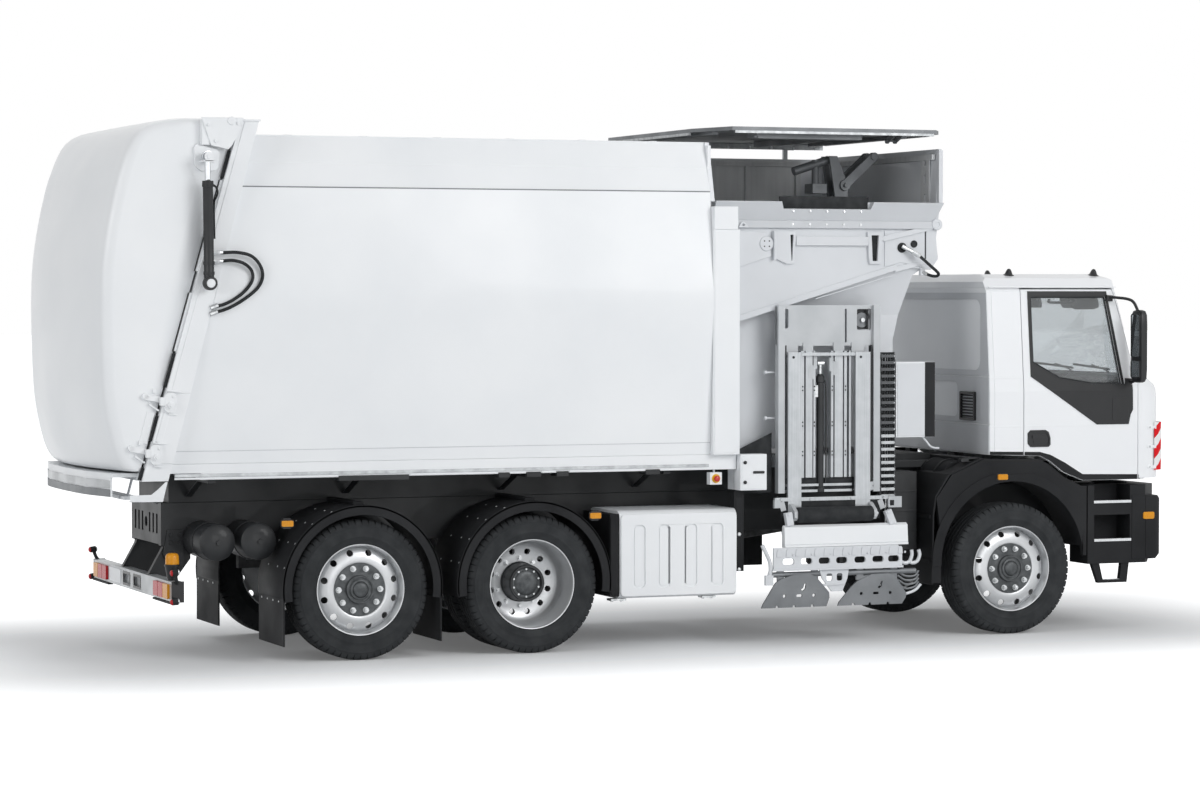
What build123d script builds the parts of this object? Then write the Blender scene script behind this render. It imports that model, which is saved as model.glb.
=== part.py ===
# Side-loading garbage truck on a three-axle chassis, stored whole, in millimetres.
# +X points forward, +Y to the vehicle's left, +Z up. The origin is on the ground, under the box centre.
from build123d import *
import os
from math import radians, tan

os.makedirs("parts", exist_ok=True)

# ---- driving dimensions ----
# axles and wheels
tag_axle_x = -2445.5        # rear lifting-type axle, single wheels
tyre_gap = 319.0            # between the tyres of the tag axle and the drive axle
wheelbase = 4200.0          # drive axle to front axle
tyre_d = 1076.0             # 315/80 R22.5
tyre_w = 315.0
twin_pitch = 340.0          # between the two tyres of a drive wheel
wheel_face_y = 1200.0       # outer sidewall from the centre line
rim_ring_r = 350.0          # where the tyre meets the rim
rim_barrel_t = 22.0
disc_t = 14.0
hub_r = 112.0
kingpin_y = 950.0
kingpin_r = 22.0
# chassis
rail_over_tyre = 114.0      # top of the rails above the top of the tyres
frame_h = 330.0
frame_flange = 80.0
frame_web = 9.0
frame_half_w = 455.0
rear_overhang = 1370.0      # tag axle to the end of the rails
subframe_h = 210.0
# body and hopper
body_half_w = 1250.0        # at the fold of the side walls
body_h = 2590.0             # container roof above the subframe
wall = 25.0
floor_t = 120.0
fold_z = 1350.0             # the side walls' fold, above the subframe
roof_edge_h = 390.0         # leaning edge panel at the top of the container
packer_opening_h = 1350.0   # lintel of the passage from hopper to container, above the subframe
gate_lean = 0.2838          # horizontal run of the rear posts for each unit of height
gate_rise = 115.0           # top of the rear posts above the container's roof
gate_crown = 175.0          # bow of its rear face in plan
post_w = 200.0
post_taper = 0.28           # share of that width that the posts lose towards the top
hopper_length = 2040.0
hopper_half_w = 1120.0
cab_gap = 400.0             # cab rear wall to hopper
front_post_w = 225.0
# cab
cab_rear_offset = 215.0     # cab rear wall behind the front axle
cab_half_w = 1200.0
cab_wall = 45.0
glass_t = 6.0
door_thickness_gap = 3.0    # half of the gap round each door
# lifter
lifter_w = 900.0            # over the two mast posts
mast_h = 1500.0
reach_beam_l = 1750.0
# clearances
seat = 0.3                  # between curved or sliding pieces that touch
run_gap = 6.0               # between pieces that move past each other

# ---- stations and heights worked out from them ----
tyre_r = tyre_d / 2
drive_axle_x = tag_axle_x + tyre_d + tyre_gap
front_axle_x = drive_axle_x + wheelbase
frame_top = tyre_d + rail_over_tyre
frame_bottom = frame_top - frame_h
frame_rear_x = tag_axle_x - rear_overhang
deck = frame_top + subframe_h
body_top = deck + body_h
floor_top = deck + floor_t
cab_rear_x = front_axle_x - cab_rear_offset
hopper_front_x = cab_rear_x - cab_gap
hopper_rear_x = hopper_front_x - hopper_length
body_front_x = hopper_rear_x - 40.0
front_post_x = body_front_x + front_post_w
wheel_y = wheel_face_y - tyre_w / 2
inner_wheel_y = wheel_y - twin_pitch
gate_foot_x = tag_axle_x - 1722.0    # rear edge of the rear posts at deck level, 10 mm below it
gate_foot_z = deck - 10.0
gate_hinge_x = tag_axle_x - 1030.0
gate_h = body_h + gate_rise          # height of the rear posts
gate_hinge_z = gate_foot_z + gate_h - 15.0


# ---- shape helpers ----
def box(x0, x1, y0, y1, z0, z1):
    return Pos((x0 + x1) / 2, (y0 + y1) / 2, (z0 + z1) / 2) * Box(x1 - x0, y1 - y0, z1 - z0)


def side_prism(points, y0, y1):
    # polygon of (x, z) corners, drawn from y0 to y1
    outline = Polyline(*[(x, y0, z) for x, z in points], close=True)
    return extrude(make_face(outline), amount=y1 - y0, dir=(0, 1, 0))


def rear_prism(points, x0, x1):
    # polygon of (y, z) corners, drawn from x0 to x1
    outline = Polyline(*[(x0, y, z) for y, z in points], close=True)
    return extrude(make_face(outline), amount=x1 - x0, dir=(1, 0, 0))


def plan_prism(points, z0, z1):
    # polygon of (x, y) corners, drawn from z0 to z1
    outline = Polyline(*[(x, y, z0) for x, y in points], close=True)
    return extrude(make_face(outline), amount=z1 - z0, dir=(0, 0, 1))


def disc_y(x, z, r, y0, y1):
    return Pos(x, (y0 + y1) / 2, z) * Rot(90, 0, 0) * Cylinder(r, y1 - y0)


def disc_x(y, z, r, x0, x1):
    return Pos((x0 + x1) / 2, y, z) * Rot(0, 90, 0) * Cylinder(r, x1 - x0)


def disc_z(x, y, r, z0, z1):
    return Pos(x, y, (z0 + z1) / 2) * Cylinder(r, z1 - z0)


def rod(start, end, r):
    path = Line(start, end)
    return sweep(Plane(origin=start, z_dir=path % 0) * Circle(r), path=path)


def other_side(shape):
    return mirror(shape, about=Plane.XZ)


def both_sides(shape):
    return [shape, other_side(shape)]


def turned(profile, x, y, z):
    # ring or disc turned about a line along Y; profile is (radius, y) corners
    outline = Polyline(*[(r, offset, 0) for r, offset in profile], close=True)
    return Pos(x, y, z) * revolve(make_face(outline), Axis.Y)


def save(name, shapes):
    solids = shapes if isinstance(shapes, list) else [shapes]
    export_step(Compound(children=solids), f"parts/{name}.step")


# ---- wheels ----
def tyre(x, y):
    half = tyre_w / 2
    r = rim_ring_r + seat
    profile = [(r, -half * 0.7), (r, half * 0.7), (r + 0.28 * (tyre_r - r), half * 0.96),
               (r + 0.62 * (tyre_r - r), half), (tyre_r - 20, half * 0.95), (tyre_r, half * 0.78),
               (tyre_r, -half * 0.78), (tyre_r - 20, -half * 0.95),
               (r + 0.62 * (tyre_r - r), -half), (r + 0.28 * (tyre_r - r), -half * 0.96)]
    return turned(profile, x, y, tyre_r)


def rim(x, y, disc_side):
    # barrel and disc; disc_side is the disc's middle from the tyre's middle plane
    half = tyre_w / 2 * 0.7
    low, high = min(-half, disc_side), max(half, disc_side)
    barrel = turned([(rim_ring_r - rim_barrel_t, low), (rim_ring_r, low),
                     (rim_ring_r, high), (rim_ring_r - rim_barrel_t, high)], x, y, tyre_r)
    disc = disc_y(x, tyre_r, rim_ring_r - rim_barrel_t / 2, y + disc_side - disc_t / 2,
                  y + disc_side + disc_t / 2)
    return barrel + disc


def single_wheel(x, hub_in):
    # left wheel; its hub runs from hub_in, measured from the tyre's middle plane, to the cap
    side = tyre_w * 0.3
    hub = disc_y(x, tyre_r, hub_r, wheel_y + hub_in, wheel_y + side + 25)
    cap = disc_y(x, tyre_r, hub_r * 0.72, wheel_y + side + 25, wheel_face_y - 5)
    return [tyre(x, wheel_y), rim(x, wheel_y, side) + hub + cap]


def twin_wheel(x):
    # left pair of drive wheels on one hub, discs back to back
    middle = (wheel_y + inner_wheel_y) / 2
    outer = rim(x, wheel_y, middle - wheel_y + disc_t / 2)
    inner = rim(x, inner_wheel_y, middle - inner_wheel_y - disc_t / 2)
    hub = disc_y(x, tyre_r, hub_r + 30, twin_hub_in, wheel_face_y - 130)
    return [tyre(x, wheel_y), tyre(x, inner_wheel_y), outer + inner + hub]


front_hub_in = 0.0
tag_hub_in = -tyre_w / 2 + 8
twin_hub_in = inner_wheel_y - 100


def make_wheels():
    # name, pieces of the left one
    wheels = [("front_wheel", single_wheel(front_axle_x, front_hub_in)),
              ("tag_wheel", single_wheel(tag_axle_x, tag_hub_in)),
              ("drive_wheels", twin_wheel(drive_axle_x))]
    for name, pieces in wheels:
        save(name + "_left", pieces)
        save(name + "_right", [other_side(piece) for piece in pieces])


# ---- axles, springs and steering ----
eye_r = 50.0
eye_half_h = 50.0
knuckle_plate = 55.0
spring_w = 70.0
spring_y = frame_half_w - frame_flange / 2


def leaf_spring(x, seat_z, half_l, thick):
    # bar over the axle with a hanger at each end, up to the rail
    low, high = spring_y - spring_w / 2, spring_y + spring_w / 2
    bar = box(x - half_l, x + half_l, low, high, seat_z, seat_z + thick)
    for end in (-1, 1):
        edge = x + end * half_l
        bar += box(min(edge, edge - end * 60), max(edge, edge - end * 60), low, high,
                   seat_z + thick, frame_bottom)
    return bar


def make_front_axle():
    top = tyre_r - 38.0
    beam = box(front_axle_x - 50, front_axle_x + 50, -kingpin_y + 240, kingpin_y - 240, top - 100, top)
    neck = rear_prism([(kingpin_y - 240, top - 100), (kingpin_y - 240, top), (kingpin_y - 60, tyre_r + eye_half_h),
                       (kingpin_y, tyre_r + eye_half_h), (kingpin_y, tyre_r - eye_half_h),
                       (kingpin_y - 60, tyre_r - eye_half_h)], front_axle_x - 40, front_axle_x + 40)
    eye = disc_z(front_axle_x, kingpin_y, eye_r, tyre_r - eye_half_h, tyre_r + eye_half_h)
    bore = disc_z(front_axle_x, kingpin_y, kingpin_r + seat, tyre_r - 80, tyre_r + 80)
    end = neck + eye - bore
    spring = leaf_spring(front_axle_x, top, 780, 60)
    axle = beam + end + other_side(end) + spring + other_side(spring)
    save("front_axle", axle)


def make_knuckles():
    x, y = front_axle_x, kingpin_y
    knuckle = disc_z(x, y, kingpin_r, tyre_r - 100, tyre_r + 100)
    for low in (tyre_r + eye_half_h + run_gap, tyre_r - eye_half_h - run_gap - 45):
        plate = disc_z(x, y, knuckle_plate, low, low + 45)
        plate += box(x - 45, x + 45, y, y + eye_r + 2 * run_gap + 10, low, low + 45)
        knuckle += plate
    flange_y = wheel_y + front_hub_in - seat
    knuckle += box(x - 45, x + 45, y + eye_r + 2 * run_gap, flange_y, tyre_r - 101, tyre_r + 101)
    save("steering_knuckle_left", knuckle)
    save("steering_knuckle_right", other_side(knuckle))


def make_rear_axles():
    tube_r = 70.0
    # axle station, end of the tube, radius of the middle housing
    rows = [(tag_axle_x, wheel_y + tag_hub_in - seat, 0.0), (drive_axle_x, twin_hub_in - seat, 215.0)]
    axles = []
    for x, end, housing in rows:
        axle = disc_y(x, tyre_r, tube_r, -end, end)
        if housing:
            axle += Pos(x, 0, tyre_r) * Sphere(housing)
            axle += disc_x(0, tyre_r, 90, x, x + 330)
        spring = leaf_spring(x, tyre_r + tube_r - 4, 520, 60)
        axles.append(axle + spring + other_side(spring))
    save("rear_axles", axles)


# ---- chassis ----
def make_frame():
    front = front_axle_x + 1180
    inner = frame_half_w - frame_flange
    rail = box(frame_rear_x, front, inner, frame_half_w, frame_bottom, frame_top)
    rail -= box(frame_rear_x - 1, front + 1, inner - 1, frame_half_w - frame_web,
                frame_bottom + frame_web, frame_top - frame_web)
    frame = rail + other_side(rail)
    web = frame_half_w - frame_web
    # station and half thickness of each cross member
    for x, half in [(frame_rear_x + 12, 12), (tag_axle_x - 700, 40), (tag_axle_x + 690, 40),
                    (drive_axle_x + 900, 40), (front_axle_x + 1140, 40)]:
        frame += box(x - half, x + half, -web, web, frame_bottom + frame_web, frame_top - frame_web)
    tow_bore = disc_x(0, tow_z, tow_bore_r, frame_rear_x - 1, frame_rear_x + 30)
    frame -= tow_bore
    # rests under the rear of the cab
    for y in (-frame_half_w, inner):
        frame += box(front_axle_x - 150, front_axle_x - 70, y, y + frame_flange, frame_top - 1,
                     frame_top + cab_floor_z - seat)
    # slots each side of the end plate's bore
    for y in (-330, -220, -110, 110, 220, 330):
        frame -= box(frame_rear_x - 1, frame_rear_x + 25, y - 22, y + 22, tow_z - 75, tow_z + 75)
    save("frame_rails", frame)


tow_z = frame_bottom + 165.0
tow_bore_r = 40.0
engine_rear_x = front_axle_x - 245.0
engine_front_x = front_axle_x + 1000.0
engine_half_w = 320.0


def make_engine():
    block = box(engine_rear_x, engine_front_x, -engine_half_w, engine_half_w,
                frame_bottom - 150, frame_top + 160)
    inner = frame_half_w - frame_web
    for x in (engine_rear_x + 150, engine_front_x - 150):
        for low, high in ((-inner, -engine_half_w), (engine_half_w, inner)):
            block += box(x - 60, x + 60, low, high, frame_bottom + 60, frame_bottom + 140)
    save("engine", block)


def make_driveline():
    gearbox = box(engine_rear_x - 700, engine_rear_x, -230, 230, frame_bottom - 60, frame_top - 40)
    gearbox += disc_x(0, frame_bottom + 60, 130, engine_rear_x - 860, engine_rear_x - 700)
    start = (engine_rear_x - 850, 0, frame_bottom + 60)
    end = (drive_axle_x + 345, 0, tyre_r + 12)
    save("driveline", gearbox + rod(start, end, 55))


tank_r = 140.0
guard_r = tyre_r + 85.0
guard_t = 12.0


def make_air_tanks():
    tanks = []
    for x in (tag_axle_x - guard_r - guard_t - tank_r + 40, tag_axle_x - guard_r - guard_t - 3 * tank_r - 5):
        tanks += both_sides(disc_y(x, frame_bottom + 50, tank_r, frame_half_w + seat, 930))
    save("air_tanks", tanks)


side_box_x = drive_axle_x + guard_r + guard_t + 90.0
side_box_l = 1000.0


def rounded_box(x0, x1, y0, y1, z0, z1, r):
    # long edges along X rounded
    shape = box(x0, x1, y0, y1, z0, z1)
    return fillet(shape.edges().filter_by(Axis.X), r)


def make_side_boxes():
    # right: locker with a ribbed cover; left: fuel tank and battery box
    low = frame_bottom - 460
    cover = rounded_box(side_box_x, side_box_x + side_box_l, -wheel_face_y, -560, low, low + 690, 70)
    for step in range(4):
        x = side_box_x + side_box_l * (0.27 + 0.155 * step)
        cover -= box(x - 48, x + 48, -wheel_face_y - 1, -wheel_face_y + 16, low + 110, low + 560)
    arms = []
    for x in (side_box_x + 200, side_box_x + side_box_l - 200):
        cover += box(x - 40, x + 40, -570, -frame_half_w - seat, frame_bottom + 60, frame_bottom + 160)
        arms.append(x)
    save("side_locker", cover)
    tank = rounded_box(side_box_x, side_box_x + 1250, 560, wheel_face_y - 10, low, low + 620, 110)
    for x in arms:
        tank += box(x - 40, x + 40, frame_half_w + seat, 570, frame_bottom + 60, frame_bottom + 130)
    battery = box(side_box_x + 1400, side_box_x + 2050, 620, wheel_face_y - 20, low + 80, low + 560)
    battery += box(side_box_x + 1600, side_box_x + 1850, frame_half_w + seat, 620, frame_bottom + 10,
                   frame_bottom + 90)
    save("fuel_tank", tank)
    save("battery_box", battery)


guard_in_y = 520.0


def mudguard(x):
    # arch over a rear wheel, with a flap at each foot and an arm to the subframe
    z = tyre_r + 12
    y0, y1 = wheel_y - 340 - tyre_w / 2 + 20, wheel_face_y + 45
    ring = disc_y(x, z, guard_r + guard_t, y0, y1) - disc_y(x, z, guard_r, y0 - 1, y1 + 1)
    ring = ring & box(x - 2 * guard_r, x + 2 * guard_r, y0, y1, z - 90, z + 2 * guard_r)
    top = z + guard_r
    arm = box(x - 40, x + 40, frame_half_w + seat, y1 - 120, top + guard_t - 3, top + guard_t + 22)
    return ring + arm


def make_rear_mudguards():
    # arches; the tag axle's pair carry rubber flaps at both feet
    foot = tyre_r - 78
    reach = (guard_r + guard_t) * 0.985
    tag, drive = mudguard(tag_axle_x), mudguard(drive_axle_x)
    for x in (tag_axle_x - reach, tag_axle_x + reach):
        tag += box(x - 6, x + 6, guard_in_y + 60, wheel_face_y + 40, foot - 330, foot + 40)
    save("rear_mudguards", both_sides(tag) + both_sides(drive))


def make_rear_bumper():
    x = tag_axle_x - 1490.0
    bar = box(x, x + 90, -1220, 1220, 495, 645)
    for y in (0.0, 330.0):
        bar -= box(x - 1, x + 25, y - 300, y - 60, 530, 610)
    foot = side_prism([(x + 30, 640), (x + 50, 560), (x + 205, 560), (frame_rear_x + 235, frame_bottom - 100),
                       (frame_rear_x + 235, frame_bottom), (frame_rear_x + 30, frame_bottom)], -430, -380)
    for piece in both_sides(foot):
        bar += piece
    save("rear_underrun", bar)


# ---- front end below the cab ----
arch_r = tyre_r + 117.0
arch_z = tyre_r + 62.0
skirt_y = cab_half_w
fascia_top = frame_top + 15.0
fascia_front_x = front_axle_x + 1405.0
step_rear_x = front_axle_x + arch_r + 45.0
cab_hinge_x = fascia_front_x - 40.0
cab_hinge_z = fascia_top + 22.5


def make_front_guards():
    # black wing over each front wheel, following the cab's lower edge
    x = front_axle_x
    outline = [(x - 215, frame_top - 480), (x - 640, frame_top - 480), (x - 700, frame_top - 60),
               (x - 560, frame_top + 130), (x - 260, frame_top + 255), (x + 240, frame_top + 245),
               (x + 330, frame_top + 200), (x + 480, frame_top + 90), (x + 640, fascia_top),
               (x + 690, fascia_top), (x + 690, frame_top - 560), (x + 215, frame_top - 560)]
    wheel_space = disc_y(x, arch_z, arch_r, 0, skirt_y + 1) + box(x - arch_r, x + arch_r, 0, skirt_y + 1, 0, arch_z)
    skirt = side_prism(outline, skirt_y - 40, skirt_y) - wheel_space
    liner = disc_y(x, arch_z, arch_r + 15, kingpin_y - 130, skirt_y) - wheel_space
    liner = liner & box(x - 1000, x + 1000, 0, 2000, frame_top - 480, frame_top + 400)
    top = arch_z + arch_r + 12
    arm = box(x - 40, x + 40, frame_half_w - 75, frame_half_w - 10, frame_top, top + 15)
    arm += box(x - 40, x + 40, frame_half_w - 75, kingpin_y - 100, top, top + 15)
    wing = skirt + liner + arm
    save("front_wings", both_sides(wing))


def make_front_bumper():
    # fascia across the front, with the entry steps behind each corner
    low = 556.0
    corner = 160.0
    x0, x1 = step_rear_x, fascia_front_x
    shape = plan_prism([(x0, -skirt_y), (x1 - corner, -skirt_y), (x1, -skirt_y + corner),
                        (x1, skirt_y - corner), (x1 - corner, skirt_y), (x0, skirt_y)], low, fascia_top)
    hollow = plan_prism([(x0 - 1, -skirt_y + 300), (x1 - corner, -skirt_y + 300),
                         (x1 - 70, -skirt_y + corner + 300), (x1 - 70, skirt_y - corner - 300),
                         (x1 - corner, skirt_y - 300), (x0 - 1, skirt_y - 300)], low - 1, fascia_top + 1)
    shape -= hollow
    # low front edge leans back
    shape -= side_prism([(x1 + 1, low - 1), (x1 + 1, low + 140), (x1 - 110, low - 1)], -2000, 2000)
    # two step wells on each side
    for z in (frame_top - 270, frame_top - 590):
        well = box(x0 + 60, x0 + 400, skirt_y - 220, skirt_y + 1, z + 135, z + 360)
        shape -= well
        shape -= other_side(well)
    # ladder step hung below
    for low_y, high_y in ((skirt_y - 60, skirt_y - 15), (-skirt_y + 15, -skirt_y + 60)):
        shape += side_prism([(x0 + 50, low + 1), (x0 + 120, low + 1), (x0 + 160, 395), (x0 + 110, 395)], low_y, high_y)
        shape += side_prism([(x0 + 330, low + 1), (x0 + 400, low + 1), (x0 + 380, 395), (x0 + 310, 395)], low_y, high_y)
        shape += box(x0 + 110, x0 + 380, low_y, high_y, 395, 420)
    # hinge lugs for the tilting cab, with a pin in each
    for side in (-1, 1):
        y0, y1 = sorted((side * 300, side * 330))
        shape += disc_y(cab_hinge_x, cab_hinge_z, 16, y0, y1)
        shape += box(cab_hinge_x - 16, cab_hinge_x + 16, y0, y1, fascia_top - 30, cab_hinge_z)
        y0, y1 = sorted((side * 310, side * 370))
        shape += disc_y(cab_hinge_x, cab_hinge_z, 8, y0, y1)
    # brackets to the frame rails
    front = front_axle_x + 1180
    for y0, y1 in ((frame_half_w + seat, skirt_y - 299), (-skirt_y + 299, -frame_half_w - seat)):
        shape += box(front - 90, front - 10, y0, y1, frame_bottom + 60, frame_bottom + 160)
    save("front_bumper", shape)


# ---- refuse body ----
def gate_line(z):
    # rear edge of the posts at height z
    return gate_foot_x + (z - gate_foot_z) * gate_lean


def post_front(z):
    # front edge of the posts, which narrow towards the top
    return gate_line(z) + post_w * (1 - post_taper * (z - gate_foot_z) / gate_h)


edge_z = body_h - roof_edge_h
foot_inset = 70.0           # how far the side walls lean in at the bottom
edge_inset = 80.0           # and at the edge panel's foot
roof_inset = 200.0          # and at the roof


def body_profile(inset):
    # half width and height above the deck, up the container's side
    return [(body_half_w - foot_inset - 10 - inset, 50), (body_half_w - foot_inset - inset, 220),
            (body_half_w - inset, fold_z), (body_half_w - edge_inset - inset, edge_z),
            (body_half_w - roof_inset - inset, body_h - inset)]


def container_block(inset, x1):
    half = [(y, deck + z) for y, z in body_profile(inset)]
    outline = half + [(-y, z) for y, z in reversed(half)]
    block = rear_prism(outline, gate_foot_x - 50, x1)
    top, low = body_top + 50, deck - 50
    rear = side_prism([(post_front(low), low), (x1 + 10, low), (x1 + 10, top), (post_front(top), top)],
                      -2000, 2000)
    return block & rear


def make_body():
    front = body_front_x
    shell = container_block(0.0, front) - container_block(wall, front + 20)
    low = deck + floor_t
    split = deck + edge_z
    far = 9000.0
    sides = shell & box(-far, far, -2000, 2000, low, split)
    save("body_side_left", sides & box(-far, far, 0, 2000, 0, far))
    save("body_side_right", sides & box(-far, far, -2000, 0, 0, far))
    save("body_roof", shell & box(-far, far, -2000, 2000, split, far))
    # floor on its longitudinal beams
    half = body_half_w - foot_inset
    floor = side_prism([(post_front(deck + 50), deck + 50), (front_post_x, deck + 50),
                        (front_post_x, low), (post_front(low), low)], -half, half)
    for y0, y1 in ((-half, -half + 160), (half - 160, half), (-frame_half_w, -frame_half_w + 80),
                   (frame_half_w - 80, frame_half_w)):
        floor += box(post_front(deck) + 270, front_post_x, y0, y1, deck, deck + 51)
    save("body_floor", floor)
    # closing wall over the packer's passage
    upper = box(front, front + 30, -hopper_half_w, hopper_half_w, deck + packer_opening_h, body_top - wall - seat)
    post_in = hopper_half_w + seat
    cap_z = deck + tray_h - 227
    post = box(front + seat, front_post_x, post_in, body_half_w, low, cap_z)
    cap = box(front + seat, front_post_x - 20, post_in + 10, body_half_w + 12, cap_z, cap_z + 180)
    save("body_front_frame", both_sides(post + cap) + [upper])
    rail_rear = frame_rear_x + 60
    rail = box(rail_rear, front_axle_x - 760, frame_half_w - 80, frame_half_w, frame_top, deck)
    cross = box(rail_rear, rail_rear + 80, -frame_half_w, frame_half_w, frame_top, deck)
    save("body_subframe", rail + other_side(rail) + cross)


def drip_tray():
    # shelf under the tailgate with a hanging lip, for leaks and the lamp bar
    rear = gate_foot_x
    z0, z1 = deck + 25, deck + 55
    shelf = [(rear + 20, -1080), (rear - 180, -1060), (rear - 270, -600), (rear - 290, 0)]
    shelf += [(x, -y) for x, y in reversed(shelf[:-1])]
    inner = [(x + 14, y) for x, y in shelf]
    inner[0], inner[-1] = (rear + 60, -1081), (rear + 60, 1081)
    lip = plan_prism(shelf, z0 - 145, z0 + 1) - plan_prism(inner, z0 - 146, z0 + 2)
    lip = lip & box(rear - 400, rear - 150, -1040, 1040, z0 - 200, z0 + 50)
    return plan_prism(shelf, z0, z1) + lip


def make_rear_frame():
    # leaning posts, sill and header round the discharge mouth
    top = gate_foot_z + gate_h
    inner = body_half_w - 150

    def bar(z0, z1, y0, y1):
        return side_prism([(gate_line(z0), z0), (post_front(z0), z0), (post_front(z1), z1), (gate_line(z1), z1)],
                          y0, y1)

    post = bar(deck, top, inner, body_half_w)
    sill = bar(deck, deck + 100, -inner - 1, inner + 1)
    header = bar(top - 110, top, -inner - 1, inner + 1)
    frame = post + other_side(post) + sill + header
    # pivot bosses for the cylinders
    boss = disc_y(cyl_low_x, cyl_low_z, 34, body_half_w - 10, cyl_y - cyl_r - seat)
    # hinge ears behind the posts, with a pin for each tailgate arm
    ear = side_prism([(gate_line(gate_hinge_z - 90) + 20, gate_hinge_z - 90), (gate_hinge_x, gate_hinge_z - 45),
                      (gate_hinge_x, gate_hinge_z + 15), (gate_line(gate_hinge_z + 15) + 20, gate_hinge_z + 15)],
                     gate_half_w + run_gap, body_half_w)
    ear += disc_y(gate_hinge_x, gate_hinge_z, 24, gate_half_w + run_gap, arm_in_y - seat)
    for piece in both_sides(boss) + both_sides(ear):
        frame += piece
    save("rear_frame", frame + drip_tray())


# ---- tailgate ----
gate_half_w = body_half_w - 50.0
gate_gap = 17.0
gate_skin = 40.0
# setback of the rear face behind the low front corner and height above the sill, at the corners;
# from the top front, round the back, to the bottom front
gate_corners = [(-222.0, gate_h + 5), (11.0, gate_h - 106), (142.0, gate_h - 463), (234.0, 1799.0),
                (266.0, 1356.0), (268.0, 1061.0), (247.0, 618.0), (151.0, 172.0), (60.0, 82.0)]
arm_in_y = body_half_w + run_gap
arm_t = 16.0
cyl_r = 38.0
cyl_y = arm_in_y + arm_t + 8.0 + cyl_r
cyl_low_x = tag_axle_x - 1220.0
cyl_low_z = gate_hinge_z - 1210.0
cyl_eye_x = tag_axle_x - 1230.0
cyl_eye_z = gate_hinge_z - 270.0


def gate_block(front_extra):
    # space ahead of the bowed rear surface: one cut for each run of the corner outline
    high, low = gate_foot_z + gate_corners[0][1], gate_foot_z + gate_corners[-1][1]
    x_low, x_high = gate_line(low) - gate_gap + front_extra, gate_line(high) - gate_gap + front_extra
    block = side_prism([(x_low, low), (x_high, high), (gate_foot_x - 900, high), (gate_foot_x - 900, low)],
                       -gate_half_w, gate_half_w)
    z_top, depth, half = gate_foot_z + gate_h + 595, gate_h + 895, gate_half_w + 1
    for (set_a, height_a), (set_b, height_b) in zip(gate_corners, gate_corners[1:]):
        slope = (set_a - set_b) / (height_b - height_a)
        x = gate_foot_x - set_a + slope * (z_top - gate_foot_z - height_a)
        arc = ThreePointArc((x, half, z_top), (x - gate_crown, 0, z_top), (x, -half, z_top))
        rest = Polyline((x, -half, z_top), (x + 14000, -half, z_top), (x + 14000, half, z_top),
                        (x, half, z_top))
        way = Vector(-slope * depth, 0, -depth)
        block = block & extrude(make_face(arc.edges() + rest.edges()), amount=way.length,
                                dir=way.normalized())
    return block


def make_tailgate():
    outer = gate_block(0.0)
    long = gate_block(200.0)
    hollow = long & Pos(gate_skin, 0, 0) * long & Pos(0, 0, -gate_skin) * long & Pos(0, 0, gate_skin) * long
    shell = outer - hollow
    cheek_y = gate_half_w - gate_skin
    far = 9000.0
    save("tailgate_skin", shell & box(-far, far, -cheek_y, cheek_y, 0, far))
    # side cheeks, with the hinge arm standing off each one
    arm = side_prism([(gate_hinge_x - 200, gate_hinge_z + 25), (gate_hinge_x + 120, gate_hinge_z + 25),
                      (gate_hinge_x + 60, gate_hinge_z - 60), (gate_hinge_x - 40, gate_hinge_z - 120),
                      (cyl_eye_x + 90, cyl_eye_z - 60), (cyl_eye_x + 30, cyl_eye_z - 100),
                      (cyl_eye_x - 40, cyl_eye_z - 95), (cyl_eye_x - 75, cyl_eye_z - 30),
                      (cyl_eye_x - 75, cyl_eye_z + 60)], arm_in_y, arm_in_y + arm_t)
    spacer = side_prism([(gate_hinge_x - 190, gate_hinge_z - 20), (gate_hinge_x - 190, gate_hinge_z - 220),
                         (gate_hinge_x - 250, gate_hinge_z - 220), (gate_hinge_x - 250, gate_hinge_z - 20)],
                        gate_half_w, arm_in_y)
    cheek = outer & box(-far, far, cheek_y, gate_half_w, 0, far)
    save("tailgate_cheeks", both_sides(cheek + arm + spacer))


def make_gate_cylinders():
    foot, eye = (cyl_low_x, cyl_low_z), (cyl_eye_x, cyl_eye_z)
    length = eye[1] - foot[1]
    lean = (eye[0] - foot[0]) / length
    # heights up the barrel and rod, from the lower pivot
    barrel_end, rod_end = 760.0, length - 30.0

    def at(height):
        return (foot[0] + lean * height, cyl_y, foot[1] + height)

    barrel = rod(at(30), at(barrel_end), cyl_r) + rod(at(barrel_end - 45), at(barrel_end), cyl_r + 4)
    barrel += disc_y(foot[0], foot[1], 42, cyl_y - cyl_r, cyl_y + cyl_r)
    barrel -= rod(at(120), at(barrel_end + 5), 22)
    piston_rod = rod(at(130), at(rod_end), 21.5)
    piston_rod += disc_y(eye[0], eye[1], 42, cyl_y - 24, cyl_y + 24)
    save("gate_cylinder_left", barrel)
    save("gate_cylinder_right", other_side(barrel))
    save("gate_rod_left", piston_rod)
    save("gate_rod_right", other_side(piston_rod))


# ---- hopper ----
hopper_foot = 150.0         # floor's underside above the deck
hopper_h = body_h - 34.0
tray_h = hopper_h - 429.0   # sill of the loading opening above the deck
hopper_low_half_w = hopper_half_w - 140.0
fold_low, fold_high = 1220.0, 1650.0
hopper_foot_front_x = hopper_front_x - 375.0


def hopper_outline(inset):
    # front edge of the hopper from the side: setback behind its top corner, height above the deck
    front = [(375, hopper_foot), (375, 1018), (250, 1543), (78, 1665), (16, tray_h), (0, hopper_h)]
    return [(hopper_front_x - back - inset, deck + h) for back, h in front]


def hopper_section(inset, top):
    # half section: width and height above the deck
    return [(hopper_low_half_w - inset, deck + hopper_foot), (hopper_low_half_w - inset, deck + fold_low),
            (hopper_half_w - inset, deck + fold_high), (hopper_half_w - inset, deck + top)]


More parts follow.
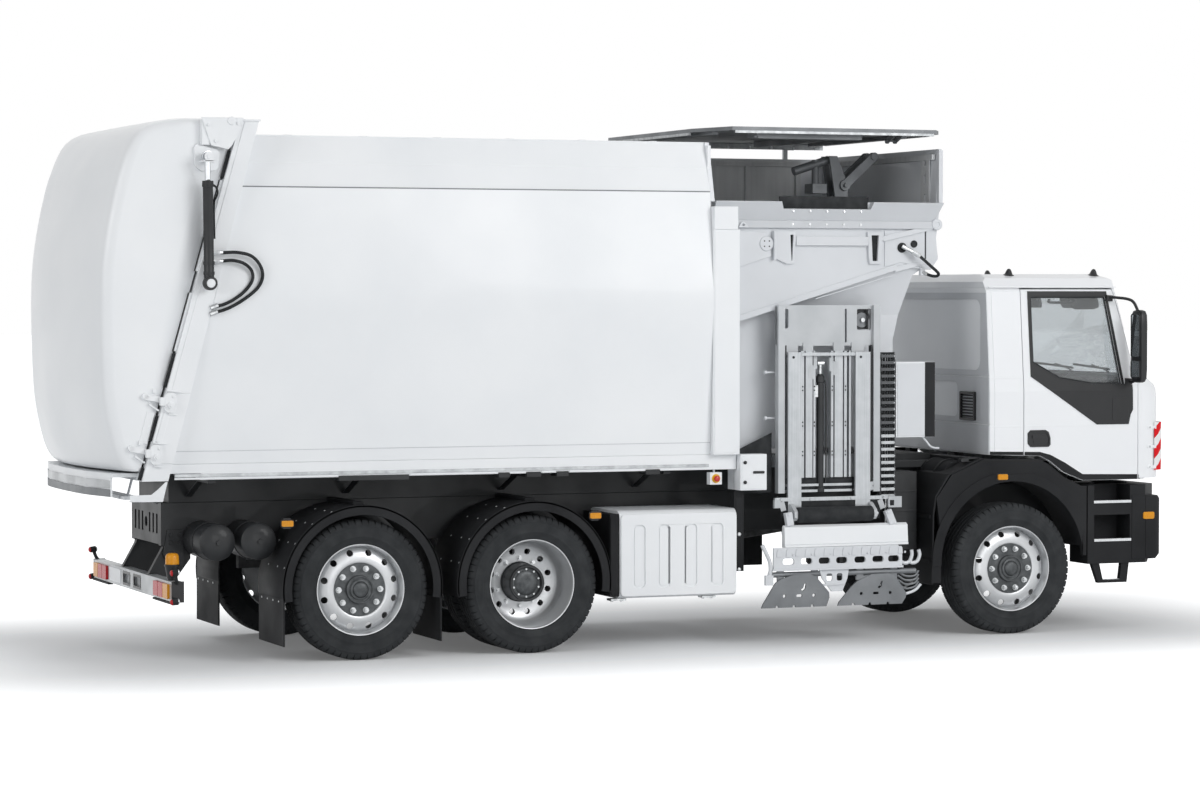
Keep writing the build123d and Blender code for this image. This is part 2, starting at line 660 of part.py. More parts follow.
def make_hopper():
    over_post = deck + tray_h - 37
    start = body_front_x + 30
    silhouette = side_prism(hopper_outline(0) + [(start, deck + hopper_h), (start, over_post),
                                                 (front_post_x + seat, over_post),
                                                 (front_post_x + seat, deck + hopper_foot)], -2000, 2000)
    def wall_sheet(top):
        outer, inner = hopper_section(0, top), hopper_section(wall, top)
        return rear_prism(outer + list(reversed(inner)), start - 10, hopper_front_x + 10) & silhouette

    right = other_side(wall_sheet(tray_h))
    notch = box(hopper_rear_x + 600, hopper_rear_x + 1370, -2000, 0, deck + tray_h - 60, deck + tray_h + 1)
    save("hopper_side_right", right - notch)
    left = wall_sheet(hopper_h)
    for x in lid_ear_x:
        left += box(x - 20, x + 20, hopper_half_w - wall, hopper_half_w, deck + hopper_h - 1, lid_hinge_z)
        left += disc_x(lid_hinge_y, lid_hinge_z, 20, x - 20, x + 20)
        left += disc_x(lid_hinge_y, lid_hinge_z, 12, x, x + 75)
    save("hopper_side_left", left)
    inner = hopper_section(wall + seat, hopper_h)
    inner = [(inner[0][0], 0)] + inner[1:]
    room = rear_prism(inner + [(-y, z) for y, z in reversed(inner)], start, hopper_front_x + 10)
    sheet = side_prism(hopper_outline(0) + list(reversed(hopper_outline(wall))), -2000, 2000)
    save("hopper_end_wall", sheet & room)
    floor = box(front_post_x + seat, hopper_foot_front_x - wall - seat, -hopper_low_half_w + wall + seat,
                hopper_low_half_w - wall - seat, deck + hopper_foot, deck + hopper_foot + wall)
    for x in (front_post_x + 75, hopper_foot_front_x - 105):
        floor += box(x, x + 80, -1000, 1000, deck, deck + hopper_foot)
    save("hopper_floor", floor)
    cabinet = box(front_post_x + 5, front_post_x + 235, -body_half_w, -1000 - seat, deck - 167, deck + 120)
    valves = box(lifter_x + 601, lifter_x + 950, -1190, -hopper_low_half_w - seat, deck + 230, deck + 840)
    save("control_boxes", [cabinet, valves])


lid_hinge_y = hopper_half_w - 20.0
lid_hinge_z = deck + hopper_h + 104.0
lid_ear_x = (hopper_rear_x + 360, hopper_rear_x + 1660)


def make_lid():
    z = lid_hinge_z + 25
    left, right = lid_hinge_y, -hopper_half_w - 80
    plate = plan_prism([(hopper_rear_x + 5, left), (hopper_front_x - 30, left), (hopper_front_x, right + 150),
                        (hopper_front_x - 100, right), (hopper_rear_x + 140, right),
                        (hopper_rear_x + 5, right + 500)], z, z + 30)
    # stiffening box and lifting rib under the plate
    plate += box(hopper_rear_x + 380, hopper_rear_x + 1320, right + 110, right + 260, z - 50, z + 1)
    plate += box(hopper_rear_x + 1200, hopper_rear_x + 1260, right + 200, left - 350, z - 45, z + 1)
    for x in lid_ear_x:
        knuckle = disc_x(lid_hinge_y, lid_hinge_z, 26, x + 26, x + 80)
        knuckle -= disc_x(lid_hinge_y, lid_hinge_z, 12 + seat, x + 20, x + 90)
        plate += knuckle
    save("hopper_lid", plate)


# ---- side lifter ----
lifter_x = hopper_rear_x + 990.0
mast_back_y = hopper_half_w + 20.0
mast_plate_y = mast_back_y + 10.0
mast_front_y = mast_plate_y + 56.0
carriage_y = mast_front_y + run_gap
mast_foot_z = deck - 200.0
post_x = lifter_w / 2
beam_x = 290.0
beam_w = 80.0
beam_z0, beam_z1 = deck + 6.0, deck + 96.0
pivot_y = -(carriage_y + 28 + run_gap + 50)
pivot_z = deck - 370.0


def make_lifter_guides():
    guides = []
    end_y = -hopper_half_w + 70
    for side in (-1, 1):
        near = lifter_x + side * (beam_x + beam_w / 2 + run_gap)
        far = near + side * 80
        guide = box(min(near, far), max(near, far), end_y, 600, deck, deck + 100)
        pad_end = near - side * (run_gap - 2 * seat)
        guide += box(min(near, pad_end), max(near, pad_end), end_y, end_y + 100, deck + 20, deck + 80)
        guides.append(guide)
    save("lifter_guides", guides)


def make_lifter_mast():
    top = mast_foot_z + mast_h
    low_post, high_post = -mast_front_y, -mast_plate_y + 4
    mast = box(lifter_x - post_x, lifter_x + post_x, -mast_plate_y, -mast_back_y, mast_foot_z, mast_foot_z + 300)
    mast += box(lifter_x - post_x, lifter_x + post_x, -mast_plate_y, -mast_back_y, top - 310, top)
    for side in (-1, 1):
        outer = lifter_x + side * post_x
        inner = outer - side * 60
        mast += box(min(outer, inner), max(outer, inner), low_post, high_post, mast_foot_z, top)
    mast += disc_z(lifter_x - 70, -mast_plate_y - 27, 27, mast_foot_z, mast_foot_z + 1020)
    mast += box(lifter_x - 110, lifter_x - 30, -mast_plate_y - 30, -mast_plate_y, mast_foot_z, mast_foot_z + 40)
    for side in (-1, 1):
        x = lifter_x + side * beam_x
        mast += box(x - beam_w / 2, x + beam_w / 2, -mast_back_y - 1, reach_beam_l - mast_back_y, beam_z0, beam_z1)
    save("lifter_mast", mast)
    save("cable_chain", box(lifter_x + post_x + seat, lifter_x + post_x + 145, low_post, high_post,
                            mast_foot_z - 70, mast_foot_z + 1120))


def make_lifter_carriage():
    front, back = -carriage_y - 28, -carriage_y
    low = pivot_z - 70
    half = post_x - 70
    carriage = box(lifter_x - half, lifter_x + half, front, back, low, low + 200)
    carriage += box(lifter_x - half + 20, lifter_x + half - 20, front, back, low + 890, low + 990)
    for x in (-280, 230):
        carriage += box(lifter_x + x, lifter_x + x + 50, back - 1, -mast_plate_y - run_gap, low + 40, low + 1090)
    # slide shoes riding on the faces of the mast posts
    for side in (-1, 1):
        x0, x1 = sorted((lifter_x + side * (half - 20), lifter_x + side * (post_x - 10)))
        for z in (mast_foot_z + 10, low + 900):
            carriage += box(x0, x1, front, -mast_front_y - 2 * seat, z, z + 70)
            carriage += box(x0, x1, front, back - 8, low + 20, z + 70) if z < low + 800 else box(
                x0, x1, front, back - 8, z, z + 70)
    for side in (-1, 1):
        x0, x1 = sorted((lifter_x + side * roller_end_x, lifter_x + side * (roller_end_x + 30)))
        x0, x1 = (x0 + run_gap, x1 + run_gap) if side > 0 else (x0 - run_gap, x1 - run_gap)
        bracket = box(x0, x1, pivot_y - 40, back, pivot_z - 45, pivot_z + 80)
        pin = disc_x(pivot_y, pivot_z, 18, min(x0, lifter_x + side * (roller_end_x - 30)),
                     max(x1, lifter_x + side * (roller_end_x - 30)))
        carriage += bracket + pin
    save("lifter_carriage", carriage)


roller_end_x = 325.0


def make_lifter_head():
    y = pivot_y
    roller = disc_x(y, pivot_z, 50, lifter_x - roller_end_x, lifter_x + roller_end_x)
    roller -= disc_x(y, pivot_z, 18 + seat, lifter_x - roller_end_x - 1, lifter_x - roller_end_x + 40)
    roller -= disc_x(y, pivot_z, 18 + seat, lifter_x + roller_end_x - 40, lifter_x + roller_end_x + 1)
    head = roller
    bar_z0, bar_z1 = pivot_z - 260, pivot_z - 90
    head += rear_prism([(y - 20, bar_z0), (y - 45, bar_z0 + 30), (y - 35, bar_z1), (y + 5, bar_z1), (y + 15, bar_z0)],
                       lifter_x - 410, lifter_x + 670)
    for side in (-1, 1):
        x0, x1 = sorted((lifter_x + side * 250, lifter_x + side * 300))
        head += rear_prism([(y - 30, pivot_z - 20), (y + 20, pivot_z - 20), (y + 5, bar_z1 - 10), (y - 35, bar_z1 - 10)], x0, x1)
    # comb that hooks under the bin's rim
    comb = box(lifter_x - 475, lifter_x + 770, y - 60, y - 20, bar_z0 - 60, bar_z0 + 5)
    for step in range(16):
        x = lifter_x - 470 + step * 80
        comb += box(x, x + 34, y - 60, y - 44, bar_z0 - 5, bar_z0 + 40)
    head += comb
    # two shoes that close on the trunnions, on a common bracket
    head += box(lifter_x - 60, lifter_x + 110, y - 40, y - 10, bar_z0 - 330, bar_z0 - 55)
    for x0, x1, lean in ((lifter_x - 630, lifter_x - 10, 40), (lifter_x + 70, lifter_x + 620, -40)):
        shoe = side_prism([(x0 - lean, bar_z0 - 480), (x1 - 60, bar_z0 - 480), (x1, bar_z0 - 200),
                           (x0 + 60, bar_z0 - 200)] if lean > 0 else
                          [(x0 + 60, bar_z0 - 480), (x1 + 40, bar_z0 - 470), (x1 - 60, bar_z0 - 200),
                           (x0, bar_z0 - 200)], y - 48, y - 30)
        head += shoe
    save("lifter_head", head)


# ---- cab ----
# side outline of the cab: distance ahead of the front axle, height above the rails
cab_side = [(-215, 285), (-215, 1700), (-150, 1762), (919, 1765), (1043, 1682), (1207, 1176),
            (1266, 901), (1353, 817), (1354, 550), (1338, 60), (654, 60), (470, 130), (340, 225), (251, 269)]
belt = 901.0
screen_lean = (1043.0 - 1266.0) / (1682.0 - 901.0)
door_rear, door_front = 100.0, 1172.0
door_outline = [(door_rear, 0), (door_rear, 1640), (960, 1640), (door_front, 900), (door_front, 0)]
door_glass = [(188, 1577), (889, 1577), (1016, 855), (735, 857), (430, 905), (190, 1037)]
roof_line = 1650.0
cab_floor_z = 285.0


def cab_point(point):
    return front_axle_x + point[0], frame_top + point[1]


def cab_solid(inset):
    # outer shape of the cab, or its inside when inset
    outline = Polyline(*[(front_axle_x + x, 0, frame_top + z) for x, z in cab_side], close=True)
    face = make_face(outline)
    if inset:
        face = offset(face, amount=-inset, kind=Kind.INTERSECTION)
    side = extrude(face, amount=1400, dir=(0, 1, 0)) + extrude(face, amount=1400, dir=(0, -1, 0))
    w = cab_half_w - inset
    section = [(w, -50), (w, 800), (w - 72, 1620), (w - 150, 1730), (w - 330, 1768 - inset), (0, 1775 - inset)]
    half = [(y, frame_top + z) for y, z in section]
    rear = rear_prism(half + [(-y, z) for y, z in reversed(half[:-1])], front_axle_x - 400, front_axle_x + 1500)
    lower = extrude(cab_plan(0, frame_top - 50, w, inset), amount=belt + 50, dir=(0, 0, 1))
    way = Vector(screen_lean, 0, 1)
    upper = extrude(cab_plan(1266 - 1354, frame_top + belt, w, inset), amount=1100, dir=way.normalized())
    return side & rear & (lower + upper)


def cab_plan(shift, z, w, inset):
    # plan of the cab, its front corners rounded
    x = front_axle_x + shift
    rear, turn, front = front_axle_x - 400, x + door_front + 3, x + 1375 - inset
    corner = (x + 1318 - inset, w - 290)
    arc = ThreePointArc((turn, w, z), (x + 1282 - inset, w - 78, z), (corner[0], corner[1], z))
    nose = ThreePointArc((corner[0], corner[1], z), (front, 0, z), (corner[0], -corner[1], z))
    back = ThreePointArc((corner[0], -corner[1], z), (x + 1282 - inset, -w + 78, z), (turn, -w, z))
    rest = Polyline((turn, -w, z), (rear, -w, z), (rear, w, z), (turn, w, z))
    return make_face(arc.edges() + nose.edges() + back.edges() + rest.edges())


def screen_hole(shrink):
    low, high = frame_top + belt + 25 + shrink, frame_top + 1610 - shrink
    low_w, high_w = cab_half_w - 160 - shrink, cab_half_w - 240 - shrink
    return rear_prism([(low_w, low), (high_w, high), (-high_w, high), (-low_w, low)],
                      front_axle_x + 940, front_axle_x + 1500)


def outline_prism(points, amount, y0, y1):
    # door or glass outline, grown by amount
    corners = [cab_point(point) for point in points]
    outline = make_face(Polyline(*[(x, y0, z) for x, z in corners], close=True))
    if amount:
        outline = offset(outline, amount=amount, kind=Kind.INTERSECTION)
    return extrude(outline, amount=y1 - y0, dir=(0, 1, 0))


def make_cab():
    outer, inner = cab_solid(0), cab_solid(cab_wall)
    far = 9000.0
    under = extrude(cab_plan(0, frame_top - 60, cab_half_w - cab_wall, cab_wall), amount=560, dir=(0, 0, 1))
    under = under & box(cab_rear_x + cab_wall, front_axle_x + 1285, -far, far, 0, far)
    shell = outer - inner - under
    top = frame_top + roof_line
    rear_x = cab_rear_x + cab_wall
    save("cab_roof", shell & box(-far, far, -2000, 2000, top, far))
    below = shell & box(-far, far, -2000, 2000, 0, top)
    wall_part = below & box(-far, rear_x, -2000, 2000, 0, far)
    save("cab_rear_wall", wall_part)
    door_zone = outline_prism(door_outline, door_thickness_gap, -2000, 2000)
    front_zone = side_prism([cab_point(p) for p in [(door_front + 3, -50), (door_front + 3, 900), (963, 1640),
                                                    (963, roof_line + 10), (1600, roof_line + 10), (1600, -50)]], -2000, 2000)
    floor_z = frame_top + cab_floor_z
    floor = box(rear_x + seat, front_axle_x + 1165, -cab_half_w + cab_wall + 3, cab_half_w - cab_wall - 3,
                floor_z, floor_z + 30)
    floor += box(front_axle_x + 1160, front_axle_x + 1299, -500, 500, floor_z, floor_z + 30)
    save("cab_floor", floor)
    front = (below & front_zone) - door_zone - screen_hole(0)
    for piece in warning_panels() + cab_hinge_lugs() + door_hinges():
        front += piece
    save("cab_front", front)
    quarter = (below & box(rear_x, front_axle_x + door_rear + 1, -2000, 2000, 0, far)) - door_zone
    save("cab_sides", [quarter & box(-far, far, 0, 2000, 0, far), quarter & box(-far, far, -2000, 0, 0, far)])
    save("windscreen", (cab_solid(10) - cab_solid(10 + glass_t)) & screen_hole(seat))
    leaf = outline_prism(door_outline, -door_thickness_gap, -2000, 2000)
    hole = outline_prism(door_glass, 0, -2000, 2000)
    pane = (cab_solid(12) - cab_solid(12 + glass_t)) & outline_prism(door_glass, -seat, -2000, 2000)
    for name, y0, y1 in (("left", 500, 2000), ("right", -2000, -500)):
        side = box(-far, far, y0, y1, 0, far)
        save(f"door_{name}", (shell & leaf & side) - hole)
        save(f"door_glass_{name}", pane & side)


def warning_panels():
    # striped marker plates wrapped round the two front corners, on short brackets
    x = front_axle_x
    plates = []
    for side in (-1, 1):
        # distance ahead of the front axle and in from the cab's side
        corner = [(1340, 110), (1350, 100), (1450, 190), (1461, 330), (1453, 332), (1440, 197)]
        corner = [(x + ahead, side * (cab_half_w - inboard)) for ahead, inboard in corner]
        plate = plan_prism(corner, frame_top + 134, frame_top + 534)
        for z in (frame_top + 160, frame_top + 330, frame_top + 490):
            y0, y1 = sorted((side * (cab_half_w - 155), side * (cab_half_w - 106)))
            plate += box(x + 1280, x + 1352, y0, y1, z - 8, z + 8)
        plates.append(plate)
    return plates


def cab_hinge_lugs():
    # lugs on the cab's lower front edge, turning on the bumper's pins
    lugs = []
    low = frame_top + cab_side[9][1]
    for side in (-1, 1):
        y0, y1 = sorted((side * (330 + run_gap), side * 366))
        lug = disc_y(cab_hinge_x, cab_hinge_z, 16, y0, y1)
        lug += box(cab_hinge_x - 50, cab_hinge_x, y0, y1, cab_hinge_z, low + 1)
        lug += box(cab_hinge_x - 60, cab_hinge_x - 27, y0, y1, cab_hinge_z, low + 40)
        lug -= disc_y(cab_hinge_x, cab_hinge_z, 8 + seat, y0 - 1, y1 + 1)
        lugs.append(lug)
    return lugs


def door_hinges():
    # two hinge blocks a side, each reaching the door's front edge
    low_x = front_axle_x + door_front - door_thickness_gap + seat
    high_x = front_axle_x + door_front + door_thickness_gap + 2
    blocks = []
    for z in (frame_top + 200, frame_top + 620):
        block = box(low_x, high_x, cab_half_w - cab_wall + 5, cab_half_w - 10, z, z + 40)
        blocks += both_sides(block)
    return blocks


def make_cab_fittings():
    x = front_axle_x
    floor = frame_top + cab_floor_z + 30
    seats = []
    for y in (-520, 520):
        base = box(x + 60, x + 430, y - 190, y + 190, floor, floor + 260)
        cushion = box(x + 10, x + 500, y - 240, y + 240, floor + 260, floor + 380)
        back = side_prism([(x - 60, floor + 380), (x + 60, floor + 380), (x - 20, floor + 1120), (x - 110, floor + 1120)],
                          y - 230, y + 230)
        back += side_prism([(x - 60, floor + 379), (x + 70, floor + 379), (x + 70, floor + 300), (x - 40, floor + 300)],
                           y - 230, y + 230)
        seats.append(base + cushion + back)
    save("seats", seats)
    dash = side_prism([(x + 1120, floor), (x + 1120, floor + 350), (x + 930, floor + 430), (x + 945, floor + 560),
                       (x + 1150, floor + 590), (x + 1215, floor + 540), (x + 1180, floor)],
                      -cab_half_w + 200, cab_half_w - 200)
    save("dashboard", dash)
    tilt = 28.0
    hub = (x + 800, 520, floor + 640)
    ring = Pos(*hub) * Rot(0, -tilt, 0) * (Torus(215, 15) + Cylinder(45, 30) + Box(420, 30, 14) + Box(30, 420, 14))
    run = 125.0
    column = rod(hub, (x + 800 + run, 520, hub[2] - run / tan(radians(tilt))), 28) - Pos(-seat, 0, 0) * dash
    save("steering_wheel", ring + column)
    near, far = cab_half_w + 75, cab_half_w + 260
    housing = box(x + 1050, x + 1120, near, far, frame_top + 885, frame_top + 1450)
    housing = fillet(housing.edges().filter_by(Axis.Z), 18)
    mirror_body = housing + rod((x + 1085, near + 25, frame_top + 1445), (x + 930, cab_half_w - 52.6, frame_top + 1560), 12)
    mirror_body += rod((x + 1085, near + 25, frame_top + 900), (x + 1080, cab_half_w - 5.6, frame_top + 880), 12)
    save("mirror_left", mirror_body)
    save("mirror_right", other_side(mirror_body))


def make_all():
    make_wheels()
    make_front_axle()
    make_knuckles()
    make_rear_axles()
    make_frame()
    make_engine()
    make_driveline()
    make_air_tanks()
    make_side_boxes()
    make_rear_mudguards()
    make_rear_bumper()
    make_front_guards()
    make_front_bumper()
    make_body()
    make_rear_frame()
    make_tailgate()
    make_gate_cylinders()
    make_hopper()
    make_lid()
    make_lifter_guides()
    make_lifter_mast()
    make_lifter_carriage()
    make_lifter_head()
    make_cab()
    make_cab_fittings()


make_all()
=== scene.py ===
# Looks of a side-loading refuse truck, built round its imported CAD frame.
import random
from math import cos, pi, radians, sin, sqrt

import bmesh
import bpy
from mathutils import Matrix, Vector
from mathutils.geometry import tessellate_polygon


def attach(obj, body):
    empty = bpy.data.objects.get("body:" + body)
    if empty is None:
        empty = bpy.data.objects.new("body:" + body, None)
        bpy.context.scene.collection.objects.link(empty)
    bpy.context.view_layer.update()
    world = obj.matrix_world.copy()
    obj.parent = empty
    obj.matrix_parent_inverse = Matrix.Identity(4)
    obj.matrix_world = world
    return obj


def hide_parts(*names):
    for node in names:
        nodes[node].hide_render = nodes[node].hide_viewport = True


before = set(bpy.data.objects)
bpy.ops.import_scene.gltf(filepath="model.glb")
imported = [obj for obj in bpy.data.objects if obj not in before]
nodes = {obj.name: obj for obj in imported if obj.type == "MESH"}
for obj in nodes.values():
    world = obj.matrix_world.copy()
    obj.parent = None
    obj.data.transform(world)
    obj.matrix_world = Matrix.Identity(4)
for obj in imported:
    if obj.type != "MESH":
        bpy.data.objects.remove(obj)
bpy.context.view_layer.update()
random.seed(11)
print("frame loaded:", len(nodes), "nodes")


# camera, floor and light
camera = {"place": (-10.6285, -26.617, 2.8), "tilt": 88.248, "turn": -21.741, "lens": 105.25}
studio = {
    "world": 0.43,            # even light from all round
    "floorColour": "#E4E6E8",
    "nearLift": 0.1, "farLift": 0.85,    # added where the floor is looked at, so that it ends white
    "footprint": (4.2, 1.1, 0.0),         # half length and half width on the floor
    "fade": (0.0, 3.6),       # metres from the footprint over which the lift grows
    # place, aim, size, watts
    "lamps": [((7.0, -16.0, 9.0), (0.5, 0.0, 1.6), 9.0, 1220.0),
              ((-1.0, -22.0, 3.6), (0.3, 0.0, 2.2), 7.0, 300.0),
              ((-19.0, -8.0, 7.0), (-1.0, 0.0, 2.4), 8.0, 700.0),
              ((-3.0, 9.0, 15.0), (0.0, 0.0, 2.0), 10.0, 350.0)],
}


def toLinear(code):
    # sRGB hex to linear light
    channels = [int(code[at:at + 2], 16) / 255 for at in (1, 3, 5)]
    return tuple([c / 12.92 if c <= 0.04045 else ((c + 0.055) / 1.055) ** 2.4 for c in channels] + [1.0])


def addNode(look, kind, given):
    # one shader node; a key is a setting of the node or one of its sockets, a value may be a link
    node = look.node_tree.nodes.new("ShaderNode" + kind)
    for key, value in given.items():
        if isinstance(key, str) and key not in node.inputs:
            setattr(node, key, value)
        elif isinstance(value, bpy.types.NodeSocket):
            look.node_tree.links.new(value, node.inputs[key])
        else:
            node.inputs[key].default_value = value
    return node


def aimAt(place, target):
    return (Vector(target) - Vector(place)).to_track_quat("-Z", "Y").to_euler()


def setCamera():
    data = bpy.data.cameras.new("camera")
    data.lens = camera["lens"]
    shot = bpy.data.objects.new("camera", data)
    shot.location = camera["place"]
    shot.rotation_euler = (radians(camera["tilt"]), 0, radians(camera["turn"]))
    bpy.context.scene.collection.objects.link(shot)
    bpy.context.scene.camera = shot
    bpy.context.scene.view_settings.view_transform = "Standard"


def seenDirectly(look):
    # 1 where the camera, a reflection or a pane looks straight at this surface
    path = addNode(look, "LightPath", {})
    seen = addNode(look, "Math", {"operation": "MAXIMUM", 0: path.outputs["Is Camera Ray"],
                                  1: path.outputs["Is Glossy Ray"]})
    return addNode(look, "Math", {"operation": "MAXIMUM", 0: seen.outputs[0],
                                  1: path.outputs["Is Transmission Ray"]}).outputs[0]


def setStudio():
    world = bpy.data.worlds.new("studio")
    world.use_nodes = True
    bpy.context.scene.world = world
    backdrop = world.node_tree.nodes["Background"]
    strength = addNode(world, "MapRange", {"Value": seenDirectly(world), "To Min": studio["world"],
                                           "To Max": 1.0})
    backdrop.inputs["Color"].default_value = (1, 1, 1, 1)
    world.node_tree.links.new(strength.outputs["Result"], backdrop.inputs["Strength"])
    for number, (place, target, size, watts) in enumerate(studio["lamps"]):
        data = bpy.data.lights.new(f"lamp{number}", "AREA")
        data.shape, data.size, data.energy = "DISK", size, watts
        lamp = bpy.data.objects.new(f"lamp{number}", data)
        lamp.location, lamp.rotation_euler = place, aimAt(place, target)
        bpy.context.scene.collection.objects.link(lamp)
    look = bpy.data.materials.new("paleFloor")
    look.use_nodes = True
    shader = look.node_tree.nodes["Principled BSDF"]
    shader.inputs["Base Color"].default_value = toLinear(studio["floorColour"])
    shader.inputs["Roughness"].default_value = 0.9
    shader.inputs["Specular IOR Level"].default_value = 0.1
    shader.inputs["Emission Color"].default_value = (1, 1, 1, 1)
    # distance over the floor from the truck's own footprint
    place = addNode(look, "TexCoord", {}).outputs["Object"]
    out = addNode(look, "VectorMath", {"operation": "ABSOLUTE", 0: place})
    past = addNode(look, "VectorMath", {"operation": "SUBTRACT", 0: out.outputs[0], 1: studio["footprint"]})
    beside = addNode(look, "VectorMath", {"operation": "MAXIMUM", 0: past.outputs[0], 1: (0.0, 0.0, 0.0)})
    away = addNode(look, "VectorMath", {"operation": "LENGTH", 0: beside.outputs[0]})
    near, far = studio["fade"]
    grown = addNode(look, "MapRange", {"Value": away.outputs["Value"], "From Min": near, "From Max": far,
                                       "interpolation_type": "SMOOTHSTEP", "To Min": studio["nearLift"],
                                       "To Max": studio["farLift"]})
    lift = addNode(look, "Math", {"operation": "MULTIPLY", 0: seenDirectly(look), 1: grown.outputs[0]})
    look.node_tree.links.new(lift.outputs[0], shader.inputs["Emission Strength"])
    mesh = bpy.data.meshes.new("floor")
    mesh.from_pydata([(-200, -200, 0), (200, -200, 0), (200, 200, 0), (-200, 200, 0)], [], [(0, 1, 2, 3)])
    mesh.materials.append(look)
    floor = bpy.data.objects.new("floor", mesh)
    bpy.context.scene.collection.objects.link(floor)


setCamera()
setStudio()
print("camera and studio set")


# finishes
looks = {}
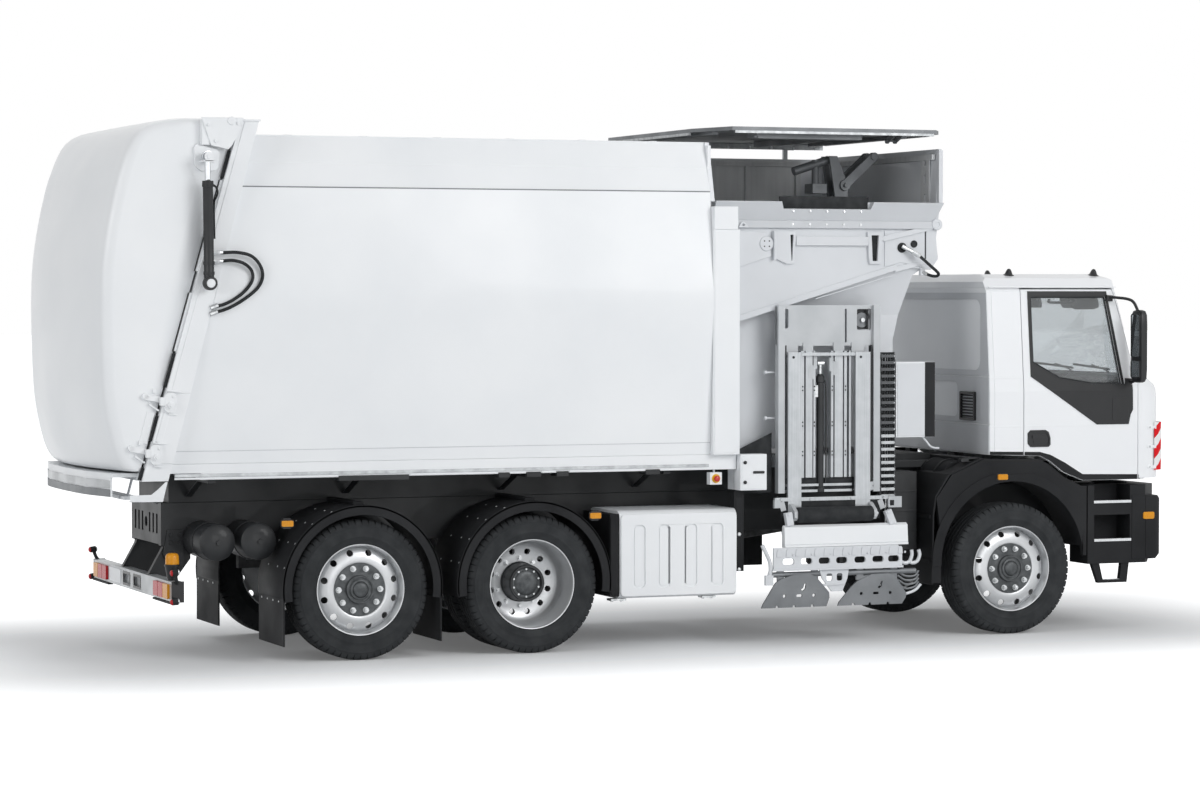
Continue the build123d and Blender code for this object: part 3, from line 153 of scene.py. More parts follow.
# Each finish is what the real part is made of and how its surface was made. Colours are (darker, paler),
# mixed by a random mottle. mottle, grain and streak are sizes in millimetres, relief is the height of the
# grain in millimetres. coat is the share of clear lacquer.
finishes = {
    # two-pack polyurethane enamel sprayed on sheet steel: bright, with a faint orange peel
    "coachEnamel": {"colours": ("#E6E9EC", "#EEF0F2"), "shine": 0.4, "metal": 0.0, "rough": 0.42,
                    "coat": 0.12, "mottle": 900.0, "grain": 9.0, "relief": 0.05},
    # the same enamel a shade greyer on the hopper, dulled by handling
    "hopperEnamel": {"colours": ("#CBCED2", "#D6D9DD"), "metal": 0.0, "rough": 0.38, "coat": 0.25,
                     "mottle": 700.0, "grain": 9.0, "relief": 0.05},
    # white enamel painted greyer as painted shade, on the tray, the cab's back wall, the lower side seam and
    # the drip tray bar; a thinner, matter coat
    "dullEnamel": {"colours": ("#BEC1C5", "#CACDD1"), "metal": 0.0, "rough": 0.45, "coat": 0.1,
                   "mottle": 600.0, "grain": 9.0, "relief": 0.05},
    # the cab's baked enamel: whiter and glossier
    "cabEnamel": {"colours": ("#EAECEF", "#EFF1F3"), "shine": 0.4, "metal": 0.0, "rough": 0.32,
                  "coat": 0.25, "mottle": 1200.0, "grain": 8.0, "relief": 0.03},
    # primer-grey enamel inside the hopper, scoured by refuse; painted far paler than primer as painted
    # light, for the light the covered hopper lacks
    "scouredGrey": {"colours": ("#BCBEC0", "#D6D8D9"), "metal": 0.1, "rough": 0.55, "coat": 0.0,
                    "mottle": 260.0, "grain": 5.0, "relief": 0.25, "streak": (40.0, 900.0)},
    # hot-dip galvanised sheet: cloudy spangle, half matt
    "galvanised": {"colours": ("#8E9193", "#B4B7B9"), "metal": 0.75, "rough": 0.42, "coat": 0.0,
                   "mottle": 55.0, "grain": 3.0, "relief": 0.05},
    # light grey enamel on the lifter's frame, dulled by bins
    "lifterEnamel": {"colours": ("#ACB0B3", "#BDC0C3"), "metal": 0.1, "rough": 0.42, "coat": 0.15,
                     "mottle": 240.0, "grain": 4.0, "relief": 0.06},
    # rolled steel rails, bright where rollers run
    "rolledSteel": {"colours": ("#9CA0A3", "#BEC1C4"), "metal": 0.5, "rough": 0.33, "coat": 0.0,
                    "mottle": 90.0, "grain": 2.5, "relief": 0.03, "streak": (6.0, 700.0)},
    # oxide-grey plate of the lid and bin shoes
    "plateGrey": {"colours": ("#696C6F", "#7E8184"), "metal": 0.3, "rough": 0.5, "coat": 0.0,
                  "mottle": 240.0, "grain": 4.0, "relief": 0.08},
    # black chassis lacquer on pressed rails: satin, thinly dusted
    "chassisLacquer": {"colours": ("#1E1F21", "#2B2D2F"), "shine": 0.3, "metal": 0.0, "rough": 0.5,
                       "coat": 0.1, "mottle": 320.0, "grain": 5.0, "relief": 0.06},
    # polypropylene with a moulded grain: dull charcoal
    "mouldedPolypropylene": {"colours": ("#191A1C", "#222325"), "shine": 0.18, "metal": 0.0, "rough": 0.62,
                             "coat": 0.0, "mottle": 500.0, "grain": 3.0, "relief": 0.12},
    # smooth black ABS of mirrors, handles and trim
    "blackAbs": {"colours": ("#1A1B1D", "#232426"), "shine": 0.3, "metal": 0.0, "rough": 0.38, "coat": 0.1,
                 "mottle": 240.0, "grain": 2.0, "relief": 0.02},
    # tyre tread and sidewall: carbon-filled rubber with road dust
    "tyreRubber": {"colours": ("#2B2D2F", "#333537"), "shine": 0.25, "metal": 0.0, "rough": 0.8,
                   "coat": 0.0, "mottle": 120.0, "grain": 4.0, "relief": 0.2},
    # silver-enamelled wheel discs
    "wheelSilver": {"colours": ("#B9BBBD", "#C9CBCD"), "metal": 0.5, "rough": 0.34, "coat": 0.1,
                    "mottle": 320.0, "grain": 2.5, "relief": 0.03},
    # forged hub iron under old grey paint
    "hubIron": {"colours": ("#3B3E40", "#5A5D5F"), "metal": 0.4, "rough": 0.5, "coat": 0.0, "mottle": 45.0,
                "grain": 3.0, "relief": 0.12},
    # zinc-plated nuts, bolts and fittings
    "zincPlate": {"colours": ("#9EA1A3", "#D9DBDC"), "metal": 0.9, "rough": 0.3, "coat": 0.0,
                  "mottle": 30.0, "grain": 1.5, "relief": 0.02},
    # hard chrome on piston rods
    "hardChrome": {"colours": ("#C9CBCD", "#E2E4E6"), "metal": 1.0, "rough": 0.08, "coat": 0.0,
                   "mottle": 80.0, "grain": 3.0, "relief": 0.005},
    # extruded rubber: door and gate seals, hoses, flaps
    "softRubber": {"colours": ("#1F2123", "#2C2E30"), "shine": 0.25, "metal": 0.0, "rough": 0.7,
                   "coat": 0.0, "mottle": 90.0, "grain": 2.0, "relief": 0.05},
    # brushed aluminium of step edges and the tank
    "brushedAluminium": {"colours": ("#A8ABAD", "#D3D5D7"), "metal": 0.95, "rough": 0.35, "coat": 0.0,
                         "mottle": 140.0, "grain": 2.0, "relief": 0.03, "streak": (3.0, 400.0)},
    # zinc-grey enamel on the underrun bar
    "underrunGrey": {"colours": ("#A3A6A8", "#C4C7C9"), "metal": 0.3, "rough": 0.4, "coat": 0.1,
                     "mottle": 200.0, "grain": 4.0, "relief": 0.05},
    # cast iron of engine and gearbox
    "castIron": {"colours": ("#3A3B3C", "#555657"), "metal": 0.5, "rough": 0.6, "coat": 0.0, "mottle": 60.0,
                 "grain": 4.0, "relief": 0.4},
    # light grey textured plastic inside the cab
    "cabinPlastic": {"colours": ("#5D6063", "#6B6E71"), "metal": 0.0, "rough": 0.6, "coat": 0.0,
                     "mottle": 300.0, "grain": 2.5, "relief": 0.1},
    "darkCabinPlastic": {"colours": ("#303234", "#3C3E41"), "metal": 0.0, "rough": 0.58, "coat": 0.0,
                         "mottle": 300.0, "grain": 2.5, "relief": 0.1},
    # glossy red and yellow phenolic of the stop button
    "stopRed": {"colours": ("#B31217", "#C9161C"), "metal": 0.0, "rough": 0.3, "coat": 0.3, "mottle": 40.0,
                "grain": 2.0, "relief": 0.01},
    "stopYellow": {"colours": ("#D9A514", "#E8B51C"), "metal": 0.0, "rough": 0.4, "coat": 0.2,
                   "mottle": 40.0, "grain": 2.0, "relief": 0.01},
    # lens plastics, moulded with fine flutes
    "amberLens": {"colours": ("#CC8412", "#E29B22"), "shine": 0.25, "metal": 0.0, "rough": 0.3,
                  "coat": 0.08, "mottle": 12.0, "grain": 6.0, "relief": 0.5},
    "redLens": {"colours": ("#A3121A", "#C41D26"), "shine": 0.25, "metal": 0.0, "rough": 0.3, "coat": 0.08,
                "mottle": 12.0, "grain": 6.0, "relief": 0.5},
    "clearLens": {"colours": ("#C4C8CB", "#E6E9EB"), "metal": 0.2, "rough": 0.1, "coat": 0.8,
                  "mottle": 14.0, "grain": 8.0, "relief": 0.5},
    "mirrorGlass": {"colours": ("#AEB4B8", "#BCC2C6"), "metal": 1.0, "rough": 0.03, "coat": 0.0,
                    "mottle": 300.0, "grain": 6.0, "relief": 0.0},
    # polyamide links of the energy chain
    "polyamide": {"colours": ("#3B3D40", "#505356"), "metal": 0.0, "rough": 0.45, "coat": 0.0,
                  "mottle": 70.0, "grain": 2.0, "relief": 0.04},
}


def perMetre(millimetres):
    return 1000.0 / millimetres


def makeFinish(name, finish):
    look = bpy.data.materials.new(name)
    look.use_nodes = True
    shader = look.node_tree.nodes["Principled BSDF"]
    shader.inputs["Metallic"].default_value = finish["metal"]
    shader.inputs["Coat Weight"].default_value = finish["coat"]
    shader.inputs["Specular IOR Level"].default_value = finish.get("shine", 0.5)
    shader.inputs["Coat Roughness"].default_value = 0.06
    place = addNode(look, "TexCoord", {}).outputs["Object"]
    mottle = addNode(look, "TexNoise", {"Vector": place, "Scale": perMetre(finish["mottle"]),
                                        "Detail": 4.0})
    shade = mottle.outputs["Fac"]
    if "streak" in finish:
        # long upright scratches: fine across, long along Z
        fine, long = finish["streak"]
        stretch = addNode(look, "Mapping", {"Vector": place,
                                            "Scale": (perMetre(fine), perMetre(fine), perMetre(long))})
        streaks = addNode(look, "TexNoise", {"Vector": stretch.outputs[0], "Scale": 1.0, "Detail": 3.0})
        shade = addNode(look, "Math", {"operation": "MULTIPLY_ADD", 0: streaks.outputs["Fac"], 1: 0.55,
                                       2: addNode(look, "Math",
                                                  {"operation": "MULTIPLY", 0: shade, 1: 0.45}).outputs[0]})
        shade = shade.outputs[0]
    spread = addNode(look, "MapRange", {"Value": shade, "From Min": 0.25, "From Max": 0.75})
    dark, pale = finish["colours"]
    colour = addNode(look, "Mix", {"data_type": "RGBA", 0: spread.outputs[0], 6: toLinear(dark),
                                   7: toLinear(pale)})
    grain = addNode(look, "TexNoise", {"Vector": place, "Scale": perMetre(finish["grain"]), "Detail": 2.0})
    polish = addNode(look, "MapRange", {"Value": shade, "From Min": 0.3, "From Max": 0.7,
                                        "To Min": finish["rough"] * 1.18, "To Max": finish["rough"] * 0.85})
    bump = addNode(look, "Bump", {"Height": grain.outputs["Fac"], "Distance": finish["relief"] / 1000,
                                  "Strength": 1.0})
    for source, target in ((colour.outputs[2], "Base Color"), (polish.outputs[0], "Roughness"),
                           (bump.outputs[0], "Normal")):
        look.node_tree.links.new(source, shader.inputs[target])
    looks[name] = look


def makeCabGlass():
    # laminated and toughened cab glazing: clear with a grey tint
    look = bpy.data.materials.new("cabGlass")
    look.use_nodes = True
    shader = look.node_tree.nodes["Principled BSDF"]
    shader.inputs["Base Color"].default_value = toLinear("#DCE0E2")
    shader.inputs["Roughness"].default_value = 0.02
    shader.inputs["IOR"].default_value = 1.5
    shader.inputs["Transmission Weight"].default_value = 0.92
    place = addNode(look, "TexCoord", {}).outputs["Object"]
    # slow waviness of float glass, drawn at 400 mm
    wave = addNode(look, "TexNoise", {"Vector": place, "Scale": perMetre(400.0), "Detail": 1.0})
    bump = addNode(look, "Bump", {"Height": wave.outputs["Fac"], "Distance": 0.0004})
    look.node_tree.links.new(bump.outputs[0], shader.inputs["Normal"])
    looks["cabGlass"] = look


def makeSeatCloth():
    # flat-woven polyester: 2.4 mm threads drawn at 6 mm so that the weave shows
    look = bpy.data.materials.new("seatCloth")
    look.use_nodes = True
    shader = look.node_tree.nodes["Principled BSDF"]
    shader.inputs["Roughness"].default_value = 0.9
    shader.inputs["Sheen Weight"].default_value = 0.3
    place = addNode(look, "TexCoord", {}).outputs["Object"]
    across = addNode(look, "TexWave", {"Vector": place, "Scale": perMetre(6.0) / 6.2,
                                       "bands_direction": "Y", "Distortion": 0.4})
    along = addNode(look, "TexWave", {"Vector": place, "Scale": perMetre(6.0) / 6.2,
                                      "bands_direction": "DIAGONAL", "Distortion": 0.4})
    weave = addNode(look, "Math", {"operation": "MULTIPLY", 0: across.outputs["Fac"],
                                   1: along.outputs["Fac"]})
    fleck = addNode(look, "TexNoise", {"Vector": place, "Scale": perMetre(14.0), "Detail": 5.0})
    shade = addNode(look, "Math", {"operation": "ADD", 0: weave.outputs[0], 1: fleck.outputs["Fac"]})
    spread = addNode(look, "MapRange", {"Value": shade.outputs[0], "From Min": 0.35, "From Max": 1.2})
    colour = addNode(look, "Mix", {"data_type": "RGBA", 0: spread.outputs[0], 6: toLinear("#3A3D42"),
                                   7: toLinear("#63676D")})
    bump = addNode(look, "Bump", {"Height": weave.outputs[0], "Distance": 0.0006})
    look.node_tree.links.new(colour.outputs[2], shader.inputs["Base Color"])
    look.node_tree.links.new(bump.outputs[0], shader.inputs["Normal"])
    looks["seatCloth"] = look


def makeWarningSheeting():
    # retroreflective marker film: red and white bands at 45 degrees, 85 mm each, rising forwards
    look = bpy.data.materials.new("warningSheeting")
    look.use_nodes = True
    shader = look.node_tree.nodes["Principled BSDF"]
    shader.inputs["Roughness"].default_value = 0.5
    shader.inputs["Specular IOR Level"].default_value = 0.15
    place = addNode(look, "TexCoord", {}).outputs["Object"]
    parts = addNode(look, "SeparateXYZ", {0: place})
    outward = addNode(look, "Math", {"operation": "ABSOLUTE", 0: parts.outputs["Y"]})
    aroundCorner = addNode(look, "Math", {"operation": "SUBTRACT", 0: parts.outputs["X"],
                                          1: outward.outputs[0]})
    rise = addNode(look, "Math", {"operation": "MULTIPLY_ADD", 0: aroundCorner.outputs[0], 1: -0.72,
                                  2: parts.outputs["Z"]})
    turn = addNode(look, "Math", {"operation": "MULTIPLY", 0: rise.outputs[0], 1: perMetre(170.0)})
    band = addNode(look, "Math", {"operation": "FRACT", 0: turn.outputs[0]})
    red = addNode(look, "Math", {"operation": "GREATER_THAN", 0: band.outputs[0], 1: 0.5})
    colour = addNode(look, "Mix", {"data_type": "RGBA", 0: red.outputs[0], 6: toLinear("#EDEEEF"),
                                   7: toLinear("#D8161E")})
    cells = addNode(look, "TexVoronoi", {"Vector": place, "Scale": perMetre(5.0)})
    bump = addNode(look, "Bump", {"Height": cells.outputs["Distance"], "Distance": 0.00005})
    look.node_tree.links.new(colour.outputs[2], shader.inputs["Base Color"])
    look.node_tree.links.new(bump.outputs[0], shader.inputs["Normal"])
    looks["warningSheeting"] = look


for finishName, finishValues in finishes.items():
    makeFinish(finishName, finishValues)
makeCabGlass()
makeSeatCloth()
makeWarningSheeting()
print("finishes made:", len(looks))

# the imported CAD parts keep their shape: each gets its finish and lightly rounded edges
# finish, edge radius in millimetres
cadFinishes = {
    "air_tanks": ("chassisLacquer", 6), "battery_box": ("mouldedPolypropylene", 6),
    "body_floor": ("coachEnamel", 3), "body_front_frame": ("coachEnamel", 4),
    "body_roof": ("coachEnamel", 4), "body_side_left": ("coachEnamel", 3),
    "body_side_right": ("coachEnamel", 3), "body_subframe": ("chassisLacquer", 3),
    "cab_floor": ("mouldedPolypropylene", 3), "cab_front": ("cabEnamel", 6),
    "cab_rear_wall": ("coachEnamel", 5), "cab_roof": ("cabEnamel", 6), "cab_sides": ("cabEnamel", 5),
    "cable_chain": ("polyamide", 2), "control_boxes": ("coachEnamel", 4),
    "dashboard": ("darkCabinPlastic", 12), "door_glass_left": ("cabGlass", 0),
    "door_glass_right": ("cabGlass", 0), "door_left": ("cabEnamel", 4), "door_right": ("cabEnamel", 4),
    "drive_wheels_left": ("tyreRubber", 3), "drive_wheels_right": ("tyreRubber", 3),
    "driveline": ("castIron", 4), "engine": ("castIron", 8), "frame_rails": ("chassisLacquer", 3),
    "front_axle": ("castIron", 5), "front_bumper": ("mouldedPolypropylene", 8),
    "front_wheel_left": ("tyreRubber", 3), "front_wheel_right": ("tyreRubber", 3),
    "front_wings": ("mouldedPolypropylene", 5), "fuel_tank": ("brushedAluminium", 8),
    "gate_cylinder_left": ("chassisLacquer", 2), "gate_cylinder_right": ("chassisLacquer", 2),
    "gate_rod_left": ("hardChrome", 1), "gate_rod_right": ("hardChrome", 1),
    "hopper_end_wall": ("hopperEnamel", 3), "hopper_floor": ("scouredGrey", 3),
    "hopper_lid": ("plateGrey", 3), "hopper_side_left": ("hopperEnamel", 3),
    "hopper_side_right": ("hopperEnamel", 3), "lifter_carriage": ("rolledSteel", 2),
    "lifter_guides": ("lifterEnamel", 2), "lifter_head": ("lifterEnamel", 3),
    "lifter_mast": ("lifterEnamel", 3), "mirror_left": ("blackAbs", 8), "mirror_right": ("blackAbs", 8),
    "rear_axles": ("castIron", 4), "rear_frame": ("coachEnamel", 3),
    "rear_mudguards": ("mouldedPolypropylene", 4), "rear_underrun": ("underrunGrey", 3),
    "seats": ("seatCloth", 10), "side_locker": ("coachEnamel", 6),
    "steering_knuckle_left": ("castIron", 3), "steering_knuckle_right": ("castIron", 3),
    "steering_wheel": ("darkCabinPlastic", 4), "tag_wheel_left": ("tyreRubber", 3),
    "tag_wheel_right": ("tyreRubber", 3), "tailgate_cheeks": ("coachEnamel", 4),
    "tailgate_skin": ("coachEnamel", 4), "windscreen": ("cabGlass", 0),
}


def finishNode(name, finish, radius):
    piece = bpy.data.objects[name]
    piece.data.materials.clear()
    piece.data.materials.append(looks[finish])
    if radius:
        weld = piece.modifiers.new("joined", "WELD")
        weld.merge_threshold = 0.00005
        edge = piece.modifiers.new("rounded", "BEVEL")
        edge.width, edge.segments = radius / 1000, 2
        edge.limit_method, edge.angle_limit = "ANGLE", radians(32)
        edge.harden_normals = True


for nodeName, (nodeFinish, nodeRadius) in cadFinishes.items():
    finishNode(nodeName, nodeFinish, nodeRadius)
print("CAD parts finished:", len(cadFinishes))


# mesh helpers

# the record's slot that each finish belongs to; lenses, mirrors and warning colours have none
usualSlots = {
    "coachEnamel": "white_paint",
    "cabEnamel": "white_paint",
    "dullEnamel": "white_paint",
    "softRubber": "moulded_black",
    "mouldedPolypropylene": "moulded_black",
    "blackAbs": "moulded_black",
    "chassisLacquer": "chassis_paint",
    "zincPlate": "chassis_paint",
    "brushedAluminium": "tank_alloy",
    "darkCabinPlastic": "cabin_plastic",
    "seatCloth": "seat_fabric",
}


def makePiece(name, bm, finish, body="root", slot=None, bevel=0.0, smooth=35, replaces=()):
    # turns a bmesh into a piece that rides on a body; finish may be one name or a list for the face indices
    if slot is None:
        slot = usualSlots.get(finish, "")
    bmesh.ops.remove_doubles(bm, verts=bm.verts, dist=0.00002)
    bmesh.ops.recalc_face_normals(bm, faces=bm.faces)
    for face in bm.faces:
        face.smooth = True
    mesh = bpy.data.meshes.new(name)
    bm.to_mesh(mesh)
    bm.free()
    for one in [finish] if isinstance(finish, str) else finish:
        mesh.materials.append(looks[one])
    piece = bpy.data.objects.new(name, mesh)
    bpy.context.scene.collection.objects.link(piece)
    if bevel:
        edge = piece.modifiers.new("rounded", "BEVEL")
        edge.width, edge.segments = bevel / 1000, 2
        edge.limit_method, edge.angle_limit = "ANGLE", radians(32)
        edge.harden_normals = True
    mesh.set_sharp_from_angle(angle=radians(smooth))
    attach(piece, body)
    if replaces:
        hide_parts(*replaces)
    return piece


boxFaces = [(0, 3, 2, 1), (4, 5, 6, 7), (0, 1, 5, 4), (1, 2, 6, 5), (2, 3, 7, 6), (3, 0, 4, 7)]


def addHull(bm, corners, finish=0):
    # eight corners, in the order that boxFaces counts them
    points = [bm.verts.new(c) for c in corners]
    for face in boxFaces:
        bm.faces.new([points[at] for at in face]).material_index = finish


def addLoft(bm, rings, finish=0):
    # skins a row of closed rings and caps both ends
    for near, far in zip(rings, rings[1:]):
        for n in range(len(near)):
            m = (n + 1) % len(near)
            bm.faces.new((near[n], near[m], far[m], far[n])).material_index = finish
    for ring in (rings[0], rings[-1]):
        bm.faces.new(ring).material_index = finish


def addBlock(bm, low, high, finish=0, turn=None):
    # a box between two corners, turned about its middle when turn is a matrix
    low, high = Vector(low), Vector(high)
    middle, half = (low + high) / 2, (high - low) / 2
    corners = []
    for z in (-1, 1):
        for x, y in ((-1, -1), (1, -1), (1, 1), (-1, 1)):
            offset = Vector((half.x * x, half.y * y, half.z * z))
            corners.append(middle + (turn @ offset if turn else offset))
    addHull(bm, corners, finish)


def addBar(bm, start, end, width, height, finish=0, side=(0, 1, 0)):
    # a rectangular bar along a line; width is measured along side
    start, end = Vector(start), Vector(end)
    along = (end - start).normalized()
    across = Vector(side) - along * along.dot(Vector(side))
    across = across.normalized() * width / 2
    up = along.cross(across).normalized() * height / 2
    corners = []
    for place in (start, end):
        corners += [place - across - up, place + across - up, place + across + up, place - across + up]
    addHull(bm, corners, finish)


def circlePoints(radius, count):
    return [(radius * cos(2 * pi * n / count), radius * sin(2 * pi * n / count)) for n in range(count)]


def frameOn(direction):
    # two directions square to a line
    direction = Vector(direction).normalized()
    side = Vector((0, 0, 1)) if abs(direction.z) < 0.9 else Vector((1, 0, 0))
    first = direction.cross(side).normalized()
    return first, direction.cross(first).normalized()


def addRound(bm, start, end, radius, count=20, finish=0):
    # a round bar between two points
    start, end = Vector(start), Vector(end)
    first, second = frameOn(end - start)
    rings = []
    for place in (start, end):
        rings.append([bm.verts.new(place + first * x + second * y) for x, y in circlePoints(radius, count)])
    addLoft(bm, rings, finish)


def addTurned(bm, profile, centre, axis, count=32, finish=0, closed=False):
    # a profile of (distance along the axis, radius) turned round it; ends on the axis close it
    centre, axis = Vector(centre), Vector(axis).normalized()
    first, second = frameOn(axis)
    rings = []
    for along, radius in profile:
        if radius < 1e-6:
            rings.append([bm.verts.new(centre + axis * along)])
        else:
            rings.append([bm.verts.new(centre + axis * along + first * x + second * y)
                          for x, y in circlePoints(radius, count)])
    pairs = list(zip(rings, rings[1:])) + ([(rings[-1], rings[0])] if closed else [])
    for near, far in pairs:
        for n in range(count):
            m = (n + 1) % count
            if len(near) == 1 and len(far) == 1:
                continue
            if len(near) == 1:
                corners = (near[0], far[m], far[n])
            elif len(far) == 1:
                corners = (near[n], near[m], far[0])
            else:
                corners = (near[n], near[m], far[m], far[n])
            bm.faces.new(corners).material_index = finish


def addSlab(bm, outline, holes, place, thickness, finish=0):
    # a plate with holes: outline and holes are flat (a, b) loops, place turns (a, b, depth) into a point
    loops = [[Vector((a, b, 0)) for a, b in loop] for loop in [outline] + list(holes)]
    flat = [point for loop in loops for point in loop]
    triangles = tessellate_polygon(loops)
    sides = []
    for depth in (0.0, thickness):
        points = [bm.verts.new(place(p.x, p.y, depth)) for p in flat]
        for triangle in triangles:
            bm.faces.new([points[at] for at in triangle]).material_index = finish
        sides.append(points)
    start = 0
    for loop in loops:
        for n in range(len(loop)):
            a, b = start + n, start + (n + 1) % len(loop)
            bm.faces.new((sides[0][a], sides[0][b], sides[1][b], sides[1][a])).material_index = finish
        start += len(loop)
    bmesh.ops.dissolve_limit(bm, angle_limit=0.001, verts=sides[0] + sides[1],
                             edges=list({e for v in sides[0] + sides[1] for e in v.link_edges}))


def roundedLoop(low, high, radius, count=4):
    # a rectangle with round corners as a flat loop
    (a0, b0), (a1, b1) = low, high
    loop = []
    for ca, cb, start in ((a1 - radius, b1 - radius, 0), (a0 + radius, b1 - radius, 90),
                          (a0 + radius, b0 + radius, 180), (a1 - radius, b0 + radius, 270)):
        for n in range(count + 1):
            turn = radians(start + 90 * n / count)
            loop.append((ca + radius * cos(turn), cb + radius * sin(turn)))
    return loop


def curvedLine(points, steps=8):
    # a smooth line through points
    points = [Vector(p) for p in points]
    ends = [points[0] * 2 - points[1]] + points + [points[-1] * 2 - points[-2]]
    line = []
    for n in range(1, len(ends) - 2):
        a, b, c, d = ends[n - 1:n + 3]
        for step in range(steps):
            t = step / steps
            bend = (2 * a - 5 * b + 4 * c - d) * t * t
            line.append(0.5 * ((2 * b) + (c - a) * t + bend + (3 * b - a - 3 * c + d) * t * t * t))
    return line + [points[-1]]


def addPipe(bm, points, radius, count=10, finish=0):
    # a round tube along a line of points
    points = [Vector(p) for p in points]
    first = frameOn(points[1] - points[0])[0]
    rings = []
    for n, place in enumerate(points):
        along = (points[min(n + 1, len(points) - 1)] - points[max(n - 1, 0)]).normalized()
        first = (first - along * along.dot(first)).normalized()
        second = along.cross(first)
        rings.append([bm.verts.new(place + first * x + second * y) for x, y in circlePoints(radius, count)])
    addLoft(bm, rings, finish)


def addBolt(bm, place, outward, across, height, finish=0):
    # a hexagon head with a washer under it
    place, outward = Vector(place), Vector(outward).normalized()
    addRound(bm, place, place + outward * height * 0.25, across * 0.72, 12, finish)
    addRound(bm, place + outward * height * 0.2, place + outward * height, across * 0.56, 6, finish)


def mirrored(bm):
    # adds the same geometry on the other side
    flip = Matrix.Diagonal((1, -1, 1, 1))
    copy = bmesh.ops.duplicate(bm, geom=bm.verts[:] + bm.edges[:] + bm.faces[:])["geom"]
    bmesh.ops.transform(bm, matrix=flip, verts=[v for v in copy if isinstance(v, bmesh.types.BMVert)])


# wheels
tyre = {
    "radius": 0.538, "lugs": 60, "lugShare": 0.78, "notchDepth": 0.012,
    # distance from the tyre's middle, radius, share of the notch that reaches it
    "profile": [(0.108, 0.336, 0), (0.126, 0.344, 0), (0.134, 0.356, 0), (0.1365, 0.372, 0),
                (0.146, 0.385, 0), (0.152, 0.402, 0), (0.1535, 0.404, 0), (0.1545, 0.41, 0),
                (0.1535, 0.412, 0), (0.1568, 0.437, 0), (0.1568, 0.462, 0), (0.1555, 0.476, 0),
                (0.1565, 0.48, 0), (0.152, 0.487, 0), (0.15, 0.496, 0), (0.1475, 0.505, 0.7),
                (0.144, 0.517, 1), (0.137, 0.527, 1), (0.127, 0.5345, 1), (0.108, 0.5375, 0.9),
                (0.096, 0.5378, 0), (0.092, 0.5378, 0), (0.0895, 0.524, 0), (0.0805, 0.524, 0),
                (0.078, 0.538, 0), (0.036, 0.538, 0), (0.0335, 0.524, 0), (0.0245, 0.524, 0),
                (0.022, 0.538, 0)],
}
rim = {
    "holes": 12, "arcSteps": 6, "sideSteps": 4,
    "lip": [(0.104, 0.337), (0.122, 0.341), (0.133, 0.349), (0.1375, 0.3505), (0.1395, 0.348),
            (0.1385, 0.3425), (0.13, 0.338), (0.118, 0.3345)],
    "nuts": 10,
}
rim["around"] = rim["holes"] * rim["arcSteps"]         # points in a ring of the disc


def tyreRing(side):
    half = tyre["profile"]
    return [(side * t, r, cut) for t, r, cut in half] + [(-side * t, r, cut)
                                                         for t, r, cut in reversed(half)]


def addTyre(bm, centre, side):
    # one tyre with shoulder lugs cut all round; each lug and notch takes four steps of the ring
    pitch = 2 * pi / tyre["lugs"]
    share = tyre["lugShare"]
    rows = [(0.0, 0), (share, 0), (share + 0.06, 1), (0.94, 1)]
    rings = []
    for lug in range(tyre["lugs"]):
        for part, cut in rows:
            turn = (lug + part) * pitch
            ring = []
            for t, r, reach in tyreRing(side):
                depth = tyre["notchDepth"] * cut * reach
                radius = r - depth
                t = t * (1 - 0.35 * depth)
                ring.append(bm.verts.new((centre[0] + radius * cos(turn), centre[1] + t,
                                          centre[2] + radius * sin(turn))))
            rings.append(ring)
    for near, far in zip(rings, rings[1:] + rings[:1]):
        for n in range(len(near) - 1):
            bm.faces.new((near[n], near[n + 1], far[n + 1], far[n]))
        bm.faces.new((near[-1], near[0], far[0], far[-1]))


def curveAt(curve, radius):
    # depth of a disc's face at a radius, from (radius, depth) rows that run inwards
    for (r0, t0), (r1, t1) in zip(curve, curve[1:]):
        if r1 <= radius <= r0:
            share = (r0 - radius) / (r0 - r1)
            share = share * share * (3 - 2 * share) if abs(t1 - t0) > 0.02 else share
            return t0 + (t1 - t0) * share
    return curve[0][1] if radius > curve[0][0] else curve[-1][1]


def addHoledRing(bm, centre, side, curve, bounds, hole, back, finish):
    # a ring of the disc between two radii, with a row of round holes; hole is (radius of the row, half size)
    arcSteps = rim["arcSteps"]
    sideSteps = rim["sideSteps"]
    outer, inner = bounds
    row, size = hole
    sector = 2 * pi / rim["holes"]
    loops = []
    for number in range(rim["holes"]):
        middle = (number + 0.5) * sector
        edge = []
        for n in range(arcSteps):
            edge.append((outer, middle - sector / 2 + sector * n / arcSteps))
        for n in range(sideSteps):
            edge.append((outer + (inner - outer) * n / sideSteps, middle + sector / 2))
        for n in range(arcSteps):
            edge.append((inner, middle + sector / 2 - sector * n / arcSteps))
        for n in range(sideSteps):
            edge.append((inner + (outer - inner) * n / sideSteps, middle - sector / 2))
        mid = Vector((row * cos(middle), row * sin(middle)))
        flat = [Vector((r * cos(a), r * sin(a))) for r, a in edge]
        ring = []
        for point in flat:
            away = (point - mid).normalized()
            ring.append(mid + away * size)
        levels = [[p.lerp(q, share) for p, q in zip(flat, ring)] for share in (0, 0.45, 0.82, 1)]
        for drop in (0.0, back):
            made = []
            for level in levels:
                made.append([bm.verts.new((centre[0] + p.x, centre[1] + side * (curveAt(curve,
                        p.length) - drop), centre[2] + p.y)) for p in level])
            for near, far in zip(made, made[1:]):
                for n in range(len(near)):
                    m = (n + 1) % len(near)
                    bm.faces.new((near[n], near[m], far[m], far[n])).material_index = finish
            loops.append(made[-1])
        front, rear = loops[-2], loops[-1]
        for n in range(len(front)):
            m = (n + 1) % len(front)
            bm.faces.new((front[n], front[m], rear[m], rear[n])).material_index = finish


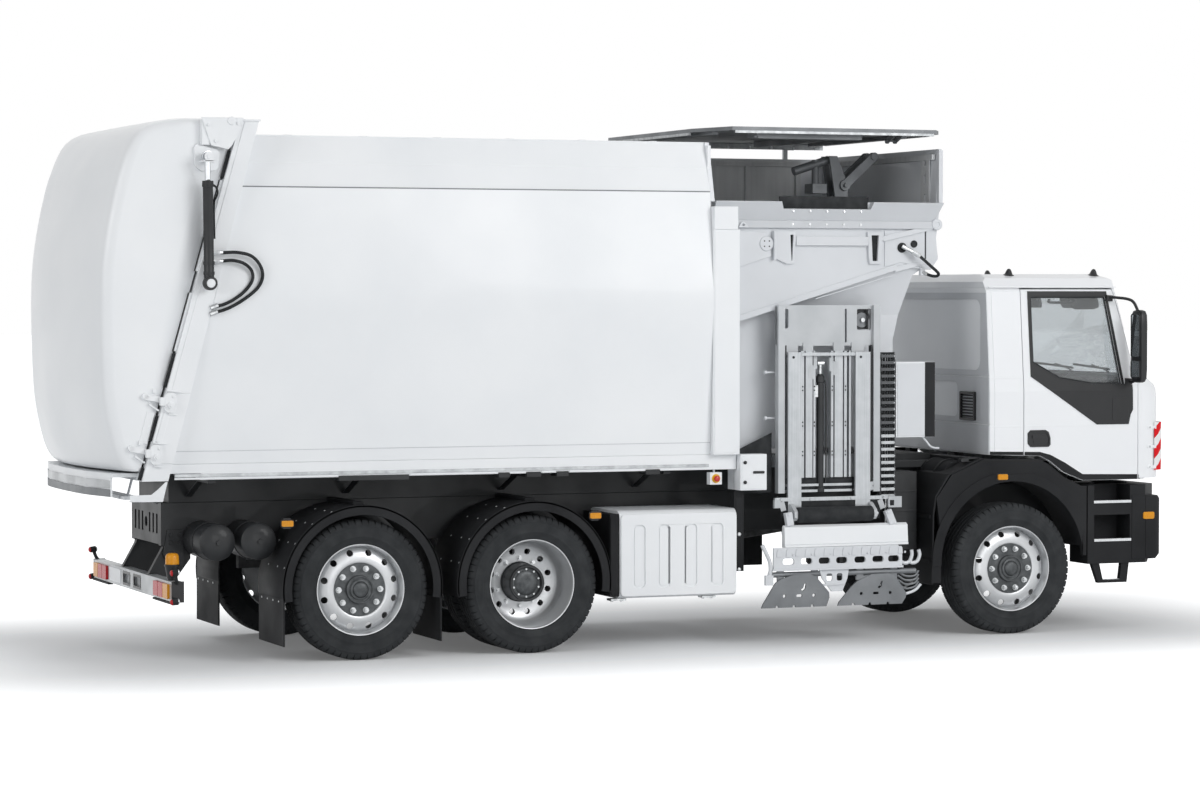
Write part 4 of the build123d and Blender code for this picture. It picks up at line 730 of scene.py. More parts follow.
def addRim(bm, centre, side, curve, ringBounds, hole, barrelEnd):
    # flange, barrel and disc as one closed section, with the ring of holes let into it
    outer = ringBounds[0]
    back = 0.011
    count = rim["around"]
    foot = curve[0][0]
    steps = [foot + (outer - foot) * n / 8 for n in range(9)]
    front = [(side * barrelEnd, 0.3495), (side * 0.095, 0.3495)] + [(side * t, r) for t, r in rim["lip"]]
    front += [(side * 0.112, 0.3325), (side * (curve[0][1] + 0.012), foot + 0.004)]
    front += [(side * curveAt(curve, r), r) for r in steps]
    addTurned(bm, front, centre, (0, 1, 0), count, 1)
    rear = [(side * (curveAt(curve, r) - back), r) for r in reversed(steps)]
    rear += [(side * barrelEnd, foot), (side * barrelEnd, 0.3495)]
    addTurned(bm, rear, centre, (0, 1, 0), count, 1)
    addHoledRing(bm, centre, side, curve, ringBounds, hole, back, 1)


def addSingleWheel(bm, centre, side, hubIn):
    # convex disc with a sunken ring of nuts and a stepped hub
    curve = [(0.324, 0.06), (0.312, 0.078), (0.3, 0.09), (0.28, 0.1), (0.25, 0.108), (0.225, 0.11),
             (0.209, 0.109)]
    addTyre(bm, centre, side)
    addRim(bm, centre, side, curve, (0.318, 0.256), (0.287, 0.0255), -0.104)
    count = rim["around"]
    start = [(side * curveAt(curve, r), r) for r in (0.256, 0.24, 0.225, 0.213)]
    addTurned(bm, start + [(side * 0.107, 0.207), (side * 0.101, 0.2045)], centre, (0, 1, 0), count, 1)
    back = [(side * (curveAt(curve, 0.256) - 0.011), 0.256), (side * 0.088, 0.2), (side * 0.088, 0.1)]
    addTurned(bm, back, centre, (0, 1, 0), count, 1)
    hub = [(0.101, 0.2045), (0.1005, 0.13), (0.103, 0.112), (0.112, 0.11), (0.124, 0.108), (0.1275, 0.104),
           (0.1275, 0.096), (0.12, 0.092), (0.119, 0.082), (0.1285, 0.079), (0.1315, 0.074),
           (0.1315, 0.064), (0.127, 0.06), (0.136, 0.057), (0.143, 0.05), (0.147, 0.033), (0.148, 0.0)]
    addTurned(bm, [(side * t, r) for t, r in hub], centre, (0, 1, 0), count, 2)
    inner = [(0.088, 0.1), (hubIn, 0.112), (hubIn, 0.0)]
    addTurned(bm, [(side * t, r) for t, r in inner], centre, (0, 1, 0), count, 2)
    for n in range(rim["nuts"]):
        turn = 2 * pi * n / rim["nuts"]
        at = Vector((centre[0] + 0.166 * cos(turn), centre[1] + side * 0.1, centre[2] + 0.166 * sin(turn)))
        out = Vector((0, side, 0))
        addRound(bm, at, at + out * 0.006, 0.0235, 14, 3)
        addRound(bm, at + out * 0.005, at + out * 0.03, 0.0185, 6, 3)
        addRound(bm, at + out * 0.028, at + out * 0.04, 0.0095, 8, 3)


def addDishedWheel(bm, centre, side, hubOut, drum):
    # deep dish whose disc lies behind the tyre's middle, round a wide black hub
    curve = [(0.326, -0.085), (0.318, -0.104), (0.304, -0.122), (0.282, -0.136), (0.25, -0.146),
             (0.215, -0.152), (0.15, -0.154)]
    addTyre(bm, centre, side)
    addRim(bm, centre, side, curve, (0.285, 0.205), (0.243, 0.024), -0.166)
    count = rim["around"]
    face = [(side * curveAt(curve, r), r) for r in (0.205, 0.18, 0.15)]
    addTurned(bm, face, centre, (0, 1, 0), count, 1)
    hub = [(-0.154, 0.158), (-0.14, 0.158), (-0.132, 0.15), (hubOut - 0.022, 0.146),
           (hubOut - 0.006, 0.144), (hubOut, 0.139), (hubOut, 0.124), (hubOut - 0.006, 0.119),
           (hubOut - 0.03, 0.117), (hubOut - 0.03, 0.098), (hubOut - 0.022, 0.09), (hubOut - 0.016, 0.05),
           (hubOut - 0.015, 0.0)]
    addTurned(bm, [(side * t, r) for t, r in hub[:9]], centre, (0, 1, 0), count, 4)
    addTurned(bm, [(side * t, r) for t, r in hub[8:]], centre, (0, 1, 0), count, 2)
    for n in range(rim["nuts"]):
        turn = 2 * pi * (n + 0.5) / rim["nuts"]
        at = Vector((centre[0] + 0.187 * cos(turn), centre[1] - side * 0.154,
                     centre[2] + 0.187 * sin(turn)))
        out = Vector((0, side, 0))
        addRound(bm, at, at + out * 0.007, 0.0195, 14, 3)
        addRound(bm, at + out * 0.006, at + out * 0.03, 0.015, 6, 3)
        if drum:
            continue
        at = Vector((centre[0] + 0.1075 * cos(turn), centre[1] + side * (hubOut - 0.03),
                     centre[2] + 0.1075 * sin(turn)))
        addRound(bm, at, at + out * 0.009, 0.0085, 6, 3)


def makeWheels():
    radius = tyre["radius"]
    tag, drive, front = -2.4455, -1.0505, 3.1495
    for side, word, node in ((-1, "Right", "right"), (1, "Left", "left")):
        outerY, innerY = side * 1.0425, side * 0.7025
        for name, body, x, hubIn in (("frontWheel", "front_wheel_", front, 0.0),
                                     ("tagWheel", "tag_wheel_", tag, -0.149)):
            bm = bmesh.new()
            addSingleWheel(bm, (x, outerY, radius), side, hubIn)
            makePiece(name + word, bm, ["tyreRubber", "wheelSilver", "hubIron", "zincPlate"], body + node,
                      "wheel_and_tyre", replaces=[body + node], smooth=38)
        bm = bmesh.new()
        addDishedWheel(bm, (drive, outerY, radius), side, 0.0275, False)
        addDishedWheel(bm, (drive, innerY, radius), -side, 0.1, True)
        makePiece("driveWheels" + word, bm, ["tyreRubber", "wheelSilver", "hubIron", "zincPlate",
                                             "chassisLacquer"], "drive_wheels_" + node, "wheel_and_tyre",
                  replaces=["drive_wheels_" + node], smooth=38)


makeWheels()
print("wheels made")


# tailgate, its hinge plates, latches, seals and hoses
gate = {
    "halfWidth": 1.2, "crown": 0.173, "corner": 0.075, "skin": 0.035,
    "foot": (-4.1675, 1.39), "lean": 0.2838,
    # near corner of the shell from the top front edge round the back to the foot
    "outline": [(-3.418, 4.097), (-3.64, 4.098), (-3.86, 4.096), (-4.04, 4.066), (-4.172, 3.984),
                (-4.252, 3.83), (-4.3095, 3.632), (-4.362, 3.41), (-4.4015, 3.189), (-4.427, 2.965),
                (-4.4345, 2.746), (-4.4345, 2.56), (-4.43, 2.3), (-4.4145, 2.008), (-4.382, 1.8),
                (-4.334, 1.61), (-4.282, 1.512), (-4.225, 1.475), (-4.166, 1.474)],
}


def gateLine(z):
    return gate["foot"][0] + (z - gate["foot"][1]) * gate["lean"]


def gateBow(y):
    half, crown = gate["halfWidth"], gate["crown"]
    radius = (half * half + crown * crown) / (2 * crown)
    return sqrt(radius * radius - y * y) - (radius - crown)


def makeTailgateShell():
    outline = curvedLine([(x, 0, z) for x, z in gate["outline"]], 3)
    corner, half = gate["corner"], gate["halfWidth"]
    count = len(outline)
    inward = []
    for n, point in enumerate(outline):
        run = outline[min(n + 1, count - 1)] - outline[max(n - 1, 0)]
        inward.append(Vector((-run.z, 0, run.x)).normalized())
    inward = [v if v.dot(Vector((-3.9, 0, 2.7)) - p) > 0 else -v for v, p in zip(inward, outline)]
    low, high = outline[-1], outline[0]
    bm = bmesh.new()
    grid = []
    flats = 12
    rounds = [n / 6 for n in range(7)]
    for n, point in enumerate(outline):
        share = n / (count - 1)
        # the corner shrinks to nothing where the shell meets its front edge
        size = corner * min(1, 8 * share, 8 * (1 - share))
        front = Vector((high.x + (low.x - high.x) * share, 0, high.z + (low.z - high.z) * share))
        row = []
        for part in (0.0, 0.25, 0.5, 0.75):
            edge = point + inward[n] * size
            place = front.lerp(edge, part)
            row.append((place.x, -half, place.z))
        # the roof end stays straight; the bow grows down the rear face
        swell = min(1.0, max(0.0, (4.097 - point.z) / 0.42)) ** 0.8
        bowed = gateBow(half - size) * swell
        for part in rounds:
            turn = pi / 2 * (1 - part)
            place = point + inward[n] * size * (1 - cos(turn)) + Vector((-bowed, 0, 0)) * cos(turn) ** 2
            row.append((place.x, -(half - size) - size * sin(turn), place.z))
        for m in range(1, flats + 1):
            y = -(half - size) * (1 - m / flats)
            row.append((point.x - gateBow(y) * swell, y, point.z))
        row += [(x, -y, z) for x, y, z in reversed(row[:-1])]
        grid.append([bm.verts.new(p) for p in row])
    for near, far in zip(grid, grid[1:]):
        for n in range(len(near) - 1):
            bm.faces.new((near[n], near[n + 1], far[n + 1], far[n]))
    bmesh.ops.remove_doubles(bm, verts=bm.verts, dist=0.0004)
    bmesh.ops.dissolve_degenerate(bm, edges=bm.edges, dist=0.0002)
    shell = makePiece("tailgateShell", bm, "coachEnamel", "tailgate", smooth=50,
                      replaces=["tailgate_skin", "tailgate_cheeks"])
    skin = shell.modifiers.new("skin", "SOLIDIFY")
    skin.thickness, skin.offset, skin.use_rim = gate["skin"], -1.0, True


def makeHingePlates():
    cheekOut, cheekIn = -1.372, -1.226
    eyeAlong, eyeUp = -3.6755, 3.81
    bm = bmesh.new()
    plate = [(-3.706, 4.104), (-3.382, 4.104), (-3.404, 4.03), (-3.47, 3.9), (-3.5, 3.868), (-3.632, 3.896)]
    lug = [(-3.752, 3.88), (-3.735, 3.905), (-3.58, 3.87), (-3.56, 3.85), (-3.566, 3.736), (-3.585, 3.712),
           (-3.7, 3.708), (-3.742, 3.735)]
    addSlab(bm, plate, [], lambda a, b, d: (a, -1.256 - d, b), 0.014)
    addBlock(bm, (-3.7, -1.258, 3.9), (-3.64, -1.198, 4.09))
    addSlab(bm, lug, [], lambda a, b, d: (a, -1.199 - d, b), 0.03)
    # clevis cheeks either side of the rod's eye
    for y in (cheekOut, -1.29):
        eye = [(eyeAlong + 0.036 * cos(radians(t)), eyeUp + 0.036 * sin(radians(t)))
               for t in range(-60, 241, 20)]
        addSlab(bm, [(-3.712, 3.775), (-3.639, 3.775)] + eye[1:-1], [], lambda a, b, d: (a, y + d, b),
                0.012)
    addBlock(bm, (-3.716, cheekOut, 3.77), (-3.635, cheekIn, 3.782))
    addRound(bm, (eyeAlong, -1.38, eyeUp), (eyeAlong, cheekIn, eyeUp), 0.017, 18)
    addTurned(bm, [(0, 0), (0, 0.033), (0.012, 0.03), (0.014, 0)], (-3.4755, -1.268, 4.08), (0, -1, 0), 24)
    for x, z in ((-3.655, 4.05), (-3.6, 3.93), (-3.425, 4.06)):
        addBolt(bm, (x, -1.269, z), (0, -1, 0), 0.022, 0.012)
    mirrored(bm)
    makePiece("tailgateHingePlates", bm, "coachEnamel", "tailgate", bevel=2)


def makeLatches():
    # wedge tongues on the gate, clamps with a forked jaw and a bolt on the posts
    # how far out the tongues, the jaws and their straps stand
    tongueOut, tongueIn, jawOut, strapOut = -1.232, -1.198, -1.249, -1.262
    tongues, clamps = bmesh.new(), bmesh.new()
    for z in (1.985, 1.6):
        x = gateLine(z) - 0.009
        turn = Matrix.Rotation(radians(11), 3, "Y")
        addBlock(tongues, (x - 0.13, tongueOut, z + 0.01), (x - 0.012, tongueIn, z + 0.054), 0, turn)
        addRound(tongues, (x - 0.122, tongueOut, z + 0.048), (x - 0.122, tongueIn, z + 0.048), 0.024, 18)
        addBar(tongues, (x - 0.095, -1.215, z - 0.01), (x - 0.02, -1.215, z - 0.062), 0.03, 0.014)
        addBlock(tongues, (x - 0.064, -1.222, z + 0.07), (x - 0.036, tongueIn, z + 0.105))
        jaw = roundedLoop((x + 0.012, z - 0.075), (x + 0.096, z + 0.075), 0.03)
        addSlab(clamps, jaw, [], lambda a, b, d: (a, jawOut - d, b), 0.034)
        addBlock(clamps, (x - 0.022, -1.279, z - 0.022), (x + 0.03, -1.24, z + 0.04))
        addRound(clamps, (x + 0.055, jawOut, z - 0.02), (x + 0.055, -1.305, z - 0.02), 0.026)
        addRound(clamps, (x + 0.055, -1.3, z - 0.02), (x + 0.055, -1.318, z - 0.02), 0.015, 6)
        addBar(clamps, (x + 0.03, strapOut, z + 0.088), (x + 0.135, strapOut, z + 0.078), 0.026, 0.01)
        addBar(clamps, (x + 0.04, strapOut, z - 0.082), (x + 0.105, strapOut, z - 0.094), 0.026, 0.01)
        addBolt(clamps, (x + 0.075, -1.282, z + 0.045), (0, -1, 0), 0.02, 0.012)
    # strips between the two latches, one on the posts and one on the gate
    z0, z1 = 1.69, 1.905
    addBar(clamps, (gateLine(z0) + 0.045, -1.254, z0), (gateLine(z1) + 0.045, -1.254, z1), 0.01, 0.046)
    addBar(tongues, (gateLine(z0) - 0.062, -1.202, z0 - 0.01), (gateLine(z1) - 0.062, -1.202, z1 + 0.01),
           0.008, 0.062)
    mirrored(tongues)
    mirrored(clamps)
    makePiece("tailgateLatchTongues", tongues, "coachEnamel", "tailgate", bevel=3)
    makePiece("tailgateLatchClamps", clamps, "coachEnamel", bevel=3)


def makeGateSeals():
    # bulb seal showing in the gap, and the white strips that cover it elsewhere
    half = 1.16
    rubber, strips = bmesh.new(), bmesh.new()
    for z0, z1 in ((3.655, 3.862), (2.098, 2.35), (1.7, 1.885), (1.408, 1.5)):
        addBar(rubber, (gateLine(z0) - 0.01, -1.203, z0), (gateLine(z1) - 0.01, -1.203, z1), 0.04, 0.022)
    for z0, z1 in ((2.365, 2.8), (2.96, 3.64)):
        addBar(strips, (gateLine(z0) - 0.01, -1.214, z0), (gateLine(z1) - 0.01, -1.214, z1), 0.012, 0.018)
        addBar(rubber, (gateLine(z0) - 0.026, -1.201, z0), (gateLine(z1) - 0.026, -1.201, z1), 0.006, 0.006)
    mirrored(rubber)
    mirrored(strips)
    makePiece("tailgateSeal", rubber, "softRubber", bevel=1)
    makePiece("tailgateSealCovers", strips, "coachEnamel", bevel=1)
    lip = bmesh.new()
    # continuous seal all round the discharge mouth, on the gate's edge
    for y0, y1, z in ((-half, half, 4.04), (-half, half, 1.52)):
        addBar(lip, (gateLine(z) - 0.012, y0, z), (gateLine(z) - 0.012, y1, z), 0.03, 0.02, side=(0, 0, 1))
    makePiece("tailgateMouthSeal", lip, "softRubber", bevel=2)


def makeGateHoses():
    # the cylinder's pin, and how far out the hoses lie along the side
    pinAlong, pinOut, pinUp, flatOut = -3.6655, 1.318, 2.87, -1.264
    hoses, fittings = bmesh.new(), bmesh.new()
    loops = [[(-3.64, -pinOut, 3.1), (-3.56, -1.305, 3.098), (-3.44, -1.29, 3.1), (-3.33, -1.275, 3.075),
              (-3.262, -1.268, 3.01), (-3.238, flatOut, 2.925), (-3.275, flatOut, 2.838),
              (-3.38, flatOut, 2.752), (-3.5, flatOut, 2.686), (-3.612, -1.262, 2.65)],
             [(-3.64, -pinOut, 3.035), (-3.56, -1.3, 3.036), (-3.47, -1.285, 3.04), (-3.385, -1.275, 3.018),
              (-3.325, -1.268, 2.965), (-3.318, flatOut, 2.895), (-3.37, flatOut, 2.818),
              (-3.45, flatOut, 2.756), (-3.53, flatOut, 2.716), (-3.606, -1.262, 2.696)],
             [(-3.636, -pinOut, 3.6), (-3.612, -pinOut, 3.585), (-3.598, -1.316, 3.55),
              (-3.606, -1.316, 3.515), (-3.622, -1.312, 3.48), (-3.624, -1.306, 3.4), (-3.62, -1.304, 3.2)],
             ]
    for number, loop in enumerate(loops):
        addPipe(hoses, curvedLine(loop, 6), 0.0125 if number < 2 else 0.008, 12)
    for z in (3.1, 3.035):
        addRound(fittings, (-3.645, -pinOut, z), (-3.585, -1.308, z), 0.019, 6)
        addRound(fittings, (-3.59, -1.309, z), (-3.56, -1.304, z), 0.0165, 16)
    for x, z in ((-3.6, 2.655), (-3.596, 2.701)):
        addRound(fittings, (x - 0.045, -1.262, z - 0.014), (x + 0.012, -1.262, z + 0.004), 0.018, 12)
    mirrored(hoses)
    mirrored(fittings)
    makePiece("tailgateHoses", hoses, "softRubber")
    makePiece("tailgateHoseFittings", fittings, "zincPlate", slot="cylinder_black", bevel=1)
    for side, body in ((-1, "gate_cylinder_right"), (1, "gate_cylinder_left")):
        pins = bmesh.new()
        place = (pinAlong, side * pinOut, pinUp)
        out = (0, side, 0)
        addTurned(pins, [(0.0, 0.0), (0.0, 0.052), (0.048, 0.052), (0.054, 0.047), (0.054, 0.034),
                         (0.048, 0.032)], place, out, 32, 1)
        addTurned(pins, [(0.046, 0.033), (0.06, 0.033), (0.064, 0.028), (0.064, 0.0)], place, out)
        for z, radius in ((2.945, 0.0425), (3.02, 0.0435), (3.6, 0.0435)):
            addTurned(pins, [(-0.012, 0.036), (-0.012, radius), (0.012, radius), (0.012, 0.036)],
                      (pinAlong - (z - pinUp) * 0.0106, side * pinOut, z), (0, 0, 1), 28, 1)
        makePiece("gateCylinderPin" + ("Right" if side < 0 else "Left"), pins,
                  ["coachEnamel", "chassisLacquer"], body, "cylinder_black", bevel=1)


makeTailgateShell()
makeHingePlates()
makeLatches()
makeGateSeals()
makeGateHoses()
print("tailgate made")


# hopper side, tray, interior and lid
hopper = {
    # folded tray along the sill: distance from the centre line, height
    "tray": [(1.112, 3.531), (1.192, 3.527), (1.14, 3.38), (1.158, 3.374), (1.158, 3.316), (1.112, 3.308)],
    "trayEnds": (0.5, 2.519),
}


def addSidePlate(bm, outline, holes, y, thickness):
    # plate facing sideways, from (x, z) corners; it grows outwards from y
    grow = -1 if y < 0 else 1
    addSlab(bm, outline, holes, lambda a, b, d: (a, y + grow * d, b), thickness)


def makeHopperTray():
    bm = bmesh.new()
    start, end = hopper["trayEnds"]
    # the sill drops where the rubber flap stands
    stations = [(start, 0), (1.072, 0), (1.094, 0.058), (1.864, 0.058), (1.886, 0), (end, 0)]
    rings = []
    for x, drop in stations:
        ring = []
        for y, z in hopper["tray"]:
            fall = drop if z > 3.5 else 0
            lean = fall * 0.35 if y > 1.15 else 0
            back = (3.53 - z) * 0.42 if x == end else 0
            ring.append(bm.verts.new((x - back, -(y - lean), z - fall)))
        rings.append(ring)
    addLoft(bm, rings)
    # the tray takes the greyer enamel as painted shade
    makePiece("hopperTray", bm, "dullEnamel", bevel=3)
    flap = bmesh.new()
    outline = roundedLoop((1.086, 3.455), (1.874, 3.572), 0.01)
    addSidePlate(flap, outline, [], -1.098, 0.014)
    makePiece("hopperTrayFlap", flap, "softRubber", bevel=2)
    screws = bmesh.new()
    for n in range(5):
        addBolt(screws, (1.18 + 0.15 * n, -1.166, 3.452), (0, -1, 0.3), 0.014, 0.006)
        addBolt(screws, (1.18 + 0.15 * n, -1.158, 3.345), (0, -1, 0), 0.014, 0.006)
    makePiece("hopperTrayScrews", screws, "zincPlate", slot="white_paint")


def makeHopperSide():
    # how far out each layer stands on the hopper's side
    plateFace, sheetFace, bossFace, rodFace = -1.122, -1.123, -1.13, -1.131
    skirt, trim, dark, metal = (bmesh.new() for n in range(4))
    # outer skin above the leaning rail, and the rail itself along its foot
    skin = [(0.686, 3.315), (2.47, 3.315), (2.495, 3.075), (2.43, 2.985), (2.11, 3.01), (0.76, 2.61),
            (0.686, 2.588)]
    addSidePlate(skirt, skin, [], -1.119, 0.005)
    addBar(trim, (0.69, rodFace, 2.585), (2.12, rodFace, 3.008), 0.014, 0.046)
    addBar(trim, (2.1, bossFace, 2.985), (2.44, bossFace, 3.068), 0.012, 0.04)
    addBar(trim, (1.4, -1.124, 2.752), (2.1, -1.124, 2.945), 0.01, 0.008)
    plate = [(0.69, 3.296), (0.96, 3.27), (1.0, 3.092), (0.75, 3.012), (0.69, 2.996)]
    addSidePlate(trim, plate, [], plateFace, 0.024)
    # dark sheet under the hopper's side, between the post and the mast: painted shade
    addSidePlate(dark, [(0.684, 1.545), (0.735, 1.56), (1.012, 1.684), (1.012, 1.205), (0.684, 1.205)], [],
                 sheetFace, 0.004)
    # bracket frames with a tapered slot; the dark sheet behind each slot is painted shade
    for x0, x1, slotLow, slotHigh in ((1.01, 1.215, 1.165, 1.193), (1.85, 1.985, 1.885, 1.95)):
        plateOutline = [(x0, 3.29), (x1, 3.29), (x1, 3.225), (x1 - 0.02, 3.03),
                        (x0 + 0.12 if x0 < 1.2 else x0 + 0.02, 3.03), (x0 + 0.01, 3.08)]
        slotOutline = [(slotLow, 3.262), (slotHigh, 3.262), (slotHigh - 0.012, 3.055),
                       (slotLow + 0.01, 3.055)]
        addSidePlate(trim, plateOutline, [slotOutline], plateFace, 0.026)
        addSidePlate(dark, [(slotLow - 0.01, 3.27), (slotHigh + 0.01, 3.27), (slotHigh + 0.01, 3.045),
                            (slotLow - 0.01, 3.045)], [], sheetFace, 0.004)
    addBlock(trim, (1.013, -1.172, 3.06), (1.03, plateFace, 3.29))
    addBlock(trim, (1.215, -1.156, 3.178), (1.85, plateFace, 3.25))
    addBar(trim, (1.985, -1.136, 3.232), (2.43, -1.136, 3.33), 0.028, 0.04)
    panel = [(2.01, 3.3), (2.372, 3.3), (2.372, 3.004), (2.15, 3.045), (2.01, 3.012)]
    addSidePlate(trim, panel, [], sheetFace, 0.008)
    corner = [(2.384, 3.318), (2.462, 3.318), (2.49, 3.09), (2.444, 3.06), (2.384, 3.06)]
    addSidePlate(trim, corner, [], sheetFace, 0.01)
    # a dark strip in the gap between the panel and the corner plate: painted shade
    addSidePlate(dark, [(2.373, 3.3), (2.383, 3.3), (2.383, 3.06), (2.373, 3.06)], [], sheetFace, 0.003)
    # round bosses
    addTurned(trim, [(0, 0), (0, 0.062), (0.022, 0.06), (0.026, 0.054), (0.026, 0.0)],
              (0.955, bossFace, 3.19), (0, -1, 0))
    for n in range(4):
        turn = pi / 4 + n * pi / 2
        addRound(dark, (0.955 + 0.03 * cos(turn), -1.155, 3.19 + 0.03 * sin(turn)),
                 (0.955 + 0.03 * cos(turn), -1.158, 3.19 + 0.03 * sin(turn)), 0.006, 10)
    addTurned(trim, [(0, 0), (0, 0.046), (0.034, 0.046), (0.038, 0.04), (0.038, 0.022), (0.03, 0.02),
                     (0.03, 0)], (2.468, bossFace, 3.352), (0, -1, 0), 28)
    # lifting eye over the front post and small hooks
    eye = [(0.7, 3.318), (0.72, 3.352), (0.742, 3.366), (0.764, 3.352), (0.79, 3.318)]
    addSidePlate(trim, eye, [[(0.742 + x, 3.338 + z) for x, z in circlePoints(0.01, 10)]], -1.165, 0.01)
    # white flanges round the loading mouth
    addBlock(trim, (2.5, -1.128, 3.52), (2.537, -1.088, 3.958))
    addBlock(trim, (2.512, -1.095, 3.942), (2.54, 1.095, 3.968))
    addBar(trim, (0.47, -1.178, 3.52), (0.47, -1.06, 3.988), 0.04, 0.016, side=(1, 0, 0))
    addBlock(trim, (0.452, -1.062, 3.972), (0.492, 1.062, 3.99))
    # hydraulic rod end with its hose
    addTurned(dark, [(0, 0), (0, 0.04), (0.01, 0.04), (0.014, 0.034), (0.014, 0.022), (0.006, 0.02),
                     (0.006, 0)], (2.164, rodFace, 3.164), (0, -1, 0), 28)
    addTurned(dark, [(0, 0), (0, 0.03), (0.012, 0.028), (0.012, 0)], (2.272, rodFace, 3.194), (0, -1, 0),
              24)
    addRound(metal, (2.15, -1.165, 3.176), (2.25, -1.195, 3.12), 0.017, 16)
    addRound(metal, (2.232, -1.19, 3.13), (2.292, -1.206, 3.096), 0.023, 6)
    hose = [(2.28, -1.203, 3.103), (2.33, -1.212, 3.06), (2.39, -1.216, 3.01), (2.44, -1.212, 2.972),
            (2.462, -1.2, 2.95), (2.452, -1.18, 2.934), (2.415, -1.16, 2.938), (2.37, -1.14, 2.956)]
    addPipe(dark, curvedLine(hose, 6), 0.0125, 12)
    addRound(metal, (2.385, -1.146, 2.95), (2.35, -1.126, 2.966), 0.019, 6)
    addBlock(trim, (2.33, -1.14, 2.94), (2.372, -1.106, 3.005))
    for piece, bm, finish, slotName in (("hopperOuterSkin", skirt, "hopperEnamel", "white_paint"),
                                        ("hopperTrim", trim, "hopperEnamel", "white_paint"),
                                        ("hopperPaintedShadeAndHose", dark, "softRubber", "moulded_black"),
                                        ("hopperRodEnd", metal, "zincPlate", "rod_chrome")):
        makePiece(piece, bm, finish, slot=slotName, bevel=2)


def makeHopperInterior():
    # upper edge of the frames and height of the linkage's upper pins; its elbow; the line of its ram
    upper, elbow, elbowUp, ramOut = 3.93, 2.03, 3.69, -0.26
    # scoured lining, guide plates and the pusher's linkage seen through the loading mouth
    lining, links = bmesh.new(), bmesh.new()
    # lining sheets just inside the walls, with pressed frames
    addBlock(lining, (0.488, -1.085, 1.6), (0.493, 1.085, 3.95))
    addBlock(lining, (0.5, 1.088, 3.06), (2.3, 1.093, 3.94))
    for z0, z1 in ((3.3, 3.325), (3.48, 3.5), (3.89, upper)):
        addBlock(lining, (0.52, 1.058, z0), (2.28, 1.089, z1))
    for x in (0.56, 1.16, 1.76, 2.24):
        addBlock(lining, (x, 1.062, 3.3), (x + 0.045, 1.089, upper))
    # slotted seam strip and ribs on the end wall
    strip = [(-0.975, 3.105), (-0.825, 3.105), (-0.825, upper), (-0.975, upper)]
    slots = [roundedLoop((-0.918, z), (-0.886, z + 0.085), 0.015, 3)
             for z in (3.2, 3.36, 3.52, 3.68, 3.835)]
    addSlab(lining, strip, slots, lambda a, b, d: (2.5 - d, a, b), 0.014)
    addBlock(lining, (2.47, -1.06, 3.88), (2.502, 1.06, 3.925))
    # chute plates that lean down towards the passage
    addBar(lining, (0.75, 0.45, 3.1), (2.1, 0.45, 3.1), 1.2, 0.012)
    addBar(lining, (1.55, 0.75, 3.3), (2.25, 0.75, 3.62), 0.55, 0.01)
    # cranked arms of the pusher with their pins, and its ram
    for y in (-0.34, -0.2):
        addBar(links, (2.3, y, upper), (elbow, y, elbowUp), 0.022, 0.075)
        crank = [(1.89, upper), (1.965, upper), (2.06, 3.7), (2.06, 3.56), (1.95, 3.56)]
        addSlab(links, crank, [], lambda a, b, d: (a, y + d, b), 0.02)
        addRound(links, (elbow, y - 0.02, elbowUp), (elbow, y + 0.04, elbowUp), 0.046, 18)
        addRound(links, (2.3, y - 0.02, upper), (2.3, y + 0.04, upper), 0.034, 18)
    addRound(links, (1.6, ramOut, 3.8), (1.92, ramOut, 3.9), 0.036, 18)
    addRound(links, (1.8, ramOut, 3.66), (1.8, ramOut, 3.9), 0.03, 16)
    addBlock(links, (1.74, -0.34, 3.62), (1.87, -0.18, 3.7))
    addRound(links, (elbow, -0.38, elbowUp), (elbow, -0.14, elbowUp), 0.018, 14)
    addBar(links, (1.6, ramOut, 3.1), (1.98, ramOut, 3.6), 0.05, 0.06)
    # the lining takes the scoured grey painted paler, as painted light
    makePiece("hopperLining", lining, "scouredGrey", slot="lid_steel", bevel=2)
    makePiece("hopperLinkage", links, "plateGrey", slot="lid_steel", bevel=2)


